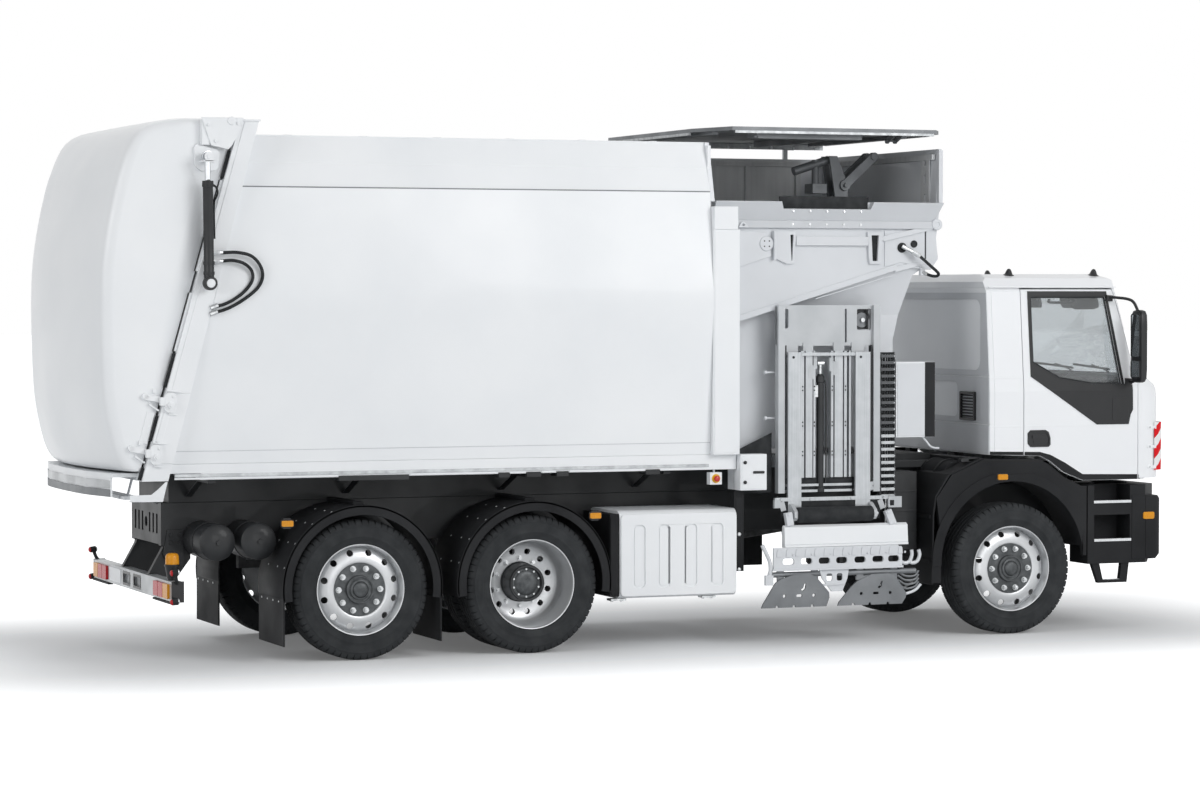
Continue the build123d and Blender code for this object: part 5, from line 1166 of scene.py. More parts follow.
def makeLidParts():
    edgeUp, beamUp, pinUp, pinOut = 4.082, 4.074, 4.034, -0.95
    # folded rim, box beam, arms and rivets under the lid
    lidEdge, beam, rivets, seal = (bmesh.new() for n in range(4))
    addBar(lidEdge, (0.66, -1.19, edgeUp), (2.42, -1.19, edgeUp), 0.018, 0.036)
    addBar(lidEdge, (0.51, 1.06, 4.078), (0.51, -0.64, 4.078), 0.018, 0.03, side=(1, 0, 0))
    # the front fold ends short of the hopper's end wall, which the lid closes over
    addBar(lidEdge, (2.49, 1.0, edgeUp), (2.49, -0.96, edgeUp), 0.018, 0.022, side=(1, 0, 0))
    addBlock(beam, (0.9, -1.1, 4.028), (1.82, -0.96, 4.088))
    addBlock(beam, (0.88, -1.12, 4.05), (0.905, -0.94, 4.088))
    addBar(beam, (0.62, -0.9, beamUp), (0.62, 0.9, beamUp), 0.05, 0.03, side=(1, 0, 0))
    addBar(beam, (2.3, -0.9, beamUp), (2.3, 0.9, beamUp), 0.05, 0.03, side=(1, 0, 0))
    addBar(lidEdge, (0.56, 1.03, 4.06), (2.48, 1.03, 4.06), 0.01, 0.05)
    for n in range(9):
        addTurned(rivets, [(0, 0), (0, 0.013), (0.006, 0.011), (0.009, 0.005), (0.01, 0)],
                  (0.76 + 0.205 * n, 1.026, 4.052), (0, -1, 0), 14)
    # closing arms hinged under the lid's near side
    for x in (2.12, 2.19):
        addBar(beam, (x, -1.08, 4.078), (x, pinOut, 4.03), 0.014, 0.04, side=(1, 0, 0))
        addRound(beam, (x - 0.012, pinOut, pinUp), (x + 0.012, pinOut, pinUp), 0.024, 16)
    addRound(beam, (2.1, pinOut, pinUp), (2.21, pinOut, pinUp), 0.01, 12)
    addBar(seal, (0.7, -1.15, 4.08), (2.4, -1.15, 4.08), 0.012, 0.02)
    for piece, bm, finish in (("lidRim", lidEdge, "galvanised"), ("lidBeams", beam, "plateGrey"),
                              ("lidRivets", rivets, "coachEnamel"), ("lidSeal", seal, "softRubber")):
        makePiece(piece, bm, finish, "hopper_lid", "lid_steel", bevel=2)


makeHopperTray()
makeHopperSide()
makeHopperInterior()
makeLidParts()
print("hopper and lid made")


# side lifter: mast, energy chain, carriage and bin grab
lifter = {
    "middle": 1.4845, "plateFront": 1.15, "front": 1.206, "carriageBack": 1.212, "carriageFront": 1.24,
    "pivot": (-1.296, 1.03), "top": 2.7,
    "chain": {"x": (1.938, 2.076), "z": (1.135, 2.318), "pitch": 0.0537},
}


def addChannel(bm, x0, x1, z0, z1, back, front, wall=0.008, finish=0):
    # upright rolled channel, open to the outside
    loop = [(x0, back), (x1, back), (x1, front), (x1 - wall, front),
            (x1 - wall, back + wall * (1 if front > back else -1)),
            (x0 + wall, back + wall * (1 if front > back else -1)), (x0 + wall, front), (x0, front)]
    addSlab(bm, loop, [], lambda a, b, d: (a, b, z0 + d), z1 - z0, finish)


def makeLifterMast():
    half = 0.45
    bm = bmesh.new()
    middle, top = lifter["middle"], lifter["top"]
    front, plate = -lifter["front"], -lifter["plateFront"]
    # back plates; the upper one has a pulley opening, a hand slot and a slit
    outline = roundedLoop((middle - half, 2.375), (middle + half, top), 0.012, 3)
    opening = roundedLoop((1.742, 2.5), (1.868, 2.672), 0.014, 3)
    handSlot = roundedLoop((1.1, 2.515), (1.136, 2.672), 0.016)
    slit = roundedLoop((1.634, 2.4), (1.652, 2.672), 0.008, 3)
    addSidePlate(bm, outline, [opening, handSlot, slit], -1.14, 0.034)
    addBlock(bm, (middle - half, -1.15, 1.2), (middle + half, -1.14, 1.5))
    # outer posts with a folded edge
    for side in (-1, 1):
        x0, x1 = sorted((middle + side * half, middle + side * 0.392))
        addBlock(bm, (x0, front, 1.2), (x1, plate + 0.004, top))
        x0, x1 = sorted((middle + side * 0.374, middle + side * 0.384))
        addBlock(bm, (x0, front + 0.012, 1.24), (x1, plate, 2.38), 2)
    # fixed guide rails between the posts
    for x0, x1, finish in ((1.234, 1.262, 1), (1.276, 1.336, 1), (1.344, 1.362, 1), (1.5, 1.52, 1),
                           (1.532, 1.604, 1), (1.616, 1.64, 1), (1.66, 1.676, 1)):
        addBlock(bm, (x0, front + 0.004, 1.322), (x1, plate - 0.002, 2.335), finish)
    # dark discs for the bolt holes in the rails: painted shade
    for x in (1.249, 1.353, 1.51, 1.628):
        for z in (1.5, 1.53, 1.735, 1.765, 2.02, 2.05):
            addRound(bm, (x, front + 0.002, z), (x, front + 0.006, z), 0.0065, 10, 3)
    # brackets under the upper plate
    for x0, x1 in ((1.1, 1.215), (1.262, 1.35), (1.53, 1.625), (1.69, 1.8)):
        foot = [(x0, 2.4), (x1, 2.4), (x1, 2.33), (x1 - 0.024, 2.285), (x0 + 0.024, 2.285), (x0, 2.33)]
        addSidePlate(bm, foot, [], -1.17, 0.014)
    for x0, x1, z in ((1.345, 1.375, 2.24), (1.485, 1.515, 2.22), (1.3, 1.345, 2.16), (1.52, 1.56, 2.19)):
        addBlock(bm, (x0, -1.203, z - 0.05), (x1, -1.165, z + 0.06))
    # rungs at the foot
    for z in (1.215, 1.262):
        addBlock(bm, (1.105, -1.196, z - 0.01), (1.69, -1.18, z + 0.01), 1)
    addBlock(bm, (1.1, -1.178, 1.2), (1.86, -1.172, 1.318), 3)
    bracket = [(1.7, 1.215), (1.735, 1.262), (1.905, 1.285), (1.925, 1.262), (1.925, 1.225), (1.84, 1.205)]
    addSidePlate(bm, bracket, [], -1.192, 0.012)
    for x in (1.76, 1.82, 1.88):
        addBolt(bm, (x, -1.204, 1.246), (0, -1, 0), 0.014, 0.0015, 3)
    # reach beams and the foot of the lift ram
    for side in (-1, 1):
        x = middle + side * 0.29
        addBlock(bm, (x - 0.04, -1.141, 1.406), (x + 0.04, 0.61, 1.496))
    makePiece("lifterMastFrame", bm, ["lifterEnamel", "rolledSteel", "chassisLacquer", "softRubber"],
              "lifter_mast", "lifter_steel", bevel=1.5, replaces=["lifter_mast"])
    ram = bmesh.new()
    x, y = 1.4145, -1.177
    addTurned(ram, [(1.205, 0), (1.205, 0.036), (1.24, 0.036), (1.245, 0.0285), (2.08, 0.0285),
                    (2.085, 0.034), (2.13, 0.034), (2.135, 0.0285), (2.15, 0.02), (2.15, 0)], (x, y, 0),
              (0, 0, 1), 28)
    addTurned(ram, [(2.145, 0), (2.145, 0.014), (2.225, 0.014), (2.23, 0)], (x, y, 0), (0, 0, 1), 20, 1)
    addRound(ram, (x - 0.03, y, 2.236), (x + 0.03, y, 2.236), 0.02, 16, 1)
    addBlock(ram, (x - 0.06, -1.203, 1.965), (x - 0.03, -1.165, 2.06), 1)
    pipe = [(x + 0.04, -1.188, 1.26), (x + 0.046, -1.19, 1.4), (x + 0.046, -1.19, 1.9),
            (x + 0.04, -1.188, 2.08), (x + 0.02, -1.18, 2.1)]
    addPipe(ram, curvedLine(pipe, 5), 0.006, 8)
    # pulley behind the opening in the upper plate
    addTurned(ram, [(-0.016, 0), (-0.016, 0.06), (-0.01, 0.06), (-0.004, 0.048), (0.004, 0.048),
                    (0.01, 0.06), (0.016, 0.06), (0.016, 0.0)], (1.8, -1.128, 2.58), (0, 1, 0), 28, 2)
    addRound(ram, (1.8, -1.168, 2.58), (1.8, -1.11, 2.58), 0.018, 14, 1)
    # a black sheet behind the opening round the pulley: painted shade
    addBlock(ram, (1.745, -1.1365, 2.505), (1.865, -1.1325, 2.668))
    hose = [(1.835, -1.16, 2.66), (1.85, -1.166, 2.61), (1.838, -1.162, 2.56), (1.846, -1.16, 2.515)]
    addPipe(ram, curvedLine(hose, 5), 0.008, 8)
    makePiece("lifterRamAndPulley", ram, ["chassisLacquer", "zincPlate", "plateGrey"], "lifter_mast",
              "cylinder_black", bevel=1)


def makeEnergyChain():
    # every link has two side plates, a crossbar on each face and the next link's tongue in it
    chain = lifter["chain"]
    (x0, x1), (z0, z1), pitch = chain["x"], chain["z"], chain["pitch"]
    back, front = -1.148, -1.204
    count = int((z1 - z0) / pitch)
    bm = bmesh.new()
    for n in range(count):
        z = z0 + pitch * (n + 0.5)
        for left, right in ((x0, x0 + 0.007), (x1 - 0.007, x1)):
            inset = 0.004 if n % 2 else 0.0
            side = roundedLoop((front + 0.004, z - pitch * 0.58), (back - 0.004, z + pitch * 0.58), 0.022)
            shift = inset if left == x0 else -inset
            addSlab(bm, side, [], lambda a, b, d: (left + shift + d, a, b), right - left)
        for y in (front, back - 0.007):
            bar = roundedLoop((x0 + 0.01, z - pitch * 0.22), (x1 - 0.01, z + pitch * 0.22), 0.006, 3)
            addSlab(bm, bar, [], lambda a, b, d: (a, y + d, b), 0.007, 1 if y == front and z < 1.66 else 0)
        addRound(bm, (x1 - 0.012, front - 0.001, z), (x1 - 0.012, front + 0.006, z), 0.006, 10, 1)
    makePiece("lifterEnergyChain", bm, ["polyamide", "galvanised"], "lifter_mast", "moulded_black",
              replaces=["cable_chain"])
    cables = bmesh.new()
    for n, radius in enumerate((0.009, 0.011, 0.008, 0.012, 0.009)):
        x = x0 + 0.022 + n * 0.0235
        addRound(cables, (x, -1.176, z0 - 0.002), (x, -1.176, z1), radius, 10)
    addBlock(cables, (x0 + 0.004, -1.19, z1 - 0.012), (x1 - 0.004, -1.15, z1 + 0.002))
    makePiece("lifterChainCables", cables, "softRubber", "lifter_mast")


def makeCarriage():
    railEnd = 1.99
    bm = bmesh.new()
    back, front = -lifter["carriageBack"], -lifter["carriageFront"]
    middle = lifter["middle"]
    # long channels that slide in the mast, with wear strips
    for x0, x1 in ((1.106, 1.222), (1.7, 1.832)):
        addChannel(bm, x0, x1, 1.02, 2.325, front, back, 0.01)
        addBlock(bm, (x0 + 0.012, back - 0.004, 1.18), (x0 + 0.02, back + 0.004, 2.3), 2)
        addBlock(bm, (x1 - 0.022, back - 0.004, 1.18), (x1 - 0.014, back + 0.004, 2.3), 2)
        addRound(bm, (x0 + 0.045, front - 0.003, 2.285), (x0 + 0.045, front, 2.285), 0.011, 12, 2)
    addBlock(bm, (1.224, front + 0.002, 2.296), (1.698, back, 2.322))
    # foot rail, hangers and end brackets
    addBlock(bm, (0.99, front - 0.003, 1.138), (railEnd, front - 0.0005, 1.168))
    addBlock(bm, (0.99, front + 0.001, 1.14), (1.104, back, 1.166))
    addBlock(bm, (1.834, front + 0.001, 1.14), (railEnd, back, 1.166))
    addBlock(bm, (1.05, front + 0.004, 0.985), (1.92, back, 1.136), 2)
    addBlock(bm, (railEnd, front - 0.01, 1.07), (2.11, back, 1.158), 1)
    addBlock(bm, (2.004, front - 0.013, 1.086), (2.04, front - 0.008, 1.13), 2)
    addBlock(bm, (0.985, front - 0.004, 1.085), (1.04, back, 1.15), 1)
    for side in (-1, 1):
        x0, x1 = sorted((middle + side * 0.334, middle + side * 0.366))
        ear = [(-1.236, 1.12), (-1.262, 1.11), (-1.332, 1.06), (-1.336, 1.01), (-1.31, 0.985),
               (-1.236, 0.985)]
        addSlab(bm, ear, [], lambda a, b, d: (x0 + d, a, b), x1 - x0, 1)
    addRound(bm, (middle - 0.385, -1.296, 1.03), (middle + 0.385, -1.296, 1.03), 0.018, 18)
    for x in (1.04, 1.3, 1.66, 1.95):
        addBolt(bm, (x, front - 0.001, 1.151), (0, -1, 0), 0.016, 0.008)
    # hoses that leave the carriage for the grab
    for n in range(2):
        hose = [(1.985 + 0.05 * n, -1.222, 1.07), (1.99 + 0.05 * n, -1.232, 1.02),
                (2.01 + 0.04 * n, -1.24, 0.96), (2.0 + 0.04 * n, -1.25, 0.9)]
        addPipe(bm, curvedLine(hose, 5), 0.01, 10, 2)
    # straps on the plate that carry on the line of the grab's slanted arms
    for low, top in ((1.068, 1.048), (1.946, 1.918)):
        addBar(bm, (low, -1.2378, 1.062), (top, -1.2378, 1.135), 0.0036, 0.046, 1)
    makePiece("lifterCarriageFrame", bm, ["rolledSteel", "lifterEnamel", "softRubber"], "lifter_carriage",
              "lifter_steel", bevel=1.5, replaces=["lifter_carriage"])


def makeGrab():
    dotUp, dotRadius = 0.392, 0.013
    light, grey, dark, white = (bmesh.new() for n in range(4))
    y, z = lifter["pivot"]
    # rubber-faced roller
    addTurned(dark, [(1.15, 0.022), (1.15, 0.056), (1.158, 0.062), (1.808, 0.062), (1.816, 0.056),
                     (1.816, 0.022)], (0, y, z), (1, 0, 0), 40)
    # slanted arms beside the roller: they end just over the pivot, so that they clear the plate when tipped
    for top, low in (((1.066, 1.053), (1.082, 0.95)), ((1.946, 1.053), (1.99, 0.945))):
        addBar(light, (top[0], y - 0.02, top[1]), (low[0], y - 0.026, low[1]), 0.046, 0.058)
        addBolt(light, (top[0], y - 0.043, top[1] - 0.012), (0, -1, 0), 0.024, 0.01)
    # white apron bar with folded edges
    apron = [(y - 0.022, 0.775), (y - 0.05, 0.8), (y - 0.04, 0.935), (y - 0.012, 0.952), (y + 0.008, 0.94),
             (y + 0.014, 0.775)]
    addSlab(white, apron, [], lambda a, b, d: (1.03 + d, a, b), 1.09)
    addBar(white, (1.03, y - 0.046, 0.786), (2.12, y - 0.046, 0.786), 0.02, 0.018)
    # frame below it with oval openings
    outline = [(0.93, 0.775), (2.03, 0.775), (2.066, 0.72), (2.066, 0.606), (0.93, 0.606)]
    openings = [roundedLoop((x, 0.64), (x + 0.1, 0.69), 0.022)
                for x in (1.01, 1.168, 1.325, 1.478, 1.64, 1.8, 1.94)]
    addSlab(light, outline, openings, lambda a, b, d: (a, y - 0.052 + d, b), 0.02)
    addBar(light, (0.92, y - 0.046, 0.6), (2.072, y - 0.046, 0.6), 0.036, 0.016)
    # comb of upturned teeth
    for n in range(14):
        x = 0.955 + 0.0825 * n
        tooth = [(x, 0.704), (x + 0.04, 0.704), (x + 0.036, 0.752), (x + 0.026, 0.764), (x + 0.012, 0.764),
                 (x + 0.004, 0.752)]
        addSlab(light, tooth, [], lambda a, b, d: (a, y - 0.06 + d, b), 0.012)
        if n % 2:
            addBolt(light, (x + 0.062, y - 0.053, 0.716), (0, -1, 0), 0.014, 0.007)
    # hooked ends
    for bend in (0.0, 0.07):
        hook = [(2.06 + bend, y - 0.03, 0.64), (2.1 + bend, y - 0.034, 0.624),
                (2.14 + bend, y - 0.036, 0.64), (2.16 + bend, y - 0.036, 0.69),
                (2.158 + bend * 0.9, y - 0.034, 0.73)]
        addPipe(light, curvedLine(hook, 5), 0.015)
    arm = [(0.845, y - 0.02, 0.8), (0.872, y - 0.03, 0.74), (0.905, y - 0.034, 0.66),
           (0.908, y - 0.034, 0.58), (0.88, y - 0.03, 0.5)]
    addPipe(light, curvedLine(arm, 5), 0.017)
    addBlock(light, (0.862, y - 0.05, 0.48), (0.93, y - 0.02, 0.56))
    # hangers, centre bracket and cross tube carrying the two shoes
    addRound(grey, (0.9, y - 0.018, 0.56), (2.2, y - 0.018, 0.56), 0.022, 16)
    for x in (1.0, 1.3, 1.7, 2.0):
        addBar(grey, (x, y - 0.022, 0.61), (x, y - 0.026, 0.5), 0.016, 0.06)
    centre = [(1.33, 0.61), (1.6, 0.61), (1.585, 0.52), (1.54, 0.415), (1.445, 0.415), (1.36, 0.52)]
    addSlab(light, centre, [roundedLoop((1.4, 0.5), (1.45, 0.56), 0.015),
                            roundedLoop((1.49, 0.5), (1.54, 0.56), 0.015)],
            lambda a, b, d: (a, y - 0.04 + d, b), 0.014)
    addBar(light, (1.36, y - 0.044, 0.47), (1.56, y - 0.044, 0.48), 0.012, 0.018)
    # trunnion shoes: domed plates with two dots, a slot, a curved slot and notched feet
    shoes = [([(0.822, 0.3), (0.834, 0.33), (0.945, 0.5), (1.0, 0.53), (1.11, 0.562), (1.24, 0.566),
               (1.3, 0.54), (1.415, 0.412), (1.418, 0.37), (1.392, 0.3)], 1.022),
             ([(1.49, 0.3), (1.502, 0.33), (1.61, 0.45), (1.66, 0.49), (1.79, 0.545), (1.95, 0.548),
               (2.01, 0.515), (2.1, 0.385), (2.096, 0.35), (2.062, 0.3)], 1.699)]
    for outline, start in shoes:
        # notches along the foot, cut from right to left
        foot = []
        right, left = outline[-1][0], outline[0][0]
        for share in (0.22, 0.5, 0.76):
            x = right + (left - right) * share
            foot += [(x + 0.014, 0.3), (x + 0.008, 0.318), (x - 0.008, 0.318), (x - 0.014, 0.3)]
        holes = [[(start + px, dotUp + pz) for px, pz in circlePoints(dotRadius, 12)],
                 roundedLoop((start + 0.105, 0.382), (start + 0.155, 0.402), 0.009, 3),
                 [(start + 0.258 + px, dotUp + pz) for px, pz in circlePoints(dotRadius, 12)],
                 [(start + 0.145, 0.44), (start + 0.165, 0.452), (start + 0.176, 0.486),
                  (start + 0.19, 0.49), (start + 0.182, 0.446), (start + 0.16, 0.428)]]
        addSlab(grey, outline + foot, holes, lambda a, b, d: (a, y - 0.058 + d, b), 0.016)
        addBar(grey, (outline[3][0], y - 0.036, 0.515), (outline[5][0], y - 0.036, 0.535), 0.02, 0.03)
    # springy prongs at the front end
    for n in range(4):
        prong = [(2.04, y - 0.01 - 0.006 * n, 0.56 - 0.034 * n), (2.11, y - 0.02, 0.52 - 0.034 * n),
                 (2.19, y - 0.024, 0.52 - 0.03 * n), (2.226, y - 0.024, 0.56 - 0.03 * n)]
        addPipe(grey, curvedLine(prong, 5), 0.009, 8)
    tip = [(2.03, y - 0.03, 0.372), (2.11, y - 0.036, 0.378), (2.19, y - 0.038, 0.405),
           (2.24, y - 0.036, 0.45)]
    addPipe(light, curvedLine(tip, 5), 0.012, 8)
    makePiece("grabFrame", light, "hopperEnamel", "lifter_head", "lifter_steel", bevel=1.5,
              replaces=["lifter_head"])
    makePiece("grabApron", white, "coachEnamel", "lifter_head", "lifter_steel", bevel=2)
    makePiece("grabShoes", grey, "plateGrey", "lifter_head", "lifter_steel", bevel=1.5)
    makePiece("grabRoller", dark, "softRubber", "lifter_head", bevel=2)


def makeLifterSurrounds():
    # dark side of the valve cabinet, its drain tube, and struts beside the mast
    dark, light = bmesh.new(), bmesh.new()
    addBlock(dark, (2.346, -1.194, 1.632), (2.436, -1.06, 2.238))
    addBlock(light, (2.098, -1.196, 1.64), (2.344, -1.188, 2.23))
    for z in (1.8, 2.165):
        addRound(light, (0.94, -1.13, z), (1.036, -1.13, z), 0.008, 12)
        addTurned(light, [(0, 0), (0, 0.016), (0.02, 0.016), (0.02, 0)], (0.945, -1.13, z), (1, 0, 0), 14)
    tube = [(2.33, -1.15, 1.64), (2.372, -1.156, 1.6), (2.41, -1.16, 1.555), (2.45, -1.16, 1.54),
            (2.5, -1.14, 1.536)]
    addPipe(light, curvedLine(tube, 5), 0.009)
    makePiece("valveCabinetSide", dark, "mouldedPolypropylene", bevel=3)
    makePiece("valveCabinetDoor", light, "hopperEnamel", slot="white_paint", bevel=3)


makeLifterMast()
makeEnergyChain()
makeCarriage()
makeGrab()
makeLifterSurrounds()
print("lifter made")


# cab: windows, doors, mirrors, wings, front end
cab = {
    "axle": 3.1495, "deck": 1.19,         # the cab's own outline is measured from here
    "halfWidth": 1.2, "leanFrom": 0.8, "lean": 0.0878,
    "glass": [(0.188, 1.577), (0.889, 1.577), (1.016, 0.855), (0.735, 0.857), (0.43, 0.905), (0.19, 1.037)],
    "front": [(0.06, 1.338), (0.55, 1.354), (0.817, 1.353), (0.901, 1.266), (1.176, 1.207), (1.682, 1.043)],
}
sides = {"Right": -1, "Left": 1}


def cabPlace(side, proud):
    # puts flat (along, up, depth) points on one flank of the cab
    def place(a, b, depth):
        inset = max(0.0, b - cab["leanFrom"]) * cab["lean"]
        return (cab["axle"] + a, side * (cab["halfWidth"] - inset + proud - depth), cab["deck"] + b)
    return place


def noseLine(y, up):
    # how far ahead of the front axle the cab's face stands
    front = cab["front"]
    for (low, start), (high, end) in zip(front, front[1:]):
        if up <= high or high == front[-1][0]:
            middle = start + (end - start) * (up - low) / (high - low)
            break
    out = abs(y)
    curved = 1.375 - 0.057 * (out / 0.91) ** 2 if out < 0.91 else 1.318 - 0.17 * (out - 0.91)
    if up > 0.901:
        curved += -0.088 - 0.2855 * (up - 0.901)
    return min(middle, curved)


def nosePoint(y, up, proud):
    return Vector((cab["axle"] + noseLine(y, up) + proud, y, cab["deck"] + up))


def addNoseSheet(bm, low, high, thick, steps=14, proud=0.0):
    # a panel wrapped round the cab's face between two (y, up) corners
    rings = []
    for n in range(steps + 1):
        y = low[0] + (high[0] - low[0]) * n / steps
        rings.append([bm.verts.new(nosePoint(y, up, proud + out))
                      for up, out in ((low[1], 0), (high[1], 0), (high[1], thick), (low[1], thick))])
    addLoft(bm, rings)


def makeDoorTrim(name, side):
    axle = cab["axle"]
    rearEdge, doorEdge, sheetThick = -0.213, 0.107, 0.0055
    body = "door_" + name.lower()
    trim = bmesh.new()
    frameLoop = [(0.163, 1.622), (0.903, 1.622), (0.96, 1.316), (1.041, 0.853), (1.118, 0.848),
                 (1.121, 0.8), (0.353, 0.8), (0.166, 0.922)]
    addSlab(trim, frameLoop, [cab["glass"]], cabPlace(side, 0.006), sheetThick)
    addSlab(trim, [(0.353, 0.8), (1.121, 0.8), (1.123, 0.64), (1.1, 0.6), (1.083, 0.52), (0.782, 0.52)], [],
            cabPlace(side, 0.006), sheetThick)
    addSlab(trim, roundedLoop((0.925, 0.548), (1.078, 0.745), 0.022), [], cabPlace(side, 0.009), 0.004)
    makePiece("doorWindowTrim" + name, trim, "blackAbs", body, bevel=1.5)
    # rubber lip that the glass runs in
    lip = bmesh.new()
    inner = [(0.2, 1.566), (0.88, 1.566), (1.003, 0.867), (0.738, 0.869), (0.435, 0.917), (0.202, 1.046)]
    addSlab(lip, cab["glass"], [inner], cabPlace(side, -0.004), 0.006)
    makePiece("doorGlassLip" + name, lip, "softRubber", body, bevel=1)
    # recessed handle
    handle = bmesh.new()
    corners = [(0.134, 0.372), (0.134, 0.458), (0.158, 0.482), (0.3, 0.482), (0.328, 0.466), (0.345, 0.415),
               (0.345, 0.362), (0.328, 0.343), (0.16, 0.343)]
    hollow = [(0.152, 0.378), (0.152, 0.452), (0.166, 0.466), (0.296, 0.466), (0.315, 0.452),
              (0.328, 0.412), (0.328, 0.37), (0.318, 0.358), (0.168, 0.358)]
    addSlab(handle, corners, [hollow], cabPlace(side, 0.007), 0.0065)
    addSlab(handle, hollow, [], cabPlace(side, 0.0015), 0.001)
    addSlab(handle, roundedLoop((0.176, 0.412), (0.306, 0.444), 0.01), [], cabPlace(side, 0.009), 0.006)
    addSlab(handle, roundedLoop((0.186, 0.37), (0.222, 0.4), 0.006), [], cabPlace(side, 0.005), 0.004)
    makePiece("doorHandle" + name, handle, "blackAbs", body, bevel=1.5)
    # pressed crease along the belt, split at the door's rear seam
    crease = bmesh.new()
    addSlab(crease, [(doorEdge, 0.508), (doorEdge, 0.52), (0.79, 0.52), (0.808, 0.508)], [],
            cabPlace(side, 0.002), 0.002)
    addSlab(crease, [(1.08, 0.508), (1.086, 0.52), (1.165, 0.52), (1.165, 0.508)], [],
            cabPlace(side, 0.002), 0.002)
    makePiece("doorCrease" + name, crease, "cabEnamel", body, bevel=0.8)
    quarter = bmesh.new()
    for up in (0.508, 0.905):
        addSlab(quarter, [(rearEdge, up), (rearEdge, up + 0.012), (0.096, up + 0.012), (0.096, up)], [],
                cabPlace(side, 0.002), 0.002)
    # black edging along the cab's foot
    sill = bmesh.new()
    addSlab(sill, [(doorEdge, 0.276), (0.251, 0.271), (0.34, 0.228), (0.47, 0.133), (0.654, 0.062),
                   (1.167, 0.062), (1.167, 0.102), (0.65, 0.112), (0.48, 0.212), (0.35, 0.276),
                   (0.25, 0.302), (doorEdge, 0.305)], [], cabPlace(side, 0.0015), 0.0015)
    makePiece("doorEdging" + name, sill, "mouldedPolypropylene", body)
    edge = bmesh.new()
    addSlab(edge, [(rearEdge, 0.286), (0.095, 0.278), (0.095, 0.305), (rearEdge, 0.312)], [],
            cabPlace(side, 0.0015), 0.0015)
    corner = [(1.18, 1.199), (1.232, 1.168), (1.27, 1.13), (1.302, 1.01), (1.318, 0.905)]
    rings = []
    for ahead, out in corner:
        spread = Vector((0.8, side * 0.6, 0)) * 0.0015 if out < 1.19 else Vector((0, side * 0.0015, 0))
        base = Vector((axle + ahead, side * out, cab["deck"]))
        rings.append([edge.verts.new(base + spread * k + Vector((0, 0, up)))
                      for up, k in ((0.063, 0), (0.098, 0), (0.098, 1.6), (0.063, 1.6))])
    addLoft(edge, rings)
    makePiece("cabEdging" + name, edge, "mouldedPolypropylene", "cab")
    # rain gutter over the door
    start, end = (axle - 0.2, side * 1.136, 2.846), (axle + 0.985, side * 1.136, 2.846)
    addBar(quarter, start, end, 0.014, 0.01)
    makePiece("cabCrease" + name, quarter, "cabEnamel", "cab", bevel=0.8)


def makeMirror(name, side):
    axle = cab["axle"]
    deck = cab["deck"]
    housing, glass = bmesh.new(), bmesh.new()
    # upright shell: half sizes along and out at each height above the frame
    ax, ay = axle + 1.084, 1.366
    levels = [(0.868, 0.012, 0.04), (0.876, 0.024, 0.066), (0.905, 0.033, 0.084), (0.98, 0.035, 0.09),
              (1.34, 0.035, 0.09), (1.425, 0.033, 0.086), (1.458, 0.024, 0.07), (1.468, 0.01, 0.04)]
    rings, around = [], 20
    for up, deep, wide in levels:
        ring = []
        for turn in range(around):
            c, s = cos(2 * pi * turn / around), sin(2 * pi * turn / around)
            # flat towards the driver, rounded ahead
            x = deep * (abs(c) ** 0.45 if c > 0 else -abs(c) ** 0.22)
            y = wide * (1 if s > 0 else -1) * abs(s) ** 0.45
            ring.append(housing.verts.new((ax + x, side * (ay + y), deck + up)))
        rings.append(ring)
    addLoft(housing, rings)
    for low, high in ((0.905, 1.055), (1.075, 1.435)):
        loop = roundedLoop((ay - 0.072, low), (ay + 0.072, high), 0.022)
        inner = roundedLoop((ay - 0.064, low + 0.008), (ay + 0.064, high - 0.008), 0.017)
        addSlab(housing, loop, [inner], lambda a, b, d: (ax - 0.041 + d, side * a, deck + b), 0.01)
        addSlab(glass, inner, [], lambda a, b, d: (ax - 0.037 + d, side * a, deck + b), 0.003)
    # tubular arms and their root blocks
    top = [(axle + 0.925, side * 1.142, 2.755), (axle + 0.955, side * 1.195, 2.76),
           (axle + 1.04, side * 1.315, 2.735), (ax, side * 1.352, 2.64)]
    addPipe(housing, curvedLine(top, 6), 0.0125)
    low = [(axle + 1.078, side * 1.19, 2.066), (axle + 1.09, side * 1.25, 2.062), (ax, side * 1.33, 2.085)]
    addPipe(housing, curvedLine(low, 6), 0.012)
    for along, up, reach in ((0.925, 1.565, 1.13), (1.078, 0.876, 1.193)):
        block = [(along - 0.032, up - 0.026), (along + 0.026, up - 0.026), (along + 0.03, up + 0.022),
                 (along - 0.028, up + 0.026)]
        addSlab(housing, block, [], lambda a, b, d: (axle + a, side * (reach + 0.028 - d), deck + b), 0.03)
    makePiece("mirrorHousing" + name, housing, "blackAbs", "door_" + name.lower(), bevel=1.5,
              replaces=["mirror_" + name.lower()])
    makePiece("mirrorGlass" + name, glass, "mirrorGlass", "door_" + name.lower())


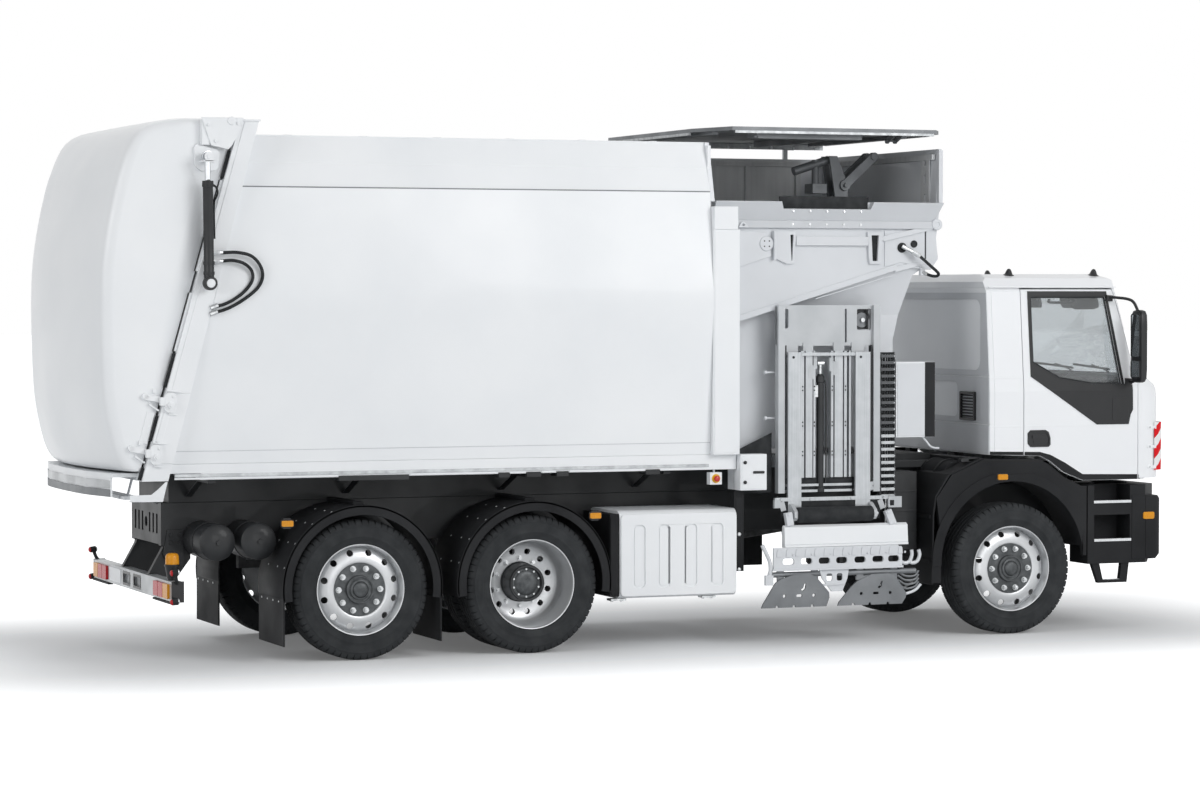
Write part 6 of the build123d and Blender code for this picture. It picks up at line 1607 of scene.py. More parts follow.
def makeWarningPlate(name, side):
    # film on the marker plate at each front corner
    axle = cab["axle"]
    deck = cab["deck"]
    film, brackets = bmesh.new(), bmesh.new()
    route = [(1.326, -0.006), (1.37, 0.004), (1.408, 0.028), (1.436, 0.07), (1.45, 0.135), (1.4558, 0.245),
             (1.4608, 0.318)]
    rings = []
    for ahead, inboard in route:
        ring = []
        inner = -0.0016 if ahead < 1.44 else 0.0
        for up, out in ((0.135, inner), (0.533, inner), (0.533, 0.0006), (0.135, 0.0006)):
            ring.append(film.verts.new((axle + ahead + out * 0.5 - 0.0004,
                                        side * (1.2 - inboard + out + 0.0006), deck + up)))
        rings.append(ring)
    addLoft(film, rings)
    makePiece("warningFilm" + name, film, "warningSheeting", "cab", smooth=20)
    for up in (0.16, 0.33, 0.49):
        addBar(brackets, (axle + 1.262, side * 1.2015, deck + up), (axle + 1.345, side * 1.2015, deck + up),
               0.008, 0.026)
        addBolt(brackets, (axle + 1.285, side * 1.2055, deck + up), (0, side, 0), 0.013, 0.006, 1)
    makePiece("warningPlateBrackets" + name, brackets, ["cabEnamel", "zincPlate"], "cab", "white_paint",
              bevel=1)


def makeCabRear():
    sheetOut, sheetThick = 1.193, 0.007
    sheet = cab["axle"] - 0.215
    back = lambda a, b, d: (sheet - d, a, b)
    pressed = bmesh.new()
    # pressed panels: a wide upper field and two bands below it
    outer = [(-1.192, 2.118), (1.192, 2.118), (1.136, 2.8), (-1.136, 2.8)]
    addSlab(pressed, outer, [roundedLoop((-1.04, 2.165), (1.04, 2.745), 0.085, 6)], back, sheetThick)
    addSlab(pressed, [(-sheetOut, 1.728), (sheetOut, 1.728), (sheetOut, 2.108), (-sheetOut, 2.108)],
            [roundedLoop((-0.64, 1.775), (0.64, 2.062), 0.05, 5)], back, sheetThick)
    addSlab(pressed, [(-sheetOut, 1.486), (sheetOut, 1.486), (sheetOut, 1.718), (-sheetOut, 1.718)], [],
            back, sheetThick)
    # the pressings take the greyer enamel as painted shade on the cab's back wall
    makePiece("cabRearPressings", pressed, "dullEnamel", "cab", bevel=2)
    vent = bmesh.new()
    for side in (-1, 1):
        y0, y1 = sorted((side * 0.715, side * 0.975))
        addSlab(vent, roundedLoop((y0, 1.748), (y1, 1.985), 0.012),
                [roundedLoop((y0 + 0.02, 1.768), (y1 - 0.02, 1.965), 0.006)],
                lambda a, b, d: (sheet - 0.006 - d, a, b), 0.022)
        for n in range(8):
            z = 1.782 + 0.0245 * n
            addBar(vent, (sheet - 0.016, y0 + 0.018, z), (sheet - 0.016, y1 - 0.018, z), 0.014, 0.005,
                   side=(1, 0, 0.8))
    makePiece("cabRearVents", vent, "blackAbs", "cab", bevel=1)


def makeRoofMarkers():
    # small black marker lamps along the roof's edges
    bm = bmesh.new()
    for along in (3.247, 4.045):
        for side in (-1, 1):
            foot = Vector((along, side * 0.93, 2.94))
            profile = [(-0.006, 0.0), (-0.006, 0.047), (0.006, 0.046), (0.012, 0.034), (0.04, 0.022),
                       (0.054, 0.014), (0.06, 0.0)]
            addTurned(bm, profile, foot, (0, side * 0.18, 1), 20)
    makePiece("roofMarkers", bm, "blackAbs", "cab", smooth=50)


def makeWindscreenTrim():
    gasket, wipers = bmesh.new(), bmesh.new()
    loop = []
    low, high = 0.926, 1.61
    corners = [(-1.04, low), (1.04, low), (0.96, high), (-0.96, high), (-1.04, low)]
    for (y0, z0), (y1, z1) in zip(corners, corners[1:]):
        for n in range(14):
            t = n / 14
            loop.append(nosePoint(y0 + (y1 - y0) * t, z0 + (z1 - z0) * t, 0.001))
    loop.append(loop[0].copy())
    addPipe(gasket, loop, 0.012, 8)
    makePiece("windscreenGasket", gasket, "softRubber", "cab")
    for pivot in (-0.62, 0.02):
        heel = nosePoint(pivot, 0.86, 0.006)
        addRound(wipers, heel - Vector((0.012, 0, 0)), heel + Vector((0.024, 0, 0)), 0.02, 16)
        arm = [heel + Vector((0.018, 0, 0)), nosePoint(pivot + 0.16, 0.95, 0.04),
               nosePoint(pivot + 0.36, 0.992, 0.026)]
        addPipe(wipers, curvedLine(arm, 5), 0.008, 8)
        blade = [nosePoint(pivot + 0.04 + 0.62 * n / 8, 0.962 + 0.004 * n, 0.016) for n in range(9)]
        for a, b in zip(blade, blade[1:]):
            addBar(wipers, a, b + (b - a) * 0.02, 0.01, 0.018, side=(1, 0, 0.3))
    makePiece("wipers", wipers, "blackAbs", "cab", bevel=1)
    scuttle = bmesh.new()
    addNoseSheet(scuttle, (-1.06, 0.828), (1.06, 0.894), 0.005, 16)
    makePiece("scuttlePanel", scuttle, "blackAbs", "cab", bevel=1.5)


def makeGrille():
    slats, bars = bmesh.new(), bmesh.new()
    addNoseSheet(slats, (-0.64, 0.13), (0.64, 0.64), 0.004, 18)
    for n in range(9):
        up = 0.16 + 0.056 * n
        addNoseSheet(slats, (-0.6, up), (0.6, up + 0.012), 0.022, 14, 0.003)
    for side in (-1, 1):
        for n in range(9):
            base = nosePoint(side * 0.59, 0.16 + 0.056 * n, 0.02)
            addBar(slats, base - Vector((0.016, 0, 0)), base + Vector((0.002, 0, 0)), 0.02, 0.05)
    makePiece("grille", slats, "blackAbs", "cab", bevel=1.5)
    # smooth enamelled hood edge over the grille and a plain lower panel line
    addNoseSheet(bars, (-0.7, 0.652), (0.7, 0.7), 0.012, 18)
    addNoseSheet(bars, (-1.04, 0.096), (1.04, 0.112), 0.005, 18)
    for side in (-1, 1):
        addNoseSheet(bars, (side * 0.7, 0.13), (side * 0.664, 0.652), 0.008, 3)
    makePiece("grilleSurround", bars, "cabEnamel", "cab", bevel=2)


def makeFrontWings():
    # axis of the air filter, and the outer and inner edges of the rear sheet
    filterAlong, filterUp, sheetOut, sheetIn = 2.735, 1.262, 1.196, 0.56
    # flared lip round the arch, rear mudflap sheet and inner closing panels
    flare, flap = bmesh.new(), bmesh.new()
    centre, radius = (cab["axle"], 0.6), 0.655
    for side in (-1, 1):
        lip = []
        for n in range(25):
            turn = radians(-2 + 184 * n / 24)
            lip.append((cos(turn), sin(turn)))
        outer = [(centre[0] + c * (radius + 0.085), centre[1] + s * (radius + 0.085)) for c, s in lip]
        inner = [(centre[0] + c * (radius + 0.001), centre[1] + s * (radius + 0.001)) for c, s in lip]
        loop = [p for p in outer if p[0] < 3.836 and p[1] < 1.33] + list(reversed(inner))
        loop = [(min(x, 3.836), z) for x, z in loop]
        addSidePlate(flare, loop, [], side * 1.2005, 0.006)
        # lower rear leg below the wing
        leg = [(2.405, 0.44), (2.494, 0.44), (2.4935, 0.72), (2.45, 0.72), (2.412, 0.7)]
        addSidePlate(flap, leg, [], side * 1.15, 0.05)
        route = [(2.412, 0.434), (2.414, 0.7), (2.418, 1.0), (2.44, 1.15), (2.56, 1.325), (2.86, 1.452)]
        sheet = []
        for x, z in route:
            sheet.append([flap.verts.new((x, side * sheetIn, z)), flap.verts.new((x, side * sheetOut, z)),
                          flap.verts.new((x + 0.014, side * sheetOut, z - 0.01)),
                          flap.verts.new((x + 0.014, side * sheetIn, z - 0.01))])
        addLoft(flap, sheet)
        for z in (0.62, 0.98):
            addBar(flap, (2.408, side * 0.6, z), (2.408, side * 1.17, z), 0.01, 0.03, side=(1, 0, 0))
    makePiece("frontWingFlares", flare, "mouldedPolypropylene", bevel=2)
    makePiece("frontWingRearSheets", flap, "mouldedPolypropylene", bevel=2)
    # air filter and duct behind the cab fill the space over the frame
    airFilter = bmesh.new()
    profile = [(0.0, 0.0), (0.0, 0.15), (0.03, 0.165), (0.3, 0.165), (0.312, 0.172), (0.328, 0.172),
               (0.338, 0.16), (0.47, 0.15), (0.49, 0.0)]
    addTurned(airFilter, profile, (filterAlong, -1.01, filterUp), (0, 1, 0), 28)
    addPipe(airFilter, curvedLine([(filterAlong, -0.56, filterUp), (2.74, -0.42, filterUp),
                                   (2.8, -0.3, 1.3), (2.905, -0.26, 1.3)], 5), 0.06, 14)
    for y in (-0.9, -0.66):
        addTurned(airFilter, [(-0.014, 0.169), (0.014, 0.169), (0.014, 0.176), (-0.014, 0.176)],
                  (filterAlong, y, filterUp), (0, 1, 0), 28, 0, True)
    makePiece("airFilter", airFilter, "mouldedPolypropylene", bevel=1.5, smooth=40)


def makeCornerDeflectors():
    # air deflectors that square off the cab's front corners
    outer = [(1.186, 1.2005), (1.245, 1.201), (1.3, 1.2), (1.34, 1.192), (1.368, 1.168), (1.38, 1.125),
             (1.383, 1.06), (1.374, 0.98), (1.345, 0.93)]
    inner = [(1.186, 1.195), (1.215, 1.175), (1.24, 1.156), (1.258, 1.135), (1.268, 1.12), (1.275, 1.09),
             (1.28, 1.05), (1.285, 0.99), (1.29, 0.94)]
    levels = [(0.07, 0.95), (0.085, 1.0), (0.3, 1.0), (0.56, 1.0), (0.74, 0.98), (0.81, 0.92), (0.85, 0.76),
              (0.885, 0.52), (0.93, 0.26), (1.0, 0.06)]
    for name, side in sides.items():
        bm = bmesh.new()
        rings = []
        for up, share in levels:
            lean = max(0.0, up - 0.86) * 0.5
            ring = []
            for (a0, y0), (a1, y1) in zip(outer, inner):
                ring.append((a1 + (a0 - a1) * share - lean, y1 + (y0 - y1) * share))
            ring += [(a - 0.02 - lean, y - 0.01) for a, y in reversed(inner)]
            rings.append([bm.verts.new((cab["axle"] + a, side * y, cab["deck"] + up)) for a, y in ring])
        addLoft(bm, rings)
        makePiece("cornerDeflector" + name, bm, "cabEnamel", "cab", "cab_paint", smooth=50)
        # moulded corner of the bumper, with its side lamp
        corner, lamp = bmesh.new(), bmesh.new()
        plan = [(4.396, 1.197), (4.4, 1.2005), (4.5, 1.2), (4.535, 1.188), (4.553, 1.16), (4.557, 1.1),
                (4.557, 1.04), (4.54, 1.03)]
        for z0, z1 in ((0.585, 0.625), (0.625, 1.085), (1.085, 1.112)):
            low = 0.03 if z0 < 0.6 else 0.0
            high = 0.016 if z1 > 1.1 else 0.0
            rows = [[corner.verts.new((x - cut * (x > 4.45), side * (y - cut * 0.3 * (y > 1.15)), z))
                     for x, y in plan] for z, cut in ((z0, low), (z1, high))]
            for n in range(len(plan)):
                m = (n + 1) % len(plan)
                corner.faces.new((rows[0][n], rows[0][m], rows[1][m], rows[1][n]))
            if z0 < 0.6:
                corner.faces.new(rows[0])
            if z1 > 1.1:
                corner.faces.new(rows[1])
        makePiece("bumperCorner" + name, corner, "mouldedPolypropylene", smooth=40)
        addSlab(lamp, roundedLoop((4.372, 0.918), (4.476, 0.976), 0.014), [],
                lambda a, b, d: (a, side * (1.2004 + d), b), 0.012)
        makePiece("bumperSideLamp" + name, lamp, "amberLens", bevel=3)


def makeSteps():
    treads, cladding = bmesh.new(), bmesh.new()
    for side in (-1, 1):
        for z, start, end in ((1.068, 3.908, 4.262), (0.75, 3.912, 4.262)):
            addBar(treads, (start, side * 1.1955, z), (end, side * 1.1955, z), 0.012, 0.022)
            addBlock(treads, (start + 0.002, min(side * 0.985, side * 1.19), z - 0.012),
                     (end - 0.002, max(side * 0.985, side * 1.19), z - 0.002))
            for n in range(16):
                x = start + 0.012 + n * (end - start - 0.024) / 15
                addBar(treads, (x, side * 1.19, z - 0.001), (x, side * 1.01, z - 0.001), 0.007, 0.007,
                       side=(1, 0, 0))
        addBar(treads, (3.968, side * 1.162, 0.421), (4.222, side * 1.162, 0.421), 0.034, 0.006)
        # grab rail and corner cladding on the bumper
        clad = [(4.268, 0.585), (4.268, 1.118), (4.3925, 1.118), (4.3925, 0.585)]
        addSidePlate(cladding, clad, [], side * 1.2002, 0.004)
        for z0, z1 in ((0.6, 0.85), (0.87, 1.112)):
            a, b = Vector((4.4, side * 1.197, 0)), Vector((4.548, side * 1.049, 0))
            out = Vector((0.7071, side * 0.7071, 0)) * 0.004
            low, high = Vector((0, 0, z0)), Vector((0, 0, z1))
            addHull(cladding, [a + low, b + low, b + low + out, a + low + out, a + high, b + high,
                               b + high + out, a + high + out])
    makePiece("stepTreads", treads, "brushedAluminium", bevel=0.8)
    makePiece("bumperCornerCladding", cladding, "mouldedPolypropylene", bevel=2)


def makeFrontLamps():
    bezel, lens, amber = (bmesh.new() for n in range(3))
    face = 4.5545
    for side in (-1, 1):
        y0, y1 = sorted((side * 0.6, side * 1.0))
        out = lambda a, b, d: (face + 0.018 - d, a, b)
        recess = roundedLoop((y0 + 0.014, 0.814), (y1 - 0.014, 1.016), 0.026)
        addSlab(bezel, roundedLoop((y0, 0.8), (y1, 1.03), 0.035), [recess], out, 0.018)
        addSlab(bezel, recess, [], lambda a, b, d: (face + 0.003 - d, a, b), 0.003)
        for middle, radius in ((0.705, 0.078), (0.875, 0.07)):
            centre = (face + 0.003, side * middle, 0.915)
            addTurned(bezel, [(0.0, radius), (0.014, radius), (0.014, radius - 0.008),
                              (0.0, radius - 0.014)], centre, (1, 0, 0), 28, 0, True)
            addTurned(lens, [(0.001, radius - 0.012), (0.008, radius - 0.012), (0.016, radius * 0.55),
                             (0.018, 0.0)], centre, (1, 0, 0), 28)
        strip = inOrder((side * 0.965, 0.838), (side * 0.985, 0.992))
        addSlab(amber, roundedLoop(*strip, 0.006), [], lambda a, b, d: (face + 0.014 - d, a, b), 0.011)
        # round fog lamp low in the corner
        fog = (4.548, side * 0.76, 0.72)
        addTurned(bezel, [(-0.004, 0.0), (-0.004, 0.06), (0.006, 0.06), (0.01, 0.052), (0.004, 0.05),
                          (0.003, 0.0)], fog, (1, 0, 0), 28)
        addTurned(lens, [(0.002, 0.049), (0.006, 0.046), (0.012, 0.025), (0.013, 0.0)], fog, (1, 0, 0), 28)
    makePiece("headlampBezels", bezel, "blackAbs", bevel=1)
    makePiece("headlampLenses", lens, "clearLens")
    makePiece("headlampIndicators", amber, "amberLens", bevel=1)
    # blank number plate, lower intake slots and towing pin
    intake, plate = bmesh.new(), bmesh.new()
    for z in (0.905, 0.96, 1.015, 1.07):
        addBlock(intake, (face - 0.002, -0.52, z), (face + 0.008, 0.52, z + 0.022))
    for y in (0.36, -0.36):
        addRound(intake, (face - 0.01, y, 0.75), (face + 0.012, y, 0.75), 0.034)
    makePiece("bumperIntake", intake, "blackAbs", bevel=2)
    addSlab(plate, roundedLoop((-0.26, 0.775), (0.26, 0.885), 0.01), [],
            lambda a, b, d: (face + 0.006 - d, a, b), 0.005)
    makePiece("frontPlateBlank", plate, "coachEnamel", bevel=1)


def inOrder(one, other):
    return (min(one[0], other[0]), min(one[1], other[1])), (max(one[0], other[0]), max(one[1], other[1]))


for sideName, sideSign in sides.items():
    makeDoorTrim(sideName, sideSign)
    makeMirror(sideName, sideSign)
    makeWarningPlate(sideName, sideSign)
makeCabRear()
makeRoofMarkers()
makeWindscreenTrim()
makeGrille()
makeFrontWings()
makeCornerDeflectors()
makeSteps()
makeFrontLamps()
print("cab detailed")


# container seams, posts and floor rail
container = {
    "front": 0.4545,
    # height, half width, bead height, how proud it stands, finish
    # the grey bead at 3.597 is a painted shadow line along the seam under the roof edge, and the bead at
    # 1.616 takes the greyer enamel as painted shade
    "seams": [(3.597, 1.172, 0.009, 0.005, "plateGrey"), (3.783, 1.1137, 0.01, 0.002, "coachEnamel"),
              (1.616, 1.182, 0.005, 0.004, "dullEnamel"), (3.985, 1.052, 0.012, 0.003, "coachEnamel")],
    "rail": (1.404, 1.446),
}


def postFront(z):
    return gateLine(z) + 0.2 * (1 - 0.28 * (z - 1.39) / 2.705)


def makeContainerSkins():
    # outer sheets of the sides, folded over a soft radius where the wall leans back in
    for name, side in sides.items():
        bm = bmesh.new()
        stations = [(1.522, 1.1745), (1.61, 1.18), (2.0, 1.2044), (2.62, 1.2428), (2.66, 1.2451),
                    (2.7, 1.247), (2.73, 1.2479), (2.76, 1.2481), (2.79, 1.2475), (2.82, 1.246),
                    (2.86, 1.243), (2.9, 1.2395), (3.2, 1.2113), (3.592, 1.1745)]
        rings = []
        for z, y in stations:
            rings.append([bm.verts.new((x, side * (y + out), z)) for out in (0.0, 0.003)
                          for x in ((postFront(z) + 0.003, 0.4525) if not out
                                    else (0.4525, postFront(z) + 0.003))])
        addLoft(bm, rings)
        makePiece("containerSkin" + name, bm, "coachEnamel", smooth=25)


def makeContainerSeams():
    groups = {}
    for z, half, height, proud, finish in container["seams"]:
        bm = groups.setdefault(finish, bmesh.new())
        start = postFront(z) + 0.004
        for side in (-1, 1):
            y = side * (half + proud / 2 - 0.001)
            addBar(bm, (start, y, z), (container["front"] - 0.002, y, z), proud + 0.002, height)
    for finish, bm in groups.items():
        makePiece("containerSeam" + finish[0].upper() + finish[1:], bm, finish, slot="white_paint",
                  bevel=0.6)


def makePostPlates():
    # cover plates on the raked rear posts, stepped below the break
    bm = bmesh.new()
    for side in (-1, 1):
        for low, high, grow in ((2.052, 4.078, 0.005), (1.532, 2.044, 0.008)):
            outline = [(gateLine(low) + 0.036, low), (postFront(low), low), (postFront(high), high),
                       (gateLine(high) + 0.036, high)]
            addSidePlate(bm, outline, [], side * 1.2502, grow)
        # short cap on top of the post
        top = [(gateLine(4.08) + 0.02, 4.08), (postFront(4.08) + 0.01, 4.08),
               (postFront(4.094) + 0.01, 4.094), (gateLine(4.094) + 0.02, 4.094)]
        addSidePlate(bm, top, [], side * 1.18, 0.078)
    makePiece("rearPostPlates", bm, "coachEnamel", bevel=1.5)
    front = bmesh.new()
    for side in (-1, 1):
        addSidePlate(front, [(0.462, 1.535), (0.672, 1.535), (0.672, 3.285), (0.462, 3.285)], [],
                     side * 1.2502, 0.004)
        addBar(front, (0.4535, side * 1.243, 1.535), (0.4535, side * 1.243, 3.285), 0.01, 0.006)
    makePiece("frontPostPlates", front, "coachEnamel", bevel=1.5)


def makeFloorRail():
    rail, dark, bright = (bmesh.new() for n in range(3))
    low, high = container["rail"]
    for side in (-1, 1):
        y0, y1 = sorted((side * 1.176, side * 1.186))
        addBlock(rail, (-3.9, y0, low + 0.018), (0.44, y1, high))
        for start, end in ((-3.9, -2.63), (-2.05, -1.34), (-0.97, -0.86), (-0.74, -0.6)):
            addBlock(bright, (start, y0, low), (end, y1, low + 0.015))
        # rubber mounts and lashing brackets on the subframe
        for start, end in ((-2.62, -2.06), (-1.33, -1.24), (-1.1, -0.98), (-0.85, -0.75), (-0.1, 0.02)):
            a0, a1 = sorted((side * 1.05, side * 1.192))
            addBlock(dark, (start, a0, 1.372), (end, a1, 1.412))
        for x in (-3.6, -2.34, -1.05, 0.1):
            addBar(dark, (x, side * 0.46, 1.385), (x, side * 1.14, 1.385), 0.06, 0.028, side=(1, 0, 0))
            addBar(dark, (x, side * 0.47, 1.24), (x, side * 0.8, 1.372), 0.05, 0.012, side=(1, 0, 0))
    makePiece("floorRailStrips", rail, "galvanised", slot="white_paint", bevel=1)
    makePiece("floorRailEdges", bright, "coachEnamel", bevel=1)
    makePiece("floorBrackets", dark, "chassisLacquer", bevel=2)


def makeRoofRibs():
    # pressed stiffeners across the roof
    bm = bmesh.new()
    for n in range(6):
        x = -2.95 + 0.6 * n
        addBlock(bm, (x - 0.03, -0.98, 3.985), (x + 0.03, 0.98, 3.998))
    makePiece("roofRibs", bm, "coachEnamel", bevel=4)


makeContainerSkins()
makeContainerSeams()
makePostPlates()
makeFloorRail()
makeRoofRibs()
print("container detailed")


# chassis: locker, guards, tanks, lamps, rear bar
chassis = {
    "tagAxle": -2.4455, "driveAxle": -1.0505, "guardHeight": 0.55,
    "guardRadius": 0.635, "flange": 0.068,
    # grooves pressed in the locker's cover: rear and front edge
    "grooves": [(-0.219, -0.113), (-0.006, 0.1), (0.221, 0.328), (0.449, 0.555)],
    "grooveHeights": (0.483, 0.977),
    "barRear": -3.9355, "barHeights": (0.495, 0.645),
}


def arcPoints(centre, radius, start, end, count=44):
    return [(centre[0] + radius * cos(radians(start + (end - start) * n / count)),
             centre[1] + radius * sin(radians(start + (end - start) * n / count)))
            for n in range(count + 1)]


def makeLocker():
    face = -1.2003
    cover, ends, feet = (bmesh.new() for n in range(3))
    low, high = chassis["grooveHeights"]
    holes = [roundedLoop((a, low), (b, high), 0.036, 5) for a, b in chassis["grooves"]]
    addSidePlate(cover, roundedLoop((-0.318, 0.42), (0.666, 1.062), 0.03), holes, face, 0.012)
    for a, b in chassis["grooves"]:
        addSidePlate(cover, roundedLoop((a + 0.016, low + 0.016), (b - 0.016, high - 0.016), 0.02), [],
                     face, 0.004)
    makePiece("lockerCover", cover, "coachEnamel", bevel=5)
    addBlock(ends, (-0.404, -1.188, 0.42), (-0.3275, -0.62, 1.066))
    addSidePlate(ends, roundedLoop((-0.398, 0.44), (-0.334, 1.046), 0.014), [], -1.189, 0.006)
    addBlock(ends, (0.6755, -1.15, 0.585), (0.7595, -1.062, 1.225))
    addBlock(ends, (0.69, -1.154, 0.64), (0.745, -1.148, 1.18))
    makePiece("lockerEndPanels", ends, "mouldedPolypropylene", bevel=4)
    for start, end in ((-0.38, -0.25), (0.4, 0.52)):
        addBlock(feet, (start, -1.15, 0.382), (end, -1.06, 0.399))
        for x in (start + 0.025, end - 0.025):
            addBolt(feet, (x, -1.105, 0.383), (0, 0, -1), 0.02, 0.01)
    for z in (0.6, 0.88):
        addTurned(feet, [(0, 0.0), (0, 0.016), (0.008, 0.016), (0.012, 0.01), (0.012, 0.0)],
                  (0.7175, -1.15, z), (0, -1, 0), 16)
    makePiece("lockerFeet", feet, "zincPlate", bevel=0.8)


def makeGuards():
    bands, rivets = bmesh.new(), bmesh.new()
    height, radius = chassis["guardHeight"], chassis["guardRadius"]
    inside = radius - chassis["flange"]
    for axle in (chassis["tagAxle"], chassis["driveAxle"]):
        for side in (-1, 1):
            centre = (axle, height)
            outer = arcPoints(centre, radius + 0.004, -8, 188)
            inner = arcPoints(centre, inside, 188, -8)
            addSidePlate(bands, outer + inner, [], side * 1.236, 0.009)
            # rolled bead round the edge
            bead = [(x, side * 1.24, z) for x, z in arcPoints(centre, inside, -8, 188)]
            addPipe(bands, bead, 0.006, 8)
            for turn in (112, 128, 146, 164):
                for y in (1.2, 1.02, 0.78):
                    out = Vector((cos(radians(turn)), 0, sin(radians(turn))))
                    place = Vector((axle, side * y, height)) + out * (radius - 0.001)
                    addTurned(rivets, [(0, 0.008), (0.003, 0.007), (0.005, 0.0)], place, out, 10)
            flapFoot = axle - radius if axle == chassis["tagAxle"] else -1.813
            for n in range(4):
                addTurned(rivets, [(0, 0.008), (0.003, 0.007), (0.005, 0.0)],
                          (flapFoot - 0.006, side * (0.7 + 0.15 * n), 0.468), (-1, 0, 0), 10)
    makePiece("mudguardBands", bands, "mouldedPolypropylene", bevel=1.5, smooth=30)
    makePiece("mudguardRivets", rivets, "zincPlate", smooth=50)


def makeSideMarkers():
    lamps, holders = bmesh.new(), bmesh.new()
    places = [((-3.048, 1.062), 1.245), ((-0.553, 1.064), 1.245), ((3.049, 1.293), 1.201)]
    for side in (-1, 1):
        for (x, z), y in places:
            addSidePlate(holders, roundedLoop((x - 0.052, z - 0.029), (x + 0.052, z + 0.029), 0.012), [],
                         side * y, 0.006)
            addSidePlate(lamps, roundedLoop((x - 0.045, z - 0.022), (x + 0.045, z + 0.022), 0.01), [],
                         side * (y + 0.005), 0.015)
            if y > 1.24:
                addSidePlate(holders, [(x - 0.03, z - 0.04), (x + 0.03, z - 0.04), (x + 0.03, z + 0.04),
                                       (x - 0.03, z + 0.04)], [], side * 1.2, 0.046)
        # lamp on the slanted corner of the bumper
        centre = Vector((4.4325, side * 1.168, 0.94))
        out, along = Vector((0.7071, side * 0.7071, 0)), Vector((0.7071, -side * 0.7071, 0))
        for bm, half, tall, near, far in ((holders, 0.05, 0.029, 0.0, 0.006),
                                          (lamps, 0.043, 0.022, 0.005, 0.018)):
            corners = []
            for depth in (near, far):
                for a, b in ((-half, -tall), (half, -tall), (half, tall), (-half, tall)):
                    corners.append(centre + along * a + Vector((0, 0, b)) + out * depth)
            addHull(bm, corners)
    makePiece("sideMarkerSeats", holders, "blackAbs", bevel=2)
    makePiece("sideMarkerLenses", lamps, "amberLens", bevel=3)


def makeRearBar():
    rear = chassis["barRear"]
    low, high = chassis["barHeights"]
    dark, red, amber, clear, rubber = (bmesh.new() for n in range(5))
    for side in (-1, 1):
        clusters = [(red, 0.745, 0.875), (red, 0.885, 1.015), (amber, 1.025, 1.165)]
        y0, y1 = sorted((side * 0.732, side * 1.178))
        for bm, near, far in clusters:
            a0, a1 = sorted((side * near, side * far))
            addSlab(bm, roundedLoop((a0, low + 0.02), (a1, high - 0.02), 0.01), [],
                    lambda a, b, d: (rear + 0.004 - d, a, b), 0.024)
        # dark end caps with a rubber edge
        e0, e1 = sorted((side * 1.2195, side * 1.23))
        addBlock(dark, (rear - 0.002, e0, low - 0.004), (rear + 0.094, e1, high + 0.004))
        b0, b1 = sorted((side * 0.7, side * 1.22))
        addBlock(rubber, (rear - 0.012, b0, low - 0.016), (rear + 0.03, b1, low - 0.001))
        # soft arms that carry the clearance lamps
        for z, rise in ((high - 0.01, 0.085), (low + 0.02, -0.012)):
            line = [(rear + 0.04, side * 1.226, z), (rear + 0.025, side * 1.262, z + rise * 0.35),
                    (rear + 0.01, side * 1.288, z + rise)]
            addPipe(rubber, curvedLine(line, 5), 0.014, 12)
            tip = Vector(line[-1])
            addTurned(rubber, [(-0.024, 0.0), (-0.024, 0.024), (0.02, 0.026), (0.02, 0.0)], tip,
                      (1, 0, 0.1), 20)
            addTurned(red, [(0.021, 0.023), (0.03, 0.022), (0.038, 0.012), (0.04, 0.0)], tip, (-1, 0, -0.1),
                      20)
            addTurned(clear, [(0.021, 0.022), (0.029, 0.02), (0.034, 0.01), (0.035, 0.0)], tip, (1, 0, 0.1),
                      20)
    # frames in the two recesses, and the blank number plate between
    for y0, y1 in ((-0.3, -0.06), (0.03, 0.27)):
        addSlab(dark, roundedLoop((y0 + 0.006, low + 0.02), (y1 - 0.006, high - 0.02), 0.008),
                [roundedLoop((y0 + 0.024, low + 0.04), (y1 - 0.024, high - 0.04), 0.006)],
                lambda a, b, d: (rear + 0.006 - d, a, b), 0.008)
    makePiece("rearBarHousings", dark, "blackAbs", bevel=1.5)
    makePiece("rearBarRubber", rubber, "softRubber", bevel=1.5)
    makePiece("rearBarRedLenses", red, "redLens", bevel=2)
    makePiece("rearBarAmberLenses", amber, "amberLens", bevel=2)
    makePiece("rearBarClearLenses", clear, "clearLens")
    plate = bmesh.new()
    addSlab(plate, roundedLoop((0.33, low + 0.022), (0.7, high - 0.02), 0.008), [],
            lambda a, b, d: (rear - d, a, b), 0.004)
    makePiece("rearPlateBlank", plate, "coachEnamel", bevel=0.8)
    # amber beacon on a flared stalk at the near end of the bar
    stalk, glow = bmesh.new(), bmesh.new()
    foot = (-3.888, -1.06, high)
    addTurned(stalk, [(-0.002, 0.0), (-0.002, 0.034), (0.006, 0.036), (0.1, 0.054), (0.112, 0.06),
                      (0.12, 0.06), (0.122, 0.0)], foot, (0, 0, 1), 28)
    addTurned(glow, [(0.122, 0.0), (0.122, 0.052), (0.18, 0.05), (0.196, 0.044), (0.204, 0.03),
                     (0.207, 0.0)], foot, (0, 0, 1), 28)
    makePiece("beaconStalk", stalk, "blackAbs", bevel=1)
    makePiece("beaconLens", glow, "amberLens", smooth=50)


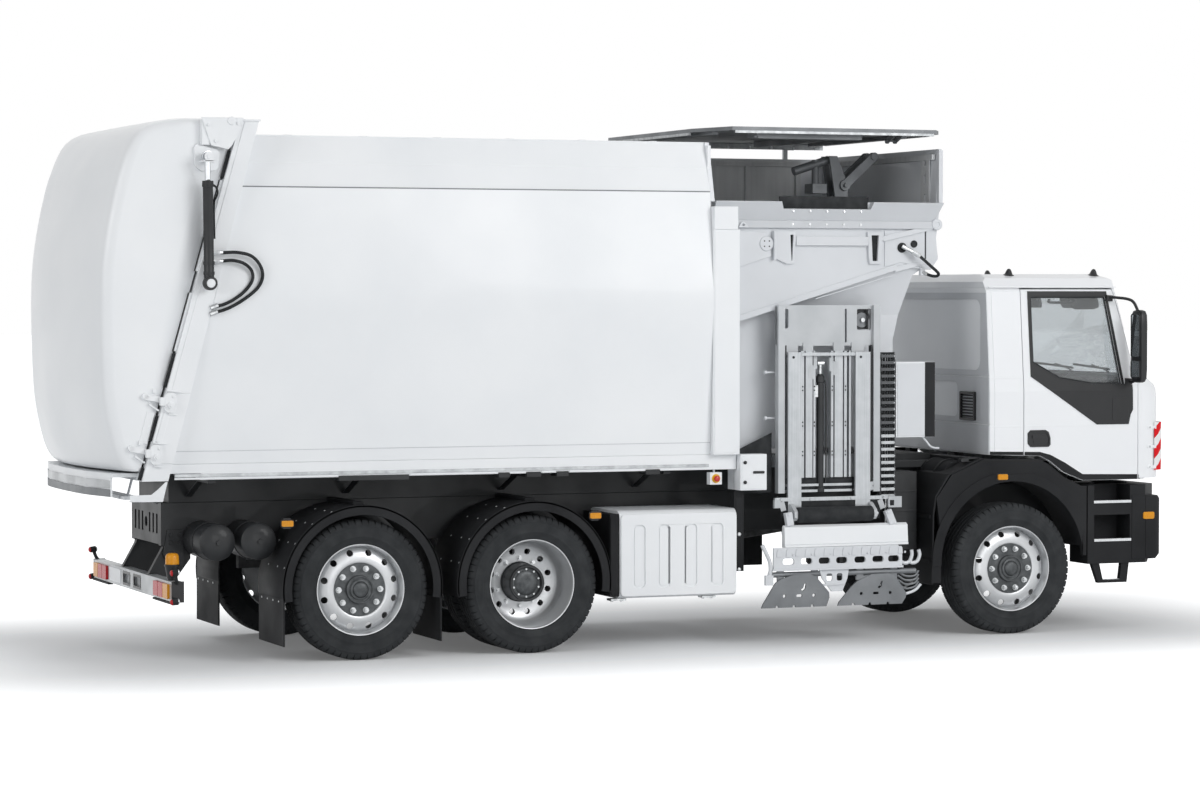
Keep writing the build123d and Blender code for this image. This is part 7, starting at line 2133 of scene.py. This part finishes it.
def makeHangers():
    # black hanger boxes that carry the underrun bar, with a plate up the outside of each rail
    bm = bmesh.new()
    box = [(-3.909, 0.643), (-3.889, 0.557), (-3.728, 0.557), (-3.5775, 0.757), (-3.5775, 0.858),
           (-3.788, 0.858)]
    plate = [(-3.8, 0.8), (-3.788, 0.862), (-3.768, 0.985), (-3.64, 0.985), (-3.64, 0.7), (-3.76, 0.7)]
    for side in (-1, 1):
        addSlab(bm, box, [], lambda a, b, d: (a, side * (0.377 + d), b), 0.056)
        addSlab(bm, plate, [], lambda a, b, d: (a, side * (0.4565 + d), b), 0.01)
        addBlock(bm, (-3.76, min(side * 0.43, side * 0.46), 0.7),
                 (-3.64, max(side * 0.43, side * 0.46), 0.712))
        for x, z in ((-3.742, 0.945), (-3.668, 0.945), (-3.742, 0.885), (-3.668, 0.885)):
            addBolt(bm, (x, side * 0.4665, z), (0, side, 0), 0.026, 0.012)
    makePiece("underrunHangers", bm, "chassisLacquer", bevel=2)


def makeDripTray():
    # the strips lie over the lip by this much
    under, over = -0.002, 0.0028
    bm, red, grey = (bmesh.new() for n in range(3))
    for side in (-1, 1):
        gusset = [(-4.263, 1.301), (-4.099, 1.302), (-4.045, 1.344), (-3.99, 1.395), (-3.976, 1.395),
                  (-4.012, 1.248), (-4.259, 1.254)]
        addSidePlate(bm, gusset, [], side * 1.262, 0.01)
        addBar(bm, (-4.259, side * 1.25, 1.254), (-4.012, side * 1.25, 1.251), 0.03, 0.008)
    addBlock(grey, (-4.262, -1.09, 1.258), (-4.15, 1.2, 1.284))
    for y in (-0.95, -0.3, 0.35, 1.0):
        addBar(grey, (-4.2, y, 1.28), (-4.16, y, 1.43), 0.05, 0.008)
        addBolt(grey, (-4.262, y, 1.271), (-1, 0, 0), 0.02, 0.01)
    # strips along the tray's hanging lip: a paler one where the lamps sit, a darker one at the foot
    lip = [(-4.352, -1.038), (-4.4375, -0.6), (-4.4575, 0.0), (-4.4375, 0.6), (-4.352, 1.038)]
    for name, finish, z0, z1 in (("dripTrayLampStrip", "underrunGrey", 1.342, 1.402),
                                 ("dripTrayFoot", "plateGrey", 1.279, 1.336)):
        strip = bmesh.new()
        smoothLip = curvedLine([(x, y, 0.0) for x, y in lip], 6)
        rows = [[strip.verts.new((p[0] - out, p[1], z)) for z, out in ((z0, under), (z1, under), (z1, over),
                (z0, over))] for p in smoothLip]
        addLoft(strip, rows)
        makePiece(name, strip, finish, slot="underrun_steel")
    makePiece("dripTrayGussets", bm, "coachEnamel", bevel=1)
    # the bar takes the greyer enamel as painted shade under the gate
    makePiece("dripTrayBar", grey, "dullEnamel", bevel=1.5)
    for y0, y1 in ((0.45, 0.66), (0.68, 0.9)):
        addBlock(red, (-4.3, y0, 1.3), (-4.268, y1, 1.34))
    makePiece("dripTrayLamps", red, "redLens", bevel=3)


def makeControls():
    light, dark, red, yellow = (bmesh.new() for n in range(4))
    addSidePlate(light, roundedLoop((0.698, 1.246), (0.906, 1.508), 0.01), [], -1.2502, 0.005)
    for z in (1.298, 1.455):
        addTurned(dark, [(0.0, 0.0), (0.0, 0.014), (0.01, 0.014), (0.014, 0.008), (0.014, 0.0)],
                  (0.722, -1.2548, z), (0, -1, 0), 18)
    addSidePlate(dark, roundedLoop((0.792, 1.366), (0.89, 1.386), 0.006), [], -1.2548, 0.006)
    # stop button in its box under the front post
    button = (0.497, -1.196, 1.33)
    addBlock(light, (0.446, -1.196, 1.282), (0.548, -1.13, 1.378))
    addBar(light, (0.497, -1.15, 1.37), (0.497, -1.15, 1.452), 0.03, 0.006)
    addTurned(yellow, [(0.0, 0.0), (0.0, 0.036), (0.003, 0.036), (0.003, 0.0)], button, (0, -1, 0), 28)
    addTurned(red, [(0.003, 0.0), (0.003, 0.012), (0.016, 0.012), (0.018, 0.023), (0.026, 0.024),
                    (0.032, 0.017), (0.034, 0.0)], button, (0, -1, 0), 28)
    makePiece("controlDoors", light, "coachEnamel", bevel=2)
    makePiece("controlHinges", dark, "blackAbs", bevel=1)
    makePiece("stopButtonRing", yellow, "stopYellow")
    makePiece("stopButton", red, "stopRed", smooth=50)


def makeTanks():
    strapOut = 1.196
    domes, straps, lids = (bmesh.new() for n in range(3))
    z, reach = 0.91, 0.929
    for x in (-3.1805, -3.505):
        for side in (-1, 1):
            profile = [(0.0, 0.141), (0.01, 0.138), (0.03, 0.112), (0.042, 0.07), (0.047, 0.03),
                       (0.048, 0.0)]
            addTurned(domes, profile, (x, side * reach, z), (0, side, 0), 36)
            addRound(domes, (x, side * (reach + 0.044), z), (x, side * (reach + 0.062), z), 0.02, 8)
        for y in (-0.72, 0.72):
            addTurned(domes, [(-0.02, 0.1405), (0.02, 0.1405), (0.02, 0.146), (-0.02, 0.146)], (x, y, z),
                      (0, 1, 0), 36, 0, True)
    makePiece("airTankEnds", domes, "chassisLacquer", bevel=1, smooth=50)
    # fuel tank straps, filler cap, level step
    for x in (-0.06, 0.32, 0.7):
        for z in (0.405, 1.01):
            addBlock(straps, (x - 0.025, 0.52, z), (x + 0.025, 1.1, z + 0.006))
        addBlock(straps, (x - 0.025, 1.1895, 0.5), (x + 0.025, strapOut, 0.92))
        y0, y1 = 1.193, 1.098
        for z0, z1 in ((0.92, 1.012), (0.5, 0.408)):
            knee = (x, (y0 + y1) / 2 + 0.034, (z0 + z1) / 2 + (z1 - z0) * 0.27)
            addBar(straps, (x, y0, z0), knee, 0.05, 0.005, side=(1, 0, 0))
            addBar(straps, knee, (x, y1, z1), 0.05, 0.005, side=(1, 0, 0))
        addBolt(straps, (x, strapOut, 0.7), (0, 1, 0), 0.022, 0.016)
    makePiece("fuelTankStraps", straps, "zincPlate", slot="tank_alloy", bevel=0.8)
    cap = (0.8, 1.0, 1.018)
    addTurned(lids, [(-0.004, 0.0), (-0.004, 0.055), (0.012, 0.055), (0.016, 0.046), (0.034, 0.044),
                     (0.04, 0.036), (0.04, 0.0)], cap, (0, 0, 1), 24)
    addBar(lids, (0.762, 1.0, 1.062), (0.838, 1.0, 1.062), 0.014, 0.012)
    # battery box lid with two clips and a pressed cross
    addBlock(lids, (1.066, 0.612, 0.905), (1.732, 1.188, 0.968))
    addSidePlate(lids, roundedLoop((1.11, 0.53), (1.688, 0.88), 0.03),
                 [roundedLoop((1.15, 0.57), (1.648, 0.84), 0.024)], 1.1795, 0.008)
    for x in (1.22, 1.58):
        addSidePlate(lids, roundedLoop((x - 0.018, 0.85), (x + 0.018, 0.93), 0.006), [], 1.188, 0.012)
    makePiece("fillerCapAndBatteryLid", lids, "blackAbs", bevel=2)


def makeUnderHopper():
    # hydraulic oil tank between the hopper and the cab, with its filler and sight tube
    canAxis = 0.76
    bm, bright = bmesh.new(), bmesh.new()
    addBlock(bm, (2.15, -0.96, 0.7), (2.392, -0.47, 1.34))
    for z in (0.86, 1.02, 1.18):
        addBlock(bm, (2.146, -0.962, z - 0.01), (2.394, -0.468, z + 0.01))
    addBar(bm, (2.15, -0.6, 1.385), (2.9, -0.6, 1.385), 0.08, 0.06)
    addBar(bm, (2.7, -1.12, 1.432), (2.905, -1.12, 1.432), 0.06, 0.03)
    addBar(bm, (2.81, -1.15, 1.438), (2.81, 1.15, 1.438), 0.09, 0.036, side=(1, 0, 0))
    # splash sheet that hangs beside the frame between the hopper and the cab
    addBlock(bm, (2.396, -0.476, 1.195), (2.925, -0.466, 1.468))
    addTurned(bright, [(0, 0.0), (0, 0.04), (0.02, 0.04), (0.026, 0.03), (0.026, 0.0)],
              (2.27, -0.715, 1.34), (0, 0, 1), 20)
    addPipe(bright, [(2.146, -0.9, 0.8), (2.138, -0.9, 0.81), (2.138, -0.9, 1.22), (2.146, -0.9, 1.23)],
            0.008)
    makePiece("oilTank", bm, "chassisLacquer", bevel=6)
    makePiece("oilTankFittings", bright, "zincPlate", bevel=1)
    # silencer and its stack on the far side
    pipe = bmesh.new()
    # its can ends short of the steered tyre, and its pipe turns in to the frame before it
    can = [(0, 0.0), (0, 0.12), (0.012, 0.135), (0.47, 0.135), (0.482, 0.12), (0.482, 0.0)]
    addTurned(pipe, can, (2.02, canAxis, canAxis), (1, 0, 0))
    outlet = [(2.48, 0.7, 0.8), (2.522, 0.62, 0.82), (2.54, 0.53, 0.85), (2.66, 0.485, 0.9),
              (2.85, 0.47, 0.93), (3.0, 0.44, 0.95)]
    addPipe(pipe, curvedLine(outlet, 6), 0.045, 14)
    for x in (2.14, 2.38):
        addTurned(pipe, [(-0.018, 0.1355), (0.018, 0.1355), (0.018, 0.141), (-0.018, 0.141)],
                  (x, canAxis, canAxis), (1, 0, 0), 32, 0, True)
    makePiece("silencer", pipe, "galvanised", slot="chassis_paint", bevel=1, smooth=50)


makeLocker()
makeGuards()
makeSideMarkers()
makeRearBar()
makeHangers()
makeDripTray()
makeControls()
makeTanks()
makeUnderHopper()
print("chassis detailed")


# inside the cab: seats, dashboard, visor
seat = {
    "places": (-0.52, 0.52), "axle": 3.1495, "floor": 1.505,
    "pressure": 4.0, "swell": 0.024, "voxel": 0.006,
}


def addPad(bm, low, high, lean=0.0, waist=0.0, corner=0.045):
    # a soft-edged block between two corners, leaning back with height and drawn in at its waist
    (x0, y0, z0), (x1, y1, z1) = low, high
    rows = 8
    rings = []
    for n in range(rows + 1):
        t = n / rows
        pull = corner * (1 - min(1.0, 4 * min(t, 1 - t))) * 0.55
        narrow = waist * sin(pi * t)
        z = z0 + (z1 - z0) * t
        shift = lean * t
        loop = roundedLoop((x0 + pull, y0 + pull + narrow), (x1 - pull, y1 - pull - narrow),
                           corner - pull * 0.5, 3)
        rings.append([bm.verts.new((x + shift, y, z)) for x, y in loop])
    addLoft(bm, rings)


def inflate(piece):
    # blows a pad up as cloth, keeps each point within a short way of where it was, then applies it
    remesh = piece.modifiers.new("even", "REMESH")
    remesh.mode, remesh.voxel_size = "VOXEL", seat["voxel"]
    applyModifiers(piece)
    rest = [v.co.copy() for v in piece.data.vertices]
    cloth = piece.modifiers.new("blown", "CLOTH")
    cloth.settings.use_pressure = True
    cloth.settings.uniform_pressure_force = seat["pressure"]
    cloth.settings.quality = 4
    cloth.settings.effector_weights.gravity = 0.0
    cloth.collision_settings.use_collision = False
    for step in range(1, 21):
        bpy.context.scene.frame_set(step)
    applyModifiers(piece)
    for vertex, start in zip(piece.data.vertices, rest):
        moved = vertex.co - start
        if moved.length > seat["swell"]:
            vertex.co = start + moved.normalized() * seat["swell"]
    bpy.context.scene.frame_set(1)


def applyModifiers(piece):
    shot = piece.evaluated_get(bpy.context.evaluated_depsgraph_get())
    mesh = bpy.data.meshes.new_from_object(shot)
    piece.modifiers.clear()
    old = piece.data
    piece.data = mesh
    bpy.data.meshes.remove(old)


def makeSeats():
    half = 0.205
    names = []
    for number, y in enumerate(seat["places"]):
        label = ("Right", "Left")[number]
        x, floor = seat["axle"], seat["floor"]
        pads = [("seatCushion", (x + 0.04, y - half, floor + 0.272), (x + 0.462, y + half, floor + 0.352),
                 0.0, 0.0), ("seatBack", (x - 0.036, y - half, floor + 0.415),
                             (x + 0.05, y + half, floor + 0.93), -0.072, 0.018),
                ("seatHeadrest", (x - 0.096, y - 0.125, floor + 0.955),
                 (x - 0.024, y + 0.125, floor + 1.09), -0.012, 0.0)]
        for name, low, high, lean, waist in pads:
            bm = bmesh.new()
            addPad(bm, low, high, lean, waist)
            piece = makePiece(name + label, bm, "seatCloth", "cab")
            inflate(piece)
            for face in piece.data.polygons:
                face.use_smooth = True
            names.append(piece.name)
        # piping round the cushion
        cords = bmesh.new()
        rim = roundedLoop((x + 0.04, y - 0.222), (x + 0.478, y + 0.222), 0.06, 5)
        addPipe(cords, [(a, b, floor + 0.33) for a, b in rim + rim[:1]], 0.006, 8)
        makePiece("seatPiping" + label, cords, "softRubber", "cab", "seat_fabric", smooth=60)
        base = bmesh.new()
        addBlock(base, (x + 0.075, y - 0.185, floor + 0.002), (x + 0.42, y + 0.185, floor + 0.06))
        for n in range(6):
            inset = 0.01 * (n % 2)
            addBlock(base, (x + 0.09 + inset, y - 0.17 + inset, floor + 0.06 + 0.03 * n),
                     (x + 0.405 - inset, y + 0.17 - inset, floor + 0.09 + 0.03 * n))
        addBlock(base, (x + 0.03, y - half, floor + 0.24), (x + 0.455, y + half, floor + 0.268))
        addBar(base, (x - 0.005, y - 0.12, floor + 0.27), (x - 0.03, y - 0.12, floor + 0.5), 0.03, 0.012)
        addBar(base, (x - 0.005, y + 0.12, floor + 0.27), (x - 0.03, y + 0.12, floor + 0.5), 0.03, 0.012)
        for side in (-1, 1):
            addRound(base, (x - 0.075, y + side * 0.06, floor + 0.9),
                     (x - 0.078, y + side * 0.06, floor + 0.985), 0.007, 10)
        makePiece("seatFrame" + label, base, "darkCabinPlastic", "cab", bevel=5,
                  replaces=["seats"] if number == 0 else ())
    print("seats made:", len(names))


def makeDashboard():
    bm, bright = bmesh.new(), bmesh.new()
    x, floor = seat["axle"], seat["floor"]
    # instrument hood, vents, switch rows and a shelf on the dashboard
    hood = [(x + 0.955, floor + 0.566), (x + 1.03, floor + 0.58), (x + 1.03, floor + 0.64),
            (x + 0.95, floor + 0.625)]
    addSlab(bm, hood, [], lambda a, b, d: (a, 0.33 + d, b), 0.38)
    for y in (-0.86, -0.62, -0.14, 0.1, 0.86):
        addSlab(bm, roundedLoop((y - 0.075, floor + 0.465), (y + 0.075, floor + 0.535), 0.016),
                [roundedLoop((y - 0.065, floor + 0.475), (y + 0.065, floor + 0.525), 0.01)],
                lambda a, b, d: (x + 0.936 + (b - floor - 0.43) * 0.11 - 0.008 + d, a, b), 0.01)
    for n in range(6):
        y = -0.4 + 0.045 * n
        addBlock(bright, (x + 0.928, y - 0.016, floor + 0.48), (x + 0.938, y + 0.016, floor + 0.52))
    addBar(bm, (x + 1.1, 0.0, floor + 0.596), (x + 1.1, 0.9, floor + 0.596), 0.16, 0.012, side=(1, 0, 0))
    # sun visors, the side one turned to the door, and a grab handle over each door
    visor = [(x + 0.664, floor + 1.262), (x + 0.909, floor + 1.262), (x + 0.94, floor + 1.19),
             (x + 0.925, floor + 1.162), (x + 0.9, floor + 1.156), (x + 0.73, floor + 1.156),
             (x + 0.7, floor + 1.172)]
    for y0, y1 in ((-0.8, -0.18), (0.18, 0.8)):
        addSlab(bm, roundedLoop((y0, floor + 1.165), (y1, floor + 1.27), 0.04), [],
                lambda a, b, d: (x + 0.985 + d + (floor + 1.278 - b) * 0.25, a, b), 0.02)
        addSlab(bright, visor, [], lambda a, b, d: (a, (0.905 + d) * (1 if y0 > 0 else -1), b), 0.018)
    for side in (-1, 1):
        grip = [(x + 0.4, side * 1.07, floor + 1.235), (x + 0.43, side * 1.035, floor + 1.215),
                (x + 0.62, side * 1.035, floor + 1.215), (x + 0.65, side * 1.07, floor + 1.235)]
        addPipe(bm, curvedLine(grip, 5), 0.012, 8)
    makePiece("dashboardFittings", bm, "darkCabinPlastic", "cab", bevel=3)
    makePiece("dashboardSwitches", bright, "blackAbs", "cab", "cabin_plastic", bevel=2)


makeSeats()
makeDashboard()
print("cab inside detailed")
